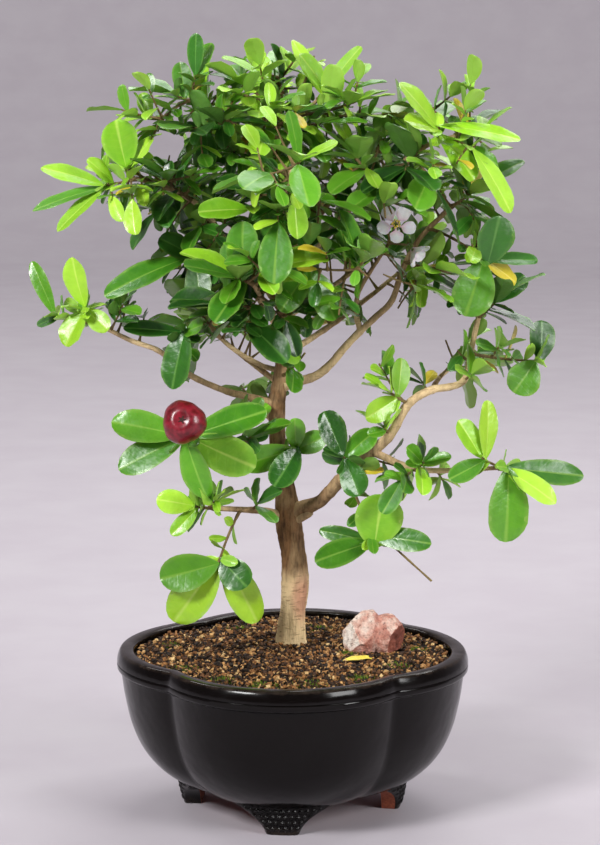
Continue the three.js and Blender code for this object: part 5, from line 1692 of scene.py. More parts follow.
@dataclass(frozen=True)
class BarkFinish(Finish):
    """Bark: lengthwise cracks, pale scraped wood with cross marks low down, brown and scaly bark above."""

    pale: str = "f2d6a4"
    brown: str = "8e6844"
    dark: str = "302115"
    scraped: str = "c98d74"
    crack_mm: float = 2.2

    def paint(self, ground: Ground) -> Paint:
        """Lays out the colour and the relief, as Finish.paint says."""
        tree, (old, raw, _, _) = ground.tree, ground.tint
        node = partial(add_node, tree)
        long = node("Mapping", {"Vector": ground.place, "Scale": (1.0, 1.0, 0.22)})
        cracks = Ground(tree, long, ()).noise(self.crack_mm, 6.0, 0.62)
        level = node("Mapping", {"Vector": ground.place, "Scale": (0.35, 0.35, 1.5)})
        marks = Ground(tree, level, ()).noise(1.6, 2.0)
        age = node("Math", {0: ground.noise(9), 1: 0.9, 2: old}, **MUL_ADD)
        age = node("Math", {0: age, 1: 0.45}, operation="SUBTRACT", use_clamp=True)
        colour = node("Mix", {0: age, 6: linear(self.pale), 7: linear(self.brown)}, **MIX)
        colour = node("Mix", {0: raw, 6: colour, 7: linear(self.scraped)}, **MIX)
        young = node("MapRange", {0: age, 1: 0.0, 2: 0.5, 3: 0.6, 4: 0.0})
        mark = node("MapRange", {0: marks, 1: 0.55, 2: 0.66})
        mark = node("Math", {0: mark, 1: young}, **MUL)
        colour = node("Mix", {0: mark, 6: colour, 7: linear(self.brown)}, **MIX)
        deep = node("MapRange", {0: cracks, 1: 0.34, 2: 0.56, 3: 0.85, 4: 0.0})
        grown = node("MapRange", {0: age, 3: 0.15, 4: 0.9})
        deep = node("Math", {0: deep, 1: grown}, **MUL)
        colour = node("Mix", {0: deep, 6: colour, 7: linear(self.dark)}, **MIX)
        return Paint(colour, cracks, 1.1)


@dataclass(frozen=True)
class GlazeFinish(Finish):
    """Fired iron-brown stoneware glaze: glossy near black; grey brown where worn thin on edges and, on the
    lip, as a painted sheen of light.
    """

    body: str = "090605"
    thin_and_sheen: str = "54463b"

    def paint(self, ground: Ground) -> Paint:
        """Lays out the colour and the relief, as Finish.paint says."""
        node, edge = partial(add_node, ground.tree), ground.tint[0]
        # The edge tint lightens the glaze where it is worn thin, and on the lip it also paints a sheen of
        # light
        worn = node("Math", {0: ground.noise(3, 5.0), 1: edge}, **MUL)
        worn = node("MapRange", {0: worn, 1: 0.14, 2: 0.75, 3: 0.0, 4: 0.8})
        colour = node("Mix", {0: worn, 6: linear(self.body), 7: linear(self.thin_and_sheen)}, **MIX)
        cloud = ground.noise(16, 2.0)
        rough = {0: cloud, 1: 0.3, 2: 0.7, 3: self.roughness - 0.05, 4: self.roughness + 0.08}
        return Paint(colour, cloud, 0.5, node("MapRange", rough))


@dataclass(frozen=True)
class SpeckledFinish(Finish):
    """A mineral, plant or plastic body with speckles of a second colour, and a fine grain."""

    body: str = "a4573a"
    speck: str = "7c3f2a"
    grain_mm: float = 1.2
    depth_mm: float = 0.3

    def paint(self, ground: Ground) -> Paint:
        """Lays out the colour and the relief, as Finish.paint says."""
        grain = ground.noise(self.grain_mm, 5.0)
        share = add_node(ground.tree, "MapRange", {0: grain, 1: 0.36, 2: 0.66})
        colour = add_node(ground.tree, "Mix", {0: share, 6: linear(self.body), 7: linear(self.speck)}, **MIX)
        return Paint(colour, grain, self.depth_mm)


@dataclass(frozen=True)
class RampFinish(Finish):
    """A body whose pieces or broken faces each have their own colour from a row, and a grain with cracks."""

    row: tuple[str, ...] = ()
    crack: str = "1a110b"
    grain_mm: float = 0.8
    cloud_share: float = 0.0  # how much the colour also drifts from place to place
    depth_mm: float = 0.25

    def paint(self, ground: Ground) -> Paint:
        """Lays out the colour and the relief, as Finish.paint says."""
        node = partial(add_node, ground.tree)
        drift = node("Math", {0: ground.noise(5, 5.0), 1: 0.5}, operation="SUBTRACT")
        hue = node("Math", {0: drift, 1: 2 * self.cloud_share, 2: ground.tint[0]}, **MUL_ADD)
        colour = node("ValToRGB", {0: hue})
        stops = colour.node.color_ramp.elements
        for i, shade in enumerate(self.row):
            at = i / (len(self.row) - 1)
            stop = stops[0] if i == 0 else stops[-1] if at == 1 else stops.new(at)
            stop.position = at
            stop.color = linear(shade)
        grain = ground.noise(self.grain_mm, 6.0, 0.65)
        value = node("MapRange", {0: grain, 1: 0.3, 2: 0.7, 3: 0.7, 4: 1.25})
        colour = node("HueSaturation", {"Value": value, "Color": colour})
        deep = node("MapRange", {0: grain, 1: 0.32, 2: 0.43, 3: 0.8, 4: 0.0})
        colour = node("Mix", {0: deep, 6: colour, 7: linear(self.crack)}, **MIX)
        return Paint(colour, grain, self.depth_mm)


@dataclass(frozen=True)
class PetalFinish(Finish):
    """Fresh petal: thin and velvety, pinkish white, pinker towards the claw and the crinkled edge."""

    white: str = "fff8fc"
    pink: str = "e6b0cc"

    def paint(self, ground: Ground) -> Paint:
        """Lays out the colour and the relief, as Finish.paint says."""
        shades = {0: ground.tint[0], 6: linear(self.white), 7: linear(self.pink)}
        return Paint(add_node(ground.tree, "Mix", shades, **MIX), ground.noise(1.0, 2.0), 0.2)


def leaf_finish(name: str, shades: str, roughness: float) -> LeafFinish:
    """A leaf's finish from its colours: deep, bright, below and vein."""
    deep, bright, below, vein = shades.split()
    return LeafFinish(name, roughness, 0.5, 0.12, 0.08, deep, bright, below, vein)


# A waxy skin over living leaf: clear greens with soft highlights, the younger the lighter and the duller. The
# dark green also stands for painted shade inside the crown, and the light green for painted light on its
# outside
LEAF_FINISHES = {
    Tone.DARK: leaf_finish("mature leaf and painted shade, waxy", "123a0c 3a7a1e 5f8c3c 6fa048", 0.3),
    Tone.MID: leaf_finish("grown leaf, waxy", "2c6a10 67a824 7fa846 98c050", 0.32),
    Tone.LIGHT: leaf_finish("young leaf and painted light, soft", "6aa818 aedc34 9cc850 cfe670", 0.36),
}
# A leaf that is no longer green: plain yellow, and nearly matt
YELLOWED_FINISH = leaf_finish("shed leaf, yellowing", "b8a81e e4cc34 c0b050 efe080", 0.45)
# Dry and cracked: matt, pale low down, and brown with dark cracks above
BARK_FINISH = BarkFinish("bark, cracked", 0.82, 0.3)
# Thin bark, still whole: greenish brown, and smoother
TWIG_FINISH = BarkFinish(
    "young bark, smooth", 0.7, 0.3, pale="8d7a4c", brown="6b5436", dark="3d2c1c", crack_mm=1.4
)
# A glassy coat over dark clay: sharp reflections on near black, grey brown where it is thin, and a painted
# sheen of light along the lip
GLAZE_FINISH = GlazeFinish("stoneware glaze, iron brown", 0.15, 0.22)
# Bare clay as it left the kiln: matt and reddish brown
CLAY_FINISH = SpeckledFinish("fired clay, unglazed", 0.85)
# Damp and crumbly: nearly black between the chips
LOAM_FINISH = SpeckledFinish(
    "potting loam, damp", 0.9, 0.3, body="0e0906", speck="2a1a0f", grain_mm=2.0, depth_mm=0.8
)
# Chips of baked clay and bark: each has its own dull brown
GRIT_FINISH = RampFinish(
    "bark and clay grit, chipped", 0.72, 0.4,
    row=("180e07", "34200f", "543419", "7a4e26", "9c6c3a", "be9058", "d8b67e"),
)
# Fine living spikes: a soft, matt green
MOSS_FINISH = SpeckledFinish(
    "moss, living", 0.9, 0.2, body="3a5714", speck="758f2c", grain_mm=0.9, depth_mm=0.5
)
# Broken crystal with stains: pale, pink and brown faces, each a little cloudy; the stone also gives its faces
# painted light and shade by the way they turn
ROCK_FINISH = RampFinish(
    "quartz rock, broken", 0.6, 0.4, row=("efe2d6", "e2c2b2", "c98f7e", "a8624f", "7d4436"), crack="5c3029",
    grain_mm=1.8, cloud_share=0.6, depth_mm=1.2,
)
# A taut skin over juice: deep, glossy red, with light just below its surface
SKIN_FINISH = SpeckledFinish(
    "cherry skin, ripe", 0.3, 0.5, 0.15, 0.1, body="560811", speck="8c1c2c", grain_mm=3.2, depth_mm=0.15
)
# Thin and velvety: nearly white, and light passes into it
PETAL_FINISH = PetalFinish("petal, fresh", 0.6, 0.3, 0.0, 0.3)
# Powder on small sacs: a dull, clear yellow
POLLEN_FINISH = SpeckledFinish(
    "anther, ripe pollen", 0.7, body="f0da62", speck="d8b23c", grain_mm=0.5, depth_mm=0.1
)
# Living sepals and threads: a matt, greyish green
CALYX_FINISH = SpeckledFinish(
    "calyx, living", 0.55, body="7f9a4a", speck="5f7434", grain_mm=0.9, depth_mm=0.1
)
# Dried to small scales: dull, dark brown
SCAR_FINISH = SpeckledFinish(
    "dried calyx, brown", 0.8, body="3c2418", speck="24140e", grain_mm=0.6, depth_mm=0.2
)
# Moulded mesh: dark and evenly satin
SCREEN_FINISH = SpeckledFinish(
    "polyethylene, moulded", 0.5, body="16181a", speck="202326", grain_mm=0.8, depth_mm=0.05
)
# Uncoated paper: pale grey, even and matt
BACKDROP_FINISH = SpeckledFinish(
    "paper sheet, matt", 0.9, 0.2, body="b4adb4", speck="b8b2b8", grain_mm=60, depth_mm=0.0
)


# Pieces


@cache
def finished(finish: Finish) -> Material:
    """The material of a finish, made once."""
    return finish.material()


def hand_over(piece: Object, slot: str, *nodes: str) -> None:
    """Hands a piece to the frame and reports it.

    Args:
        piece: The piece.
        slot: Not used.
        *nodes: The plain nodes that it stands for.
    """
    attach(piece, BODY)
    if nodes:
        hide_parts(*nodes)
    LOG.info("%s: %d triangles", piece.name, sum(len(face.vertices) - 2 for face in piece.data.polygons))


def smoothstep(value: np.ndarray, low: float, high: float) -> np.ndarray:
    """A soft step from 0 below one value to 1 above another."""
    t = np.clip((np.asarray(value, float) - low) / (high - low), 0, 1)
    return t * t * (3 - 2 * t)


@dataclass(frozen=True)
class BladeNet:
    """The net that all blades of a kind share: rows as shares of the length, columns of the half width."""

    rows: tuple[float, ...]
    columns: tuple[float, ...]

    def faces(self) -> list[np.ndarray]:
        """Its faces: above, below, at the tip above and below, and the foot. The faces share the rim.

        Returns:
            Five arrays, each with one face to a row.
        """
        rows, columns = len(self.rows), len(self.columns)
        above = np.arange(rows * columns).reshape(rows, columns)
        below = above.copy()
        tip = rows * columns
        below[:, 1:-1] = tip + 1 + np.arange(rows * (columns - 2)).reshape(rows, columns - 2)
        net = sheet_faces(rows, columns)
        tips = np.full(columns - 1, tip)
        ends = [np.stack([side[-1, :-1], side[-1, 1:], tips], axis=1) for side in (above, below)]
        foot = np.concatenate([above[0, ::-1], below[0, 1:-1]])[None]
        return [net, below.ravel()[net][:, ::-1], ends[0], ends[1][:, ::-1], foot]

    def add(
        self,
        surface: Surface,
        grid: np.ndarray,
        tip: np.ndarray,
        rise: np.ndarray,
        shades: np.ndarray | Point,
        kind: int,
    ) -> None:
        """Adds one blade.

        Args:
            surface: The mesh that it is added to.
            grid: The middle of its thickness at each row and column.
            tip: The place of its tip.
            rise: From there to the upper face and to the lower one, at each row and column.
            shades: Its tint: three values from 0 to 1, the same all over or for each row and column.
            kind: Which finish it has.
        """
        rows, columns = grid.shape[:2]
        above, below = grid + rise[0], (grid + rise[1])[:, 1:-1]
        above[:, [0, -1]] = grid[:, [0, -1]]
        places = np.vstack([above.reshape(-1, 3), tip[None], below.reshape(-1, 3)])
        share, across = np.meshgrid(self.rows, self.columns, indexing="ij")
        spread = np.sqrt(np.clip(1 - share, 0, 1)) * 0.5
        chart = np.stack([0.5 + across * spread, share], axis=2)
        charts = np.vstack([chart.reshape(-1, 2), [[0.5, 1.0]], chart[:, 1:-1].reshape(-1, 2)])
        side = np.ones((rows, columns))
        side[:, [0, -1]] = 0.5
        shade = np.broadcast_to(np.asarray(shades, float), (rows, columns, 3))
        tint = np.concatenate([shade, side[..., None]], axis=2)
        under = tint[:, 1:-1].copy()
        under[..., 3] = 0
        end = np.append(tint[-1, columns // 2, :3], 0.5)
        tints = np.vstack([tint.reshape(-1, 4), end[None], under.reshape(-1, 4)])
        surface.add(places, self.faces(), kind, charts, tints)


LEAF_NET = BladeNet(
    (0.0, 0.035, 0.075, 0.13, 0.21, 0.31, 0.42, 0.53, 0.64, 0.75, 0.85, 0.93, 0.98),
    (-1, -0.74, -0.42, -0.1, 0, 0.1, 0.42, 0.74, 1),
)
SMALL_LEAF_NET = BladeNet((0.0, 0.09, 0.24, 0.42, 0.6, 0.77, 0.91, 0.98), (-1, -0.5, 0, 0.5, 1))
PETAL_NET = BladeNet(
    (0.0, 0.12, 0.25, 0.36, 0.45, 0.54, 0.63, 0.72, 0.8, 0.87, 0.93, 0.98),
    (-1, -0.86, -0.7, -0.52, -0.34, -0.17, 0, 0.17, 0.34, 0.52, 0.7, 0.86, 1),
)
LEAF_MIDDLE = 0.2  # half the thickness of a leaf beside its rib, in millimetres
PETIOLE = 0.42  # half the thickness of its stalk
FOOT_SUNK = 0.6  # how far its foot lies inside the twig
LEAF_FULLNESS = 1.19  # brings its outline to half its width where it is widest
MARGIN_WAVE = 0.045  # how high its margin waves, as a share of its width
MARGIN_WAVES = (1.5, 3.2)  # how many waves the margin has
FOLD_SOFTNESS, FOLD_LIFT = 0.004, 0.063  # how softly it folds at its rib, and how much that lifts the rib
RIB_WIDTH, RIB_SUNK, RIB_RAISED = 0.5, 0.16, 0.28  # its midrib is sunk above and raised below
LEAF_TWIST = 0.05  # how far it twists and curls at most, as a share of its size


def add_leaf(surface: Surface, leaf: Leaf, net: BladeNet, draw: Draws, shades: Point, kind: int = 0) -> None:
    """Adds a leaf with its rib, its waved margin and its short stalk.

    Args:
        surface: The mesh that it is added to.
        leaf: Where it grows and its shape.
        net: The net that it is drawn on.
        draw: The seeded draws.
        shades: Its tint.
        kind: Which finish it has.
    """
    u = np.array(net.rows)[:, None]
    s = np.array(net.columns)[None, :]
    share = LEAF_FULLNESS * u**0.8 * (1 - u) ** 0.5
    half = np.maximum(share * leaf.width, PETIOLE)
    across = s * half
    shown = np.abs(across) / leaf.width
    folded = leaf.fold * (np.sqrt(shown**2 + FOLD_SOFTNESS) - FOLD_LIFT) * leaf.width
    lift = folded - leaf.bend * u * u * leaf.length
    waves, phase = draw.between(*MARGIN_WAVES), draw.between(0, 6.28)
    turns = 2 * math.pi * waves * u + phase + 1.3 * np.sign(s)
    lift = lift + MARGIN_WAVE * leaf.width * np.abs(s) ** 3 * np.sin(turns) * u
    lift = lift + draw.between(-LEAF_TWIST, LEAF_TWIST) * leaf.width * s * u
    curl = draw.between(-LEAF_TWIST, LEAF_TWIST) * leaf.length * u * u
    side = np.cross(leaf.way, leaf.face)
    along = u * leaf.length - FOOT_SUNK * (1 - u)
    grid = (
        leaf.root
        + along[..., None] * leaf.way
        + (across + curl)[..., None] * side
        + np.broadcast_to(lift, across.shape)[..., None] * leaf.face
    )
    stout = 1 - smoothstep(u, 0.03, 0.12)
    body = (LEAF_MIDDLE + (PETIOLE - LEAF_MIDDLE) * stout) * np.sqrt(np.clip(1 - s * s, 0, 1))
    rib = np.exp(-((across / RIB_WIDTH) ** 2)) * (1 - 0.7 * u) * (1 - stout)
    rise = np.stack([body - RIB_SUNK * rib, -body - RIB_RAISED * rib])[..., None] * leaf.face
    low = leaf.bend * leaf.length
    tip = leaf.root + leaf.way * leaf.length + side * curl[-1] - leaf.face * low
    net.add(surface, grid, tip, rise, shades, kind)


TONES = (Tone.DARK, Tone.MID, Tone.LIGHT)
NEIGHBOURS = {Tone.DARK: (1, 0), Tone.MID: (0, 2), Tone.LIGHT: (1, 2)}  # a tone's second and third green
TWIG_KIND, YELLOWED_KIND = 3, 4
GREENS = {"d": 0, "m": 1, "l": 2, "y": YELLOWED_KIND}
GREEN_DRAWS = (0.03, 0.2, 0.36)  # a lower draw makes a leaf yellowed, or of its tone's second or third green
# The darker greens deep in the crown and the lighter ones at its outside are painted shade and painted light
TONE_EDGES = (0.55, 0.85)  # how far out in the crown the dark and the mid green end
FINE_LENGTH = 15.0  # leaves longer than this have the fine net
CROWN_SIZE = np.array([115.0, 85.0, 135.0])  # half the crown's width, depth and height


@dataclass
class Foliage:
    """The leafy sprays and the small twigs between them: fine leaves and round twigs."""

    growth: Growth

    def build(self) -> None:
        """Makes a piece for each spray, and one for the small twigs of each quarter of the crown."""
        finishes = (*(LEAF_FINISHES[tone] for tone in TONES), TWIG_FINISH, YELLOWED_FINISH)
        leaves: dict[str, list[Leaf]] = {}
        for leaf in self.growth.leaves:
            leaves.setdefault(leaf.spray, []).append(leaf)
        for number, (name, spray) in enumerate(SPRAYS.items()):
            surface, draw = Surface(), Draws(SPRAY_SEED + number)
            for i, twig in enumerate(self.growth.twigs[name]):
                self.add_twig(surface, twig, draw, (0.6, 0.45) if i else (0.82, 0.52))
            for stalk in self.growth.stalks[name]:
                self.add_twig(surface, Twig(stalk, STALK_RADII), draw, (0.6, 0.5))
            self.add_leaves(surface, leaves.get(name, []), draw, spray.tone)
            piece = surface.make(f"leafy_spray_{name}", finishes, turn=TREE_TURN, crease=50)
            hand_over(piece, spray.tone.value, f"spray_{name}")
        quarters = {f"{depth}_{side}": Surface() for depth in ("front", "rear") for side in ("left", "right")}
        draw = Draws(SMALL_TWIG_SEED)
        for name, twig in self.growth.spurs.items():
            tip = twig.curve.point(1)
            depth = "front" if tip[1] < CROWN_CENTRE[1] else "rear"
            surface = quarters[f"{depth}_{'left' if tip[0] < 0 else 'right'}"]
            self.add_twig(surface, twig, draw, (0.6, 0.42), 5, 5)
            self.add_leaves(surface, leaves[name], draw, self.tone_at(tip, draw))
        for quarter, surface in quarters.items():
            piece = surface.make(f"small_twigs_{quarter}", finishes, turn=TREE_TURN, crease=50)
            hand_over(piece, Tone.MID.value)

    def tone_at(self, place: np.ndarray, draw: Draws) -> Tone:
        """The green of a small twig: dark deep in the crown as painted shade, and light at its outside as
        painted light.
        """
        out = float(np.linalg.norm((place - CROWN_CENTRE) / CROWN_SIZE)) + draw.between(-0.25, 0.25)
        return TONES[int(np.searchsorted(TONE_EDGES, out, side="right"))]

    def add_leaves(self, surface: Surface, leaves: list[Leaf], draw: Draws, tone: Tone) -> None:
        """Adds leaves, each with its own shade of its own green.

        Args:
            surface: The mesh that it is added to.
            leaves: The leaves.
            draw: The seeded draws.
            tone: The green that most of them have.
        """
        for leaf in leaves:
            shades = (draw.between(0.1, 0.9), draw.between(0.15, 0.9), draw.between(0, 1))
            kinds = (YELLOWED_KIND, *NEIGHBOURS[tone], TONES.index(tone))
            drawn = kinds[int(np.searchsorted(GREEN_DRAWS, draw(), side="right"))]
            net = LEAF_NET if leaf.length > FINE_LENGTH else SMALL_LEAF_NET
            add_leaf(surface, leaf, net, draw, shades, GREENS.get(leaf.green, drawn))

    def add_twig(
        self, surface: Surface, twig: Twig, draw: Draws, radii: Point, sides: int = 7, steps: int = 12
    ) -> None:
        """Adds a twig that is stouter where it leaves the wood, with small rings along it.

        Args:
            surface: The mesh that it is added to.
            twig: The twig.
            draw: The seeded draws.
            radii: Its radius at both ends.
            sides: How many corners go round it.
            steps: How many lengths it is made of.
        """
        shares = np.linspace(0, 1, steps + 1)
        length = twig.curve.length()
        centres = twig.curve.chain(shares)
        flare = 1 + 0.7 * np.exp(-shares * length / 2.5)
        rings = 1 + 0.12 * np.sin(shares * length * 1.3 + draw.between(0, 6))
        thick = np.interp(shares, [0, 1], radii) * flare * rings
        tube(surface, centres, thick, sides, TWIG_KIND, np.array([draw.between(0.2, 0.7), 0, 0, 1]))


@dataclass
class Wood:
    """The trunk and its branches."""

    growth: Growth
    # The trunk's radius at some heights: it swells at the soil and at the old wound above
    trunk_heights: tuple[float, ...] = (58, 74, 82, 92, 106, 120, 134, 143, 152, 176, 217, 270, 343)
    trunk_radii: tuple[float, ...] = (7.2, 7.0, 6.6, 6.2, 6.9, 6.5, 6.3, 5.7, 5.0, 4.1, 3.5, 2.4, 1.1)
    # How high its ridges, lumps, small bumps and root starts are, and how deep its wounds, as radii
    ridges: float = 0.035
    lumps: float = 0.14
    bumps: float = 0.06
    roots: float = 0.05
    wound_depth: float = 0.09
    # The scraped patch and the dark strip: the middle, across and up, and half the width and the height
    scraped: Point = (5.0, 99.0, 5.5, 12.0)
    peeled: Point = (-4.0, 128.0, 2.6, 12.0)

    def build(self) -> None:
        """Makes the piece."""
        surface = Surface()
        for number, (name, branch) in enumerate(BRANCHES.items()):
            curve = self.growth.wood[name]
            if name == "trunk":
                self.add_trunk(surface, curve)
            else:
                self.add_branch(surface, curve, branch.radii, number)
        self.add_stub(surface)
        piece = surface.make("bark_and_wood", [BARK_FINISH], turn=TREE_TURN, crease=70)
        hand_over(piece, "bark", "trunk_and_branches")

    def add_trunk(self, surface: Surface, curve: Curve) -> None:
        """Adds the trunk, with ridges along it, lumps and the start of its roots.

        Args:
            surface: The mesh that it is added to.
            curve: The trunk's line.
        """
        steps = int(curve.length() / 1.2)
        shares = np.linspace(0, 1, steps + 1)
        centres = curve.chain(shares)
        radii = np.interp(centres[:, 2], self.trunk_heights, self.trunk_radii)

        def relief(angle: float, gone: float, place: np.ndarray) -> float:
            """Ridges that wander round the trunk, lumps, root starts near the soil and the two wounds.

            Args:
                angle: The angle around the line.
                gone: The length along it so far; not used.
                place: The place on the plain round stem.

            Returns:
                What the radius is multiplied by.
            """
            z = place[2]
            ridge = self.ridges * math.sin(7 * angle + 0.05 * z + 1.5 * math.sin(z / 17))
            lump = self.lumps * noise.noise(Vector((place[0] * 0.1, place[1] * 0.1, z * 0.06)))
            fine = self.bumps * noise.noise(Vector((angle * 3.5, z * 0.35, 2.0)))
            root = self.roots * (1 + math.cos(4 * angle + 0.6)) * math.exp(-max(0.0, z - 74) / 4.5)
            return 1 + ridge + lump + fine + root - self.wound_depth * sum(self.wounds(place))

        age = np.interp(centres[:, 2], [74, 102, 114, 145, 200], [-0.1, 0.0, 0.75, 0.9, 0.85])
        tube(surface, centres, radii, sides=44, tint=tinted(age), relief=relief)
        self.paint_wounds(surface)

    def wounds(self, place: np.ndarray) -> tuple[float, float]:
        """How much a place on the trunk belongs to the scraped patch and to the dark strip.

        Args:
            place: The place.

        Returns:
            The two shares.
        """
        shares = []
        for across, height, wide, tall in (self.scraped, self.peeled):
            far = ((place[0] - across) / wide) ** 2 + ((place[2] - height) / tall) ** 2
            shares.append(math.exp(-far * far) if place[1] < 15 else 0.0)
        return shares[0], shares[1]

    def paint_wounds(self, surface: Surface) -> None:
        """Tints the corners of the trunk that lie in the wounds: pinkish in the patch, dark in the strip.

        Args:
            surface: The wood's mesh, with the trunk as its last shell.
        """
        tints = surface.tints[-1].copy()
        for i, place in enumerate(surface.places[-1]):
            raw, dark = self.wounds(place)
            tints[i, 0] = clamp(tints[i, 0] - 0.6 * raw + 0.9 * dark, -0.4, 1.6)
            tints[i, 1] = 0.8 * raw
        surface.tints[-1] = tints

    def add_branch(self, surface: Surface, curve: Curve, radii: tuple[float, float], number: int) -> None:
        """Adds a branch with a collar where it leaves its parent, and small lumps.

        Args:
            surface: The mesh that it is added to.
            curve: The branch's line.
            radii: Its radius at both ends.
            number: Its number in the tree's list, which varies its lumps.
        """
        length = curve.length()
        shares = np.linspace(0, 1, int(length / 1.6) + 2)
        centres = curve.chain(shares)
        collar = 1 + 0.55 * np.exp(-shares * length / (1.5 * radii[0]))
        thick = np.interp(shares, [0, 1], radii) * collar

        def relief(angle: float, gone: float, place: np.ndarray) -> float:
            """Lumps, and rings where leaves once grew.

            Args:
                angle: The angle around the line.
                gone: The length along it so far.
                place: The place on the plain round stem; not used.

            Returns:
                What the radius is multiplied by.
            """
            lump = 0.16 * noise.noise(Vector((angle * 0.9, gone * 0.22, number * 3.7)))
            swell = 0.09 * max(0.0, math.sin(gone * 0.75 + number)) ** 6
            return 1 + lump + swell

        age = 0.45 + 0.25 * np.sin(shares * 5 + number)
        tube(surface, centres, thick, sides=14, tint=tinted(age), relief=relief)

    def add_stub(self, surface: Surface) -> None:
        """Adds the stub of a branch that was cut off, right of the trunk.

        Args:
            surface: The mesh that it is added to.
        """
        line = Straight(np.array([0.0, 14.0, 137.0]), np.array([9.0, 9.0, 142.5]))
        shares = np.linspace(0, 1, 9)
        centres = line.chain(shares)
        radii = 3.0 * (1 - 0.25 * shares) * np.where(shares > 0.95, 0.8, 1)
        tube(surface, centres, radii, sides=16, tint=tinted(shares * 0 + 0.3))


BAND_CREASE = 1.5  # how far below the band the wall of the pot ends


@dataclass
class Pot:
    """The lobed bowl with its band, its lip and its four feet."""

    radius: float = 85
    height: float = 77.5
    lobes: int = 4
    lobe_arc: float = 0.72
    rim_width: float = 7.5
    band: float = 9.5
    step: float = 2
    lip_overhang: float = 0.8
    wall: float = 5.5
    base_radius: float = 38
    base_height: float = 10.5
    belly: tuple = ((51.5, 12.5), (63, 18.5), (72, 28), (77.8, 40), (81.2, 54))  # radii and heights
    foot_radius: float = 54  # of a foot's outer face at the ground,
    foot_reach: float = 57  # and where it runs into the wall
    foot_depth: float = 10
    foot_top: float = 54
    foot_sole: float = 16
    foot_net: tuple[int, int] = (38, 121)  # corners up its face, and across it
    bead: float = 3.0  # from one bead of a foot's relief to the next
    bead_height: float = 1.0
    scroll_height: float = 0.3
    drain: float = 6
    segments: int = 192

    def lobed(self, angle: float) -> float:
        """The outline's distance from the axis at an angle, as a share of its greatest.

        Args:
            angle: The angle, in radians.

        Returns:
            The share.
        """
        step = 2 * math.pi / self.lobes
        f = angle - step * round(angle / step)
        centre = 1 - self.lobe_arc
        return centre * math.cos(f) + math.sqrt(self.lobe_arc**2 - (centre * math.sin(f)) ** 2)

    @property
    def band_foot(self) -> float:
        """The height of the band's lower edge."""
        return self.height - self.band

    @property
    def floor(self) -> float:
        """The height of the floor inside."""
        return self.base_height + self.wall

    @property
    def foot_height(self) -> float:
        """How high a foot reaches up the wall."""
        return self.floor - 0.6

    def wall_points(self) -> list[tuple[float, float]]:
        """Radii and heights of the wall's outside, from the flat underside to the band."""
        shoulder = (self.radius - self.step, self.band_foot - BAND_CREASE)
        return [(self.base_radius, self.base_height), *self.belly, shoulder]

    def inside(self) -> list[tuple[float, float]]:
        """Radii and heights of the wall's inside, from the band down to the floor.

        Returns:
            The points.
        """
        radii, heights = zip(*self.wall_points())
        levels = (self.band_foot - BAND_CREASE, 42, 30, self.floor)
        return [(float(np.interp(z, heights, radii)) - self.wall, z) for z in levels]

    def profile(self) -> tuple[np.ndarray, int, int]:
        """The outline from the drain hole out, up and back, and where on it the glaze starts and ends.

        Returns:
            Its radii and heights, one point to a row, and the rows where the glaze starts and has ended.
        """
        r, top, foot = self.radius, self.height, self.band_foot
        curve = Through(self.wall_points())
        outer = curve.chain(np.linspace(0, 1, 30))
        band = [(r - 1.9, foot - 0.9), (r - 1.2, foot - 0.35), (r - 0.5, foot), (r - 0.1, foot + 0.6)]
        band += [(r, foot + 1.5), (r, foot + 2.6), (r - 0.35, foot + 3.0), (r, foot + 3.4)]
        band += [(r - 1.5 * ((z - 3.4) / 5.5) ** 2, foot + z) for z in (4.4, 5.4, 6.4, 7.2, 8.0, 8.6)]
        edge = r - self.rim_width
        lip = [(r - 1.8, top - 0.35), (r - 2.4, top), (edge + 1, top), (edge, top - 0.25)]
        lip += [(edge - 0.6, top - 0.8), (edge - self.lip_overhang, top - 1.6)]
        start = [(self.drain, self.base_height)]
        points = start + [tuple(p) for p in outer] + band + lip + self.inside() + [(self.drain, self.floor)]
        glaze_start = 1 + int(np.argmax(outer[:, 1] > self.base_height + 1.2))
        glaze_end = len(start) + len(outer) + len(band) + len(lip)
        return np.array(points), glaze_start, glaze_end

    def build(self) -> None:
        """Makes the piece."""
        surface = Surface()
        self.add_bowl(surface)
        for turn in ring_angles(self.lobes):
            self.add_foot(surface, turn)
        piece = surface.make("glazed_pot", [GLAZE_FINISH, CLAY_FINISH], turn=0, crease=40)
        hand_over(piece, "glaze", "pot")

    def add_bowl(self, surface: Surface) -> None:
        """Adds the bowl, turned from its outline and pressed to its lobes.

        Args:
            surface: The mesh that it is added to.
        """
        points, glaze_start, glaze_end = self.profile()
        angles = ring_angles(self.segments)
        press = np.array([self.lobed(a) for a in angles])
        share = smoothstep(points[:, 0], self.drain, self.base_radius * 0.8)[:, None]
        reach = points[:, :1] * (1 + (press[None] - 1) * share)
        places = ring(reach, angles, points[:, 1:])
        faces = sheet_faces(len(points) + 1, self.segments, True) % (len(points) * self.segments)
        rows = np.repeat(np.arange(len(points)), self.segments)
        glazed = (rows >= glaze_start) & (rows < glaze_end)
        # Lighter glaze towards the lip: partly glaze worn thin, partly a painted sheen of light on the lip's
        # top
        levels = [self.band_foot - 2, self.band_foot, self.height - 2, self.height - 0.5, self.height]
        edge = np.interp(points[:, 1], levels, [0, 0.1, 0.15, 0.6, 0.5])
        edge = np.where(np.arange(len(points)) >= glaze_start, edge, 0)
        tints = np.repeat(tinted(edge), self.segments, axis=0)
        surface.add(places.reshape(-1, 3), [faces[glazed], faces[~glazed]], [0, 1], None, tints)

    def foot_half_width(self, height: np.ndarray) -> np.ndarray:
        """Half a foot's width at some heights, from its sole to where it meets the wall.

        Args:
            height: The heights.

        Returns:
            The half widths.
        """
        share = np.clip(height / self.foot_height, 0, 1)
        sole, spread = self.foot_sole / 2, self.foot_top / 2
        return sole + 3.2 * share + (spread - sole - 3.2) * share**2.2

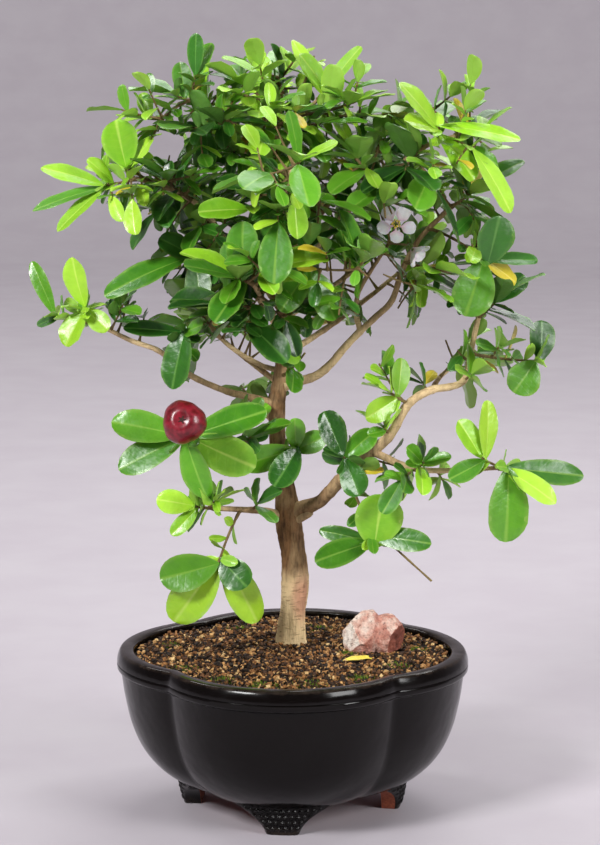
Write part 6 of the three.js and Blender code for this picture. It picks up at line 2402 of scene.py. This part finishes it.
    def foot_face(self, x: np.ndarray, z: float) -> np.ndarray:
        """How far from the axis, towards a foot, the lobed face of the foot is at some places across.

        Args:
            x: The places across.
            z: Their height.

        Returns:
            One distance for each place.
        """
        radius = lerp(self.foot_radius, self.foot_reach, z / self.foot_height)
        reach = np.full(len(x), radius)
        for _ in range(3):
            reach = radius * np.array([self.lobed(a) for a in np.arcsin(np.clip(x / reach, -1, 1))])
        return np.sqrt(reach**2 - x**2)

    def add_foot(self, surface: Surface, turn: float) -> None:
        """Adds a foot, with a low relief of beads and scrolls on its face.

        Args:
            surface: The mesh that it is added to.
            turn: How far around the pot it stands, in radians.
        """
        heights = np.concatenate([[0, 0.4], np.linspace(1.2, self.foot_height, self.foot_net[0])])
        across = np.linspace(-1, 1, self.foot_net[1])
        back = np.linspace(1, -1, 13)
        half = self.foot_half_width(heights) - np.exp(-heights / 0.5) * 0.5
        rows = []
        for z, w in zip(heights, half):
            x = across * w
            relief = self.relief(x, z) * np.clip(1 - np.abs(across) ** 10, 0, 1) * min(1.0, z / 1.5)
            round_off = 1.6 * (1 - np.sqrt(np.clip(1 - np.abs(across) ** 10, 0, 1)))
            front = -self.foot_face(x, z) + 1.3 + round_off - relief
            behind = np.full(len(back), -self.foot_radius + self.foot_depth)
            level = [np.append(x, back * (w - 0.4)), np.append(front, behind)]
            rows.append(np.stack([*level, np.full(len(level[0]), z)], axis=1))
        columns = len(across) + len(back)
        x, y, z = np.vstack(rows).T
        places = np.stack([*spun(x, y, turn), z], axis=1)
        faces = sheet_faces(len(heights), columns, True)
        front = np.tile(np.arange(columns), len(heights) - 1) < len(across)
        sole = np.arange(columns)[::-1][None]
        roof = (np.arange(columns) + (len(heights) - 1) * columns)[None]
        worn = np.clip(1 - heights / 6, 0, 1) * 0.4 + 0.15
        tints = np.repeat(tinted(worn), columns, axis=0)
        surface.add(places, [faces[front], faces[~front], sole, roof], [0, 1, 1, 1], None, tints)

    def relief(self, x: np.ndarray, z: float) -> np.ndarray:
        """The height of a foot's relief: rows of beads over low scrolls.

        Args:
            x: Places across the foot's face.
            z: Their height.

        Returns:
            The relief at each place, from 0 to 1.3.
        """
        row = round(z / self.bead)
        across = np.cos((x / self.bead + row / 2) * 2 * math.pi)
        bead = np.clip(0.55 * across + 0.55 * math.cos((z / self.bead - row) * 2 * math.pi), 0, 1) ** 0.5
        ground = 0.0
        for at, height, size in ((0.0, 8.5, 4.6), (7.4, 11.5, 4.0), (14.8, 13.2, 3.6)):
            far = np.hypot(np.abs(x) - at, z - height) / size
            ground = np.maximum(ground, (0.6 + 0.4 * np.cos(far * 8)) * smoothstep(1 - far, 0, 0.3))
        return self.bead_height * bead + self.scroll_height * ground


SOIL_LEVEL, SOIL_DOME, SOIL_GRAIN = 74.0, 2.0, 0.9
ROCK_AT = np.array([39.0, 5.0])
ROCK_SIZE = np.array([17.5, 11.0, 22.0])
SHED_LEAF_AT = np.array([24.0, -20.0])
SHED_LEAF_HEADING, SHED_LEAF_LENGTH, SHED_LEAF_WIDTH = 0.35, 15.0, 7.5
TRUNK_FOOT = np.array([-1.0, 16.0])


def tree_to_pot(place: np.ndarray) -> np.ndarray:
    """Turns a level place in the tree's frame into one in the pot's."""
    return np.array(spun(place[0], place[1], TREE_TURN))


def soil_height(x: np.ndarray, y: np.ndarray) -> np.ndarray:
    """The soil's height at places in the pot's frame. It is even under the stone and the shed leaf.

    Args:
        x: How far right the places are.
        y: How far away they are.

    Returns:
        Their heights.
    """
    spots = [(tree_to_pot(ROCK_AT), ROCK_SIZE[0] + 3), (tree_to_pot(SHED_LEAF_AT), SHED_LEAF_LENGTH)]
    nearest = np.min([np.hypot(x - at[0], y - at[1]) / reach for at, reach in spots], axis=0)
    coarse = np.sin(1.3 * x + 0.7 * y) * np.cos(0.9 * y - 1.1 * x)
    grain = coarse + 0.5 * np.sin(2.3 * x) * np.sin(1.9 * y)
    dome = SOIL_DOME * (1 - (x * x + y * y) / Pot.radius**2)
    return SOIL_LEVEL + dome + SOIL_GRAIN * (grain * smoothstep(nearest, 1, 1.3) - 1)


def soil_at(x: float, y: float) -> float:
    """The soil's height at one place in the pot's frame."""
    return float(soil_height(np.array(x), np.array(y)))


BOX_CORNERS = np.array([(x, y, z) for x in (-1, 1) for y in (-1, 1) for z in (-1, 1)], float)
BOX_FACES = np.array([(0, 1, 3, 2), (4, 6, 7, 5), (0, 4, 5, 1), (2, 3, 7, 6), (0, 2, 6, 4), (1, 5, 7, 3)])
TRUNK_CLEAR, SHED_LEAF_CLEAR = 6, 5.5  # how near their middles chips may lie, in millimetres
ROCK_COVER = 0.85  # the same for the stone, as a share of its size
SPLINTERS = 0.35  # how many chips are splinters of bark
SPLINTER_SHAPE, CHIP_FLATNESS = (1.5, 0.5, 0.35), 0.75
CHIP_TILT = (-0.6, 0.6)
SPIKE_FACES = np.array([(0, 1, 3), (1, 2, 3), (2, 0, 3), (2, 1, 0)])
SPIKE_LEAN, SPIKE_HEIGHT = (-0.7, 0.7), (0.9, 1.7)  # how far a spike's tip is from its foot
CUSHION_HEIGHT, CUSHION_DEPTH = 1.0, 0.6  # of a moss cushion: its rise, and its depth against its width
THINNING = 0.8  # how many spikes are missing at a cushion's edge
THIRD = 2.094  # a third of a turn, for the three corners of a moss spike's foot
# Where the moss grows in the pot's frame, and how far around there
MOSS_PATCHES = (
    (-28, -55, 9), (-8, -62, 8), (14, -58, 10), (36, -46, 9), (52, -22, 8), (27, -3, 6),
    (-48, -36, 8), (60, 12, 6), (-60, 8, 6), (10, 48, 9), (-30, 44, 8), (46, 40, 7),
)


@dataclass
class Soil:
    """The soil: a heap that fills the bowl, the grit and bark that cover it, and moss."""

    pot: Pot
    chips: int = 9500
    tufts: int = 2600
    heap_net: tuple[int, int] = (60, 160)  # rings of corners on its surface, and corners around
    roughness: float = 0.5  # how high its surface is roughened
    chip_sizes: tuple[float, float] = (0.55, 1.5)  # half the length of a chip

    def build(self) -> None:
        """Makes the three pieces."""
        rim = self.pot.radius - self.pot.rim_width - self.pot.lip_overhang - 0.6
        hand_over(self.heap(rim), "soil", "soil")
        hand_over(self.grit(rim), "soil")
        hand_over(self.moss(), "soil")

    def heap(self, rim: float) -> Object:
        """The heap, closed by the inside of the bowl.

        Args:
            rim: How far the soil reaches where the bowl is widest.

        Returns:
            The piece.
        """
        rings, segments = self.heap_net
        angles = ring_angles(segments)
        press = np.array([self.pot.lobed(a) for a in angles])
        rows = []
        for share in np.linspace(0.02, 1, rings):
            row = ring(share * rim * press, angles, 0.0)
            x, y, _ = row.T
            rough = [self.roughness * noise.noise(Vector((a / 2, b / 2, 0))) for a, b in zip(x, y)]
            row[:, 2] = soil_height(x, y) - 0.4 + rough
            rows.append(row)
        for radius, height in self.pot.inside():
            rows.append(ring((radius - 0.5) * press, angles, max(height, self.pot.floor + 0.4)))
        surface = Surface()
        last = (len(rows) - 1) * segments
        caps = [np.arange(segments)[None], (last + np.arange(segments))[::-1][None]]
        surface.add(np.vstack(rows), [sheet_faces(len(rows), segments, True)[:, ::-1], *caps], 0)
        return surface.make("soil_heap", [LOAM_FINISH], turn=0, crease=60)

    def scatter(self, draw: Draws, rim: float, count: int) -> Iterator[tuple[float, float]]:
        """Places on the soil, in the pot's frame, outside the trunk, the shed leaf and most of the stone.

        Args:
            draw: The seeded draws.
            rim: How far they reach where the bowl is widest.
            count: How many are wanted.

        Yields:
            How far right and how far away each place is.
        """
        trunk, rock = tree_to_pot(TRUNK_FOOT), tree_to_pot(ROCK_AT)
        heading = np.array([math.cos(SHED_LEAF_HEADING), math.sin(SHED_LEAF_HEADING)])
        leaf = tree_to_pot(SHED_LEAF_AT + heading * SHED_LEAF_LENGTH / 2)
        while count:
            angle, share = draw.between(-math.pi, math.pi), math.sqrt(draw())
            reach = share * rim * self.pot.lobed(angle)
            x, y = reach * math.cos(angle), reach * math.sin(angle)
            on_rock = math.hypot((x - rock[0]) / ROCK_SIZE[0], (y - rock[1]) / ROCK_SIZE[1]) < ROCK_COVER
            on_leaf = math.hypot(x - leaf[0], y - leaf[1]) < SHED_LEAF_CLEAR
            if math.hypot(x - trunk[0], y - trunk[1]) > TRUNK_CLEAR and not on_rock and not on_leaf:
                count -= 1
                yield x, y

    def grit(self, rim: float) -> Object:
        """Chips of baked clay, pumice and bark, each a block with broken corners.

        Args:
            rim: How far the soil reaches where the bowl is widest.

        Returns:
            The piece.
        """
        draw = Draws(GRIT_SEED)
        surface = Surface()
        for x, y in self.scatter(draw, rim - 0.8, self.chips):
            size = lerp(*self.chip_sizes, draw() ** 2)
            splinter = draw() < SPLINTERS
            scale = SPLINTER_SHAPE if splinter else (1, draw.between(0.6, 1), CHIP_FLATNESS)
            broken = np.array([[draw.between(0.55, 1.0)] for _ in BOX_CORNERS])
            shape = BOX_CORNERS * 0.8 * size * np.array(scale) * broken
            turns = (draw.between(0, 6.28), draw.between(*CHIP_TILT), draw.between(*CHIP_TILT))
            shape = shape @ turned_by(*turns)
            lift = draw.between(0.1, 0.7) * size + draw() ** 3 * 1.0
            height = soil_at(x, y) + lift
            surface.add(shape + (x, y, height), [BOX_FACES], 0, None, (draw() ** 1.7, 0, 0, 1))
        return surface.make("grit_and_bark", [GRIT_FINISH], turn=0, crease=30)

    def moss(self) -> Object:
        """Moss in cushions near the front edge and beside the stone: short spikes on a soft mound.

        Returns:
            The piece.
        """
        draw = Draws(MOSS_SEED)
        surface = Surface()
        for k in range(self.tufts):
            px, py, size = MOSS_PATCHES[k % len(MOSS_PATCHES)]
            angle, share = draw.between(0, 2 * math.pi), math.sqrt(draw())
            x = px + share * size * math.cos(angle)
            y = py + CUSHION_DEPTH * share * size * math.sin(angle)
            if draw() < share * THINNING:
                continue
            height = soil_at(x, y) + CUSHION_HEIGHT * (1 - share)
            lean = np.array([draw.between(*span) for span in (SPIKE_LEAN, SPIKE_LEAN, SPIKE_HEIGHT)])
            foot = ring(0.35, draw.between(0, 2) + THIRD * np.arange(3), -0.6)
            surface.add(np.vstack([foot, lean]) + (x, y, height), [SPIKE_FACES])
        return surface.make("moss_cushions", [MOSS_FINISH], turn=0, crease=30)


def turned_by(about_z: float, about_x: float, about_y: float) -> np.ndarray:
    """A turn about the three axes, for rows of corners.

    Args:
        about_z: The first turn, in radians.
        about_x: The second.
        about_y: The third.

    Returns:
        The matrix that the rows are multiplied by.
    """
    (a, b), (c, d), (e, f) = [(math.cos(t), math.sin(t)) for t in (about_z, about_x, about_y)]
    around = np.array([[a, b, 0], [-b, a, 0], [0, 0, 1]])
    nod = np.array([[1, 0, 0], [0, c, d], [0, -d, c]])
    tip = np.array([[e, 0, -f], [0, 1, 0], [f, 0, e]])
    return around @ nod @ tip


@dataclass
class Stone:
    """The broken stone beside the trunk: two lumps with flat, chipped faces."""

    lumps: tuple = (((-0.36, 0, 0.36), (0.66, 0.95, 0.66)), ((0.42, 0.05, 0.3), (0.62, 0.9, 0.5)))
    middle: Point = (0.03, 0.0, 0.24)  # a place inside both, as shares of the stone's size
    cuts: int = 46
    cut_depths: tuple[float, float] = (0.8, 0.96)  # where a cut passes, as a share of the stone's reach there
    roughness: float = 0.5  # how high its broken faces are roughened, in millimetres

    def build(self) -> None:
        """Makes the piece."""
        ways, faces = ball(5)
        centre = np.array(self.middle) * ROCK_SIZE
        lumps = [(np.array(at) * ROCK_SIZE, np.array(size) * ROCK_SIZE) for at, size in self.lumps]
        reach = np.max([self.exit(centre, ways, at, size) for at, size in lumps], axis=0)
        draw = Draws(ROCK_SEED)
        hue = np.full(len(ways), 0.5)
        for _ in range(self.cuts):
            cut = unit(np.array([draw.between(-1, 1), draw.between(-1, 1), draw.between(-0.4, 1)]))
            facing = ways @ cut
            near = (reach * facing)[facing > 0.5].max()
            depth = draw.between(*self.cut_depths) * near
            plane = np.where(facing > 0.05, depth / np.maximum(facing, 0.05), np.inf)
            # Each face's colour is a random stain plus painted light and shade: faces turned up are paler,
            # and faces turned right, away from the key light, are browner
            shade = clamp(0.42 + 0.3 * cut[0] - 0.25 * cut[2] + draw.between(-0.16, 0.22), 0, 1)
            hue = np.where(plane < reach, shade, hue)
            reach = np.minimum(reach, plane)
        places = centre + ways * reach[:, None]
        rough = [noise.fractal(Vector(p * 0.3), 0.6, 2.1, 5) for p in places]
        places = places + ways * (self.roughness * np.array(rough))[:, None]
        places[:, 2] = np.maximum(places[:, 2], 0.0)
        x, y = tree_to_pot(ROCK_AT)
        rest = soil_at(x, y) + 0.3
        surface = Surface()
        surface.add(places + (*ROCK_AT, rest), [faces], 0, None, tinted(hue))
        piece = surface.make("chipped_stone", [ROCK_FINISH], turn=TREE_TURN, crease=22)
        hand_over(piece, "rock", "rock")

    def exit(self, centre: np.ndarray, ways: np.ndarray, at: np.ndarray, size: np.ndarray) -> np.ndarray:
        """How far from a place inside an oval its surface lies, along some ways.

        Args:
            centre: The place.
            ways: The ways, one row each.
            at: The oval's middle.
            size: Its half sizes.

        Returns:
            One distance for each way.
        """
        start, along = (centre - at) / size, ways / size
        a, b, c = (along**2).sum(1), along @ start, start @ start - 1
        return (-b + np.sqrt(np.maximum(b * b - a * c, 0))) / a


@dataclass
class ShedLeaf:
    """The leaf that lies on the soil."""

    def build(self) -> None:
        """Makes the piece."""
        x, y = tree_to_pot(SHED_LEAF_AT)
        height = soil_at(x, y) + 0.9
        root = np.array([*SHED_LEAF_AT, height])
        way = np.array([math.cos(SHED_LEAF_HEADING), math.sin(SHED_LEAF_HEADING), 0.0])
        twig = Twig(Straight(root, root + way), (0.5, 0.5))
        leaf = Leaf("shed", twig, 1, root, way, UP, SHED_LEAF_LENGTH, SHED_LEAF_WIDTH, 0, 0.3)
        surface = Surface()
        add_leaf(surface, leaf, LEAF_NET, Draws(SHED_LEAF_SEED), (0.7, 0.6, 0.6))
        piece = surface.make("shed_leaf", [YELLOWED_FINISH], turn=TREE_TURN, crease=50)
        hand_over(piece, "leaf_light", "fallen_leaf")


@dataclass
class Cherry:
    """The ripe fruit: three soft lobes, a dimple at the stalk, and the dried calyx at the other end."""

    fruit: Fruit = FRUIT
    lobe: float = 0.05  # how high its three lobes are, as a share of its radius,
    ripple: float = 0.012  # and the nine soft ripples between them
    net: tuple[int, int] = (44, 66)  # corners from end to end, and around

    def build(self) -> None:
        """Makes the piece."""
        axis = unit(np.array(self.fruit.stalk_way))
        side, other = crosswise(axis)
        rows, columns = self.net
        slope = np.linspace(0.02, math.pi - 0.02, rows)[:, None]
        around = ring_angles(columns)[None]
        level = np.sin(slope) * np.ones_like(around)
        lobe = 1 + self.lobe * np.cos(3 * around) * level - self.ripple * np.cos(9 * around + 1) * level
        dimple = 1 - self.fruit.dimple * np.exp(-9 * level**2)
        x, z = level * lobe * np.cos(around), level * lobe * np.sin(around)
        y = np.cos(slope) * self.fruit.height * dimple
        out = x[..., None] * side + z[..., None] * other + y[..., None] * axis
        places = np.array(self.fruit.at) + self.fruit.radius * out
        surface = Surface()
        ends = [np.arange(columns)[None], (np.arange(columns) + (rows - 1) * columns)[::-1][None]]
        flip = np.dot(np.cross(side, other), axis) > 0
        net = [sheet_faces(rows, columns, True), *ends]
        surface.add(places.reshape(-1, 3), [f[:, ::-1] if flip else f for f in net])
        self.add_calyx(surface, -axis, side, other)
        piece = surface.make("ripe_cherry", [SKIN_FINISH, SCAR_FINISH], turn=TREE_TURN, crease=60)
        hand_over(piece, "fruit", "fruit")

    def add_calyx(self, surface: Surface, axis: np.ndarray, side: np.ndarray, other: np.ndarray) -> None:
        """Adds the dried scales in the dimple of the blossom end.

        Args:
            surface: The mesh that it is added to.
            axis: The way from the fruit's middle to that end.
            side: A way square to the axis.
            other: The way square to both.
        """
        depth = self.fruit.radius * self.fruit.height * (1 - self.fruit.dimple)
        for angle in ring_angles(5):
            out = spoke(side, other, angle)
            start = np.array(self.fruit.at) + axis * (depth - 0.2)
            line = Arch(start, start + out * 1.0 + axis * 0.6, start + out * 1.9 + axis * 0.9)
            centres = line.chain(np.linspace(0, 1, 6))
            tube(surface, centres, np.array([0.6, 0.55, 0.45, 0.35, 0.25, 0.12]), sides=6, kind=1)


PETAL_KIND, POLLEN_KIND, CALYX_KIND = range(3)
PETAL_START = 0.3  # how far the first petal is turned, in radians,
SEPAL_STEP = 0.63  # and how far each sepal lies beside its petal


@dataclass
class Blossom:
    """A flower: five clawed, crinkled petals, a ring of stamens, and the calyx behind."""

    name: str
    flower: Flower
    # As shares of a petal's length: where its blade is widest, how far the blade reaches from there, half the
    # width of its claw, and how high its edge is crinkled
    widest: float = 0.66
    blade: float = 0.36
    claw: float = 0.055
    crinkle: float = 0.035
    half_thickness: float = 0.12  # in millimetres

    def build(self) -> None:
        """Makes the piece."""
        axis = unit(np.array(self.flower.facing))
        side, other = crosswise(axis)
        surface = Surface()
        draw = Draws(FLOWER_SEED + len(self.name))
        centre = np.array(self.flower.at, float)
        for i in range(5):
            angle = i / 5 * 2 * math.pi + PETAL_START
            self.add_petal(surface, centre, spoke(side, other, angle), axis, draw)
            self.add_sepal(surface, centre, spoke(side, other, angle + SEPAL_STEP), axis)
        for i in range(10):
            out = spoke(side, other, i / 10 * 2 * math.pi)
            reach = out * (1.3 if i % 2 else 1.9) + axis * draw.between(2.2, 3.0)
            self.add_stamen(surface, centre, reach, draw)
        body, faces = ball(1)
        surface.add(centre + body * 1.3, [faces], CALYX_KIND)
        finishes = (PETAL_FINISH, POLLEN_FINISH, CALYX_FINISH)
        piece = surface.make(f"blossom_{self.name}", finishes, turn=TREE_TURN, crease=60)
        hand_over(piece, "petal", self.name)

    def add_petal(
        self, surface: Surface, centre: np.ndarray, out: np.ndarray, axis: np.ndarray, draw: Draws
    ) -> None:
        """Adds a petal: a narrow claw that widens to a round, fringed and crinkled blade.

        Args:
            surface: The mesh that it is added to.
            centre: The flower's middle.
            out: The way from there to the petal, square to the axis.
            axis: The way that the flower faces.
            draw: The seeded draws.
        """
        length = self.flower.petal
        way = unit(out * math.sin(self.flower.open) + axis * math.cos(self.flower.open))
        face = unit(axis - way * axis.dot(way))
        side = np.cross(way, face)
        u = np.array(PETAL_NET.rows)[:, None]
        s = np.array(PETAL_NET.columns)[None, :]
        blade = np.sqrt(np.clip(1 - ((u - self.widest) / self.blade) ** 2, 0, 1)) * self.blade
        half = np.maximum(blade, self.claw) * length
        fringe = 1 + 0.06 * np.sin(u * 60 + draw.between(0, 6)) * (u > 0.4)
        across = s * half * np.where(np.abs(s) > 0.99, fringe, 1)
        cup = 0.25 * (np.sqrt((across / length) ** 2 + 0.002) - 0.045) * length
        waves = np.sin(s * 9 + u * 14 + draw.between(0, 6))
        crinkle = self.crinkle * length * np.abs(s) * waves * smoothstep(u, 0.35, 0.6)
        lift = cup + crinkle - 0.02 * length * u * u
        foot = centre + out * 0.6
        grid = foot + (u * length)[..., None] * way + across[..., None] * side + lift[..., None] * face
        body = self.half_thickness * np.sqrt(np.clip(1 - s * s, 0, 1)) * np.ones_like(u)
        rise = np.stack([body, -body])[..., None] * face
        pink = np.clip(0.9 - 1.6 * u + 0.35 * np.abs(s), 0, 1) * np.ones_like(s)
        shades = np.stack([pink, pink * 0, pink * 0], axis=2)
        tip = foot + way * length + face * float(lift[-1, len(PETAL_NET.columns) // 2])
        PETAL_NET.add(surface, grid, tip, rise, shades, PETAL_KIND)

    def add_sepal(self, surface: Surface, centre: np.ndarray, out: np.ndarray, axis: np.ndarray) -> None:
        """Adds a sepal: a short pointed scale behind the petals.

        Args:
            surface: The mesh that it is added to.
            centre: The flower's middle.
            out: The way from there to the sepal, square to the axis.
            axis: The way that the flower faces.
        """
        start = centre - axis * 1.6
        line = Arch(start, start + out * 1.6, start + out * 2.6 + axis * 1.2)
        centres = line.chain(np.linspace(0, 1, 6))
        tube(surface, centres, np.array([0.9, 0.85, 0.75, 0.6, 0.4, 0.15]), 8, CALYX_KIND)

    def add_stamen(self, surface: Surface, centre: np.ndarray, reach: np.ndarray, draw: Draws) -> None:
        """Adds a stamen: a thread with a pollen sac at its end.

        Args:
            surface: The mesh that it is added to.
            centre: The flower's middle.
            reach: From there to the sac.
            draw: The seeded draws.
        """
        line = Straight(centre, centre + reach)
        centres = line.chain(np.linspace(0, 1, 4))
        tube(surface, centres, np.array([0.14, 0.14, 0.13, 0.12]), 5, CALYX_KIND)
        body, faces = ball(1)
        size = draw.between(0.42, 0.55)
        surface.add(centre + reach + body * (size, size, size * 1.3), [faces], POLLEN_KIND)


@dataclass
class Studio:
    """A pale paper cove, soft lights and the camera, at the photograph's angle."""

    camera_at: Point = (3.7, -1200.0, 378.2)  # from the pot's axis, before its turn
    camera_turn: float = math.radians(5.1)
    camera_dip: float = math.radians(9.03)
    lens: float = 108.5
    floor_radius: float = 2600
    curve_radius: float = 1400
    wall_height: float = 4500
    segments: int = 96
    sky_strength: float = 0.32

    def build(self) -> None:
        """Makes the cove, the lights and the camera."""
        bpy.context.scene.view_settings.view_transform = "Standard"
        self.cove()
        self.light("key", KEY_AT, side=0.35, power=19)
        self.light("fill", FILL_AT, side=0.45, power=10)
        self.light("top", (150, 650, 1150), side=0.8, power=8)
        for s in (-1, 1):
            self.light("backdrop", (s * 1500, 900, 2000), side=0.8, power=34, aim=(s * 700, 3300, 300))
        self.sky()
        self.camera()

    def cove(self) -> None:
        """Adds the paper: a level round floor that curves up into a wall."""
        bends = np.linspace(0, math.pi / 2, 14)
        radii = [1.0, *(self.floor_radius + self.curve_radius * np.sin(bends))]
        heights = [0.0, *(self.curve_radius * (1 - np.cos(bends)))]
        profile = np.array([*zip(radii, heights), (radii[-1], self.wall_height)])
        rows = [ring(r, ring_angles(self.segments), z) for r, z in profile]
        faces = [sheet_faces(len(rows), self.segments, True)[:, ::-1], np.arange(self.segments)[None]]
        surface = Surface()
        surface.add(np.vstack(rows), faces)
        surface.make("paper_cove", [BACKDROP_FINISH], turn=0, crease=60)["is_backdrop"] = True

    def light(self, name: str, at: Point, side: float, power: float, aim: Point = (0, 0, 200)) -> None:
        """Adds a square soft light.

        Args:
            name: Its name.
            at: Where it hangs, in millimetres.
            side: How wide it is, in metres.
            power: Its power in watts.
            aim: The place that it points at, in millimetres.
        """
        lamp = bpy.data.lights.new(name, "AREA")
        lamp.size = side
        lamp.energy = power
        made = bpy.data.objects.new(name, lamp)
        made.location = Vector(at) * MM
        made.rotation_euler = (Vector(aim) * MM - made.location).to_track_quat("-Z", "Y").to_euler()
        bpy.context.scene.collection.objects.link(made)

    def sky(self) -> None:
        """Sets the even pale light from above."""
        world = bpy.context.scene.world or bpy.data.worlds.new("pale room")
        bpy.context.scene.world = world
        world.use_nodes = True
        back = world.node_tree.nodes["Background"]
        back.inputs["Color"].default_value = linear("f4f4f2")
        back.inputs["Strength"].default_value = self.sky_strength

    def camera(self) -> None:
        """Places the camera as the photograph saw the pot."""
        lens = bpy.data.cameras.new("camera")
        lens.lens = self.lens
        lens.sensor_fit = "VERTICAL"
        lens.sensor_height = 36
        made = bpy.data.objects.new("camera", lens)
        x, y = spun(*self.camera_at[:2], self.camera_turn)
        middle_x, middle_y = pot_middle()
        made.location = Vector((x + middle_x, y + middle_y, self.camera_at[2])) * MM
        made.rotation_euler = (math.pi / 2 - self.camera_dip, 0, self.camera_turn)
        bpy.context.scene.collection.objects.link(made)
        bpy.context.scene.camera = made


def corners(box: tuple) -> list[list[float]]:
    """A box's lowest and highest corners as plain lists."""
    return [list(corner) for corner in box]


def main() -> None:
    """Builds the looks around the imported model, piece by piece."""
    logging.basicConfig(level=logging.INFO, format="%(message)s")
    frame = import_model()
    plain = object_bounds()
    Studio().build()
    growth = Growth()
    growth.grow()
    for step in (growth.fill, growth.sprout, growth.thicken):
        LOG.info("leaves so far: %d", len(growth.leaves))
        step()
    LOG.info("leaves in all: %d", len(growth.leaves))
    pot = Pot()
    pot.build()
    Soil(pot).build()
    Stone().build()
    ShedLeaf().build()
    Wood(growth).build()
    Foliage(growth).build()
    Cherry().build()
    for name, flower in FLOWERS.items():
        Blossom(name, flower).build()
    screen = frame["nodes"]["drain_screen"]
    screen.data.materials.clear()
    screen.data.materials.append(finished(SCREEN_FINISH))
    {"cad": corners(plain), "visual": corners(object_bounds())}


if __name__ == "__main__":
    main()
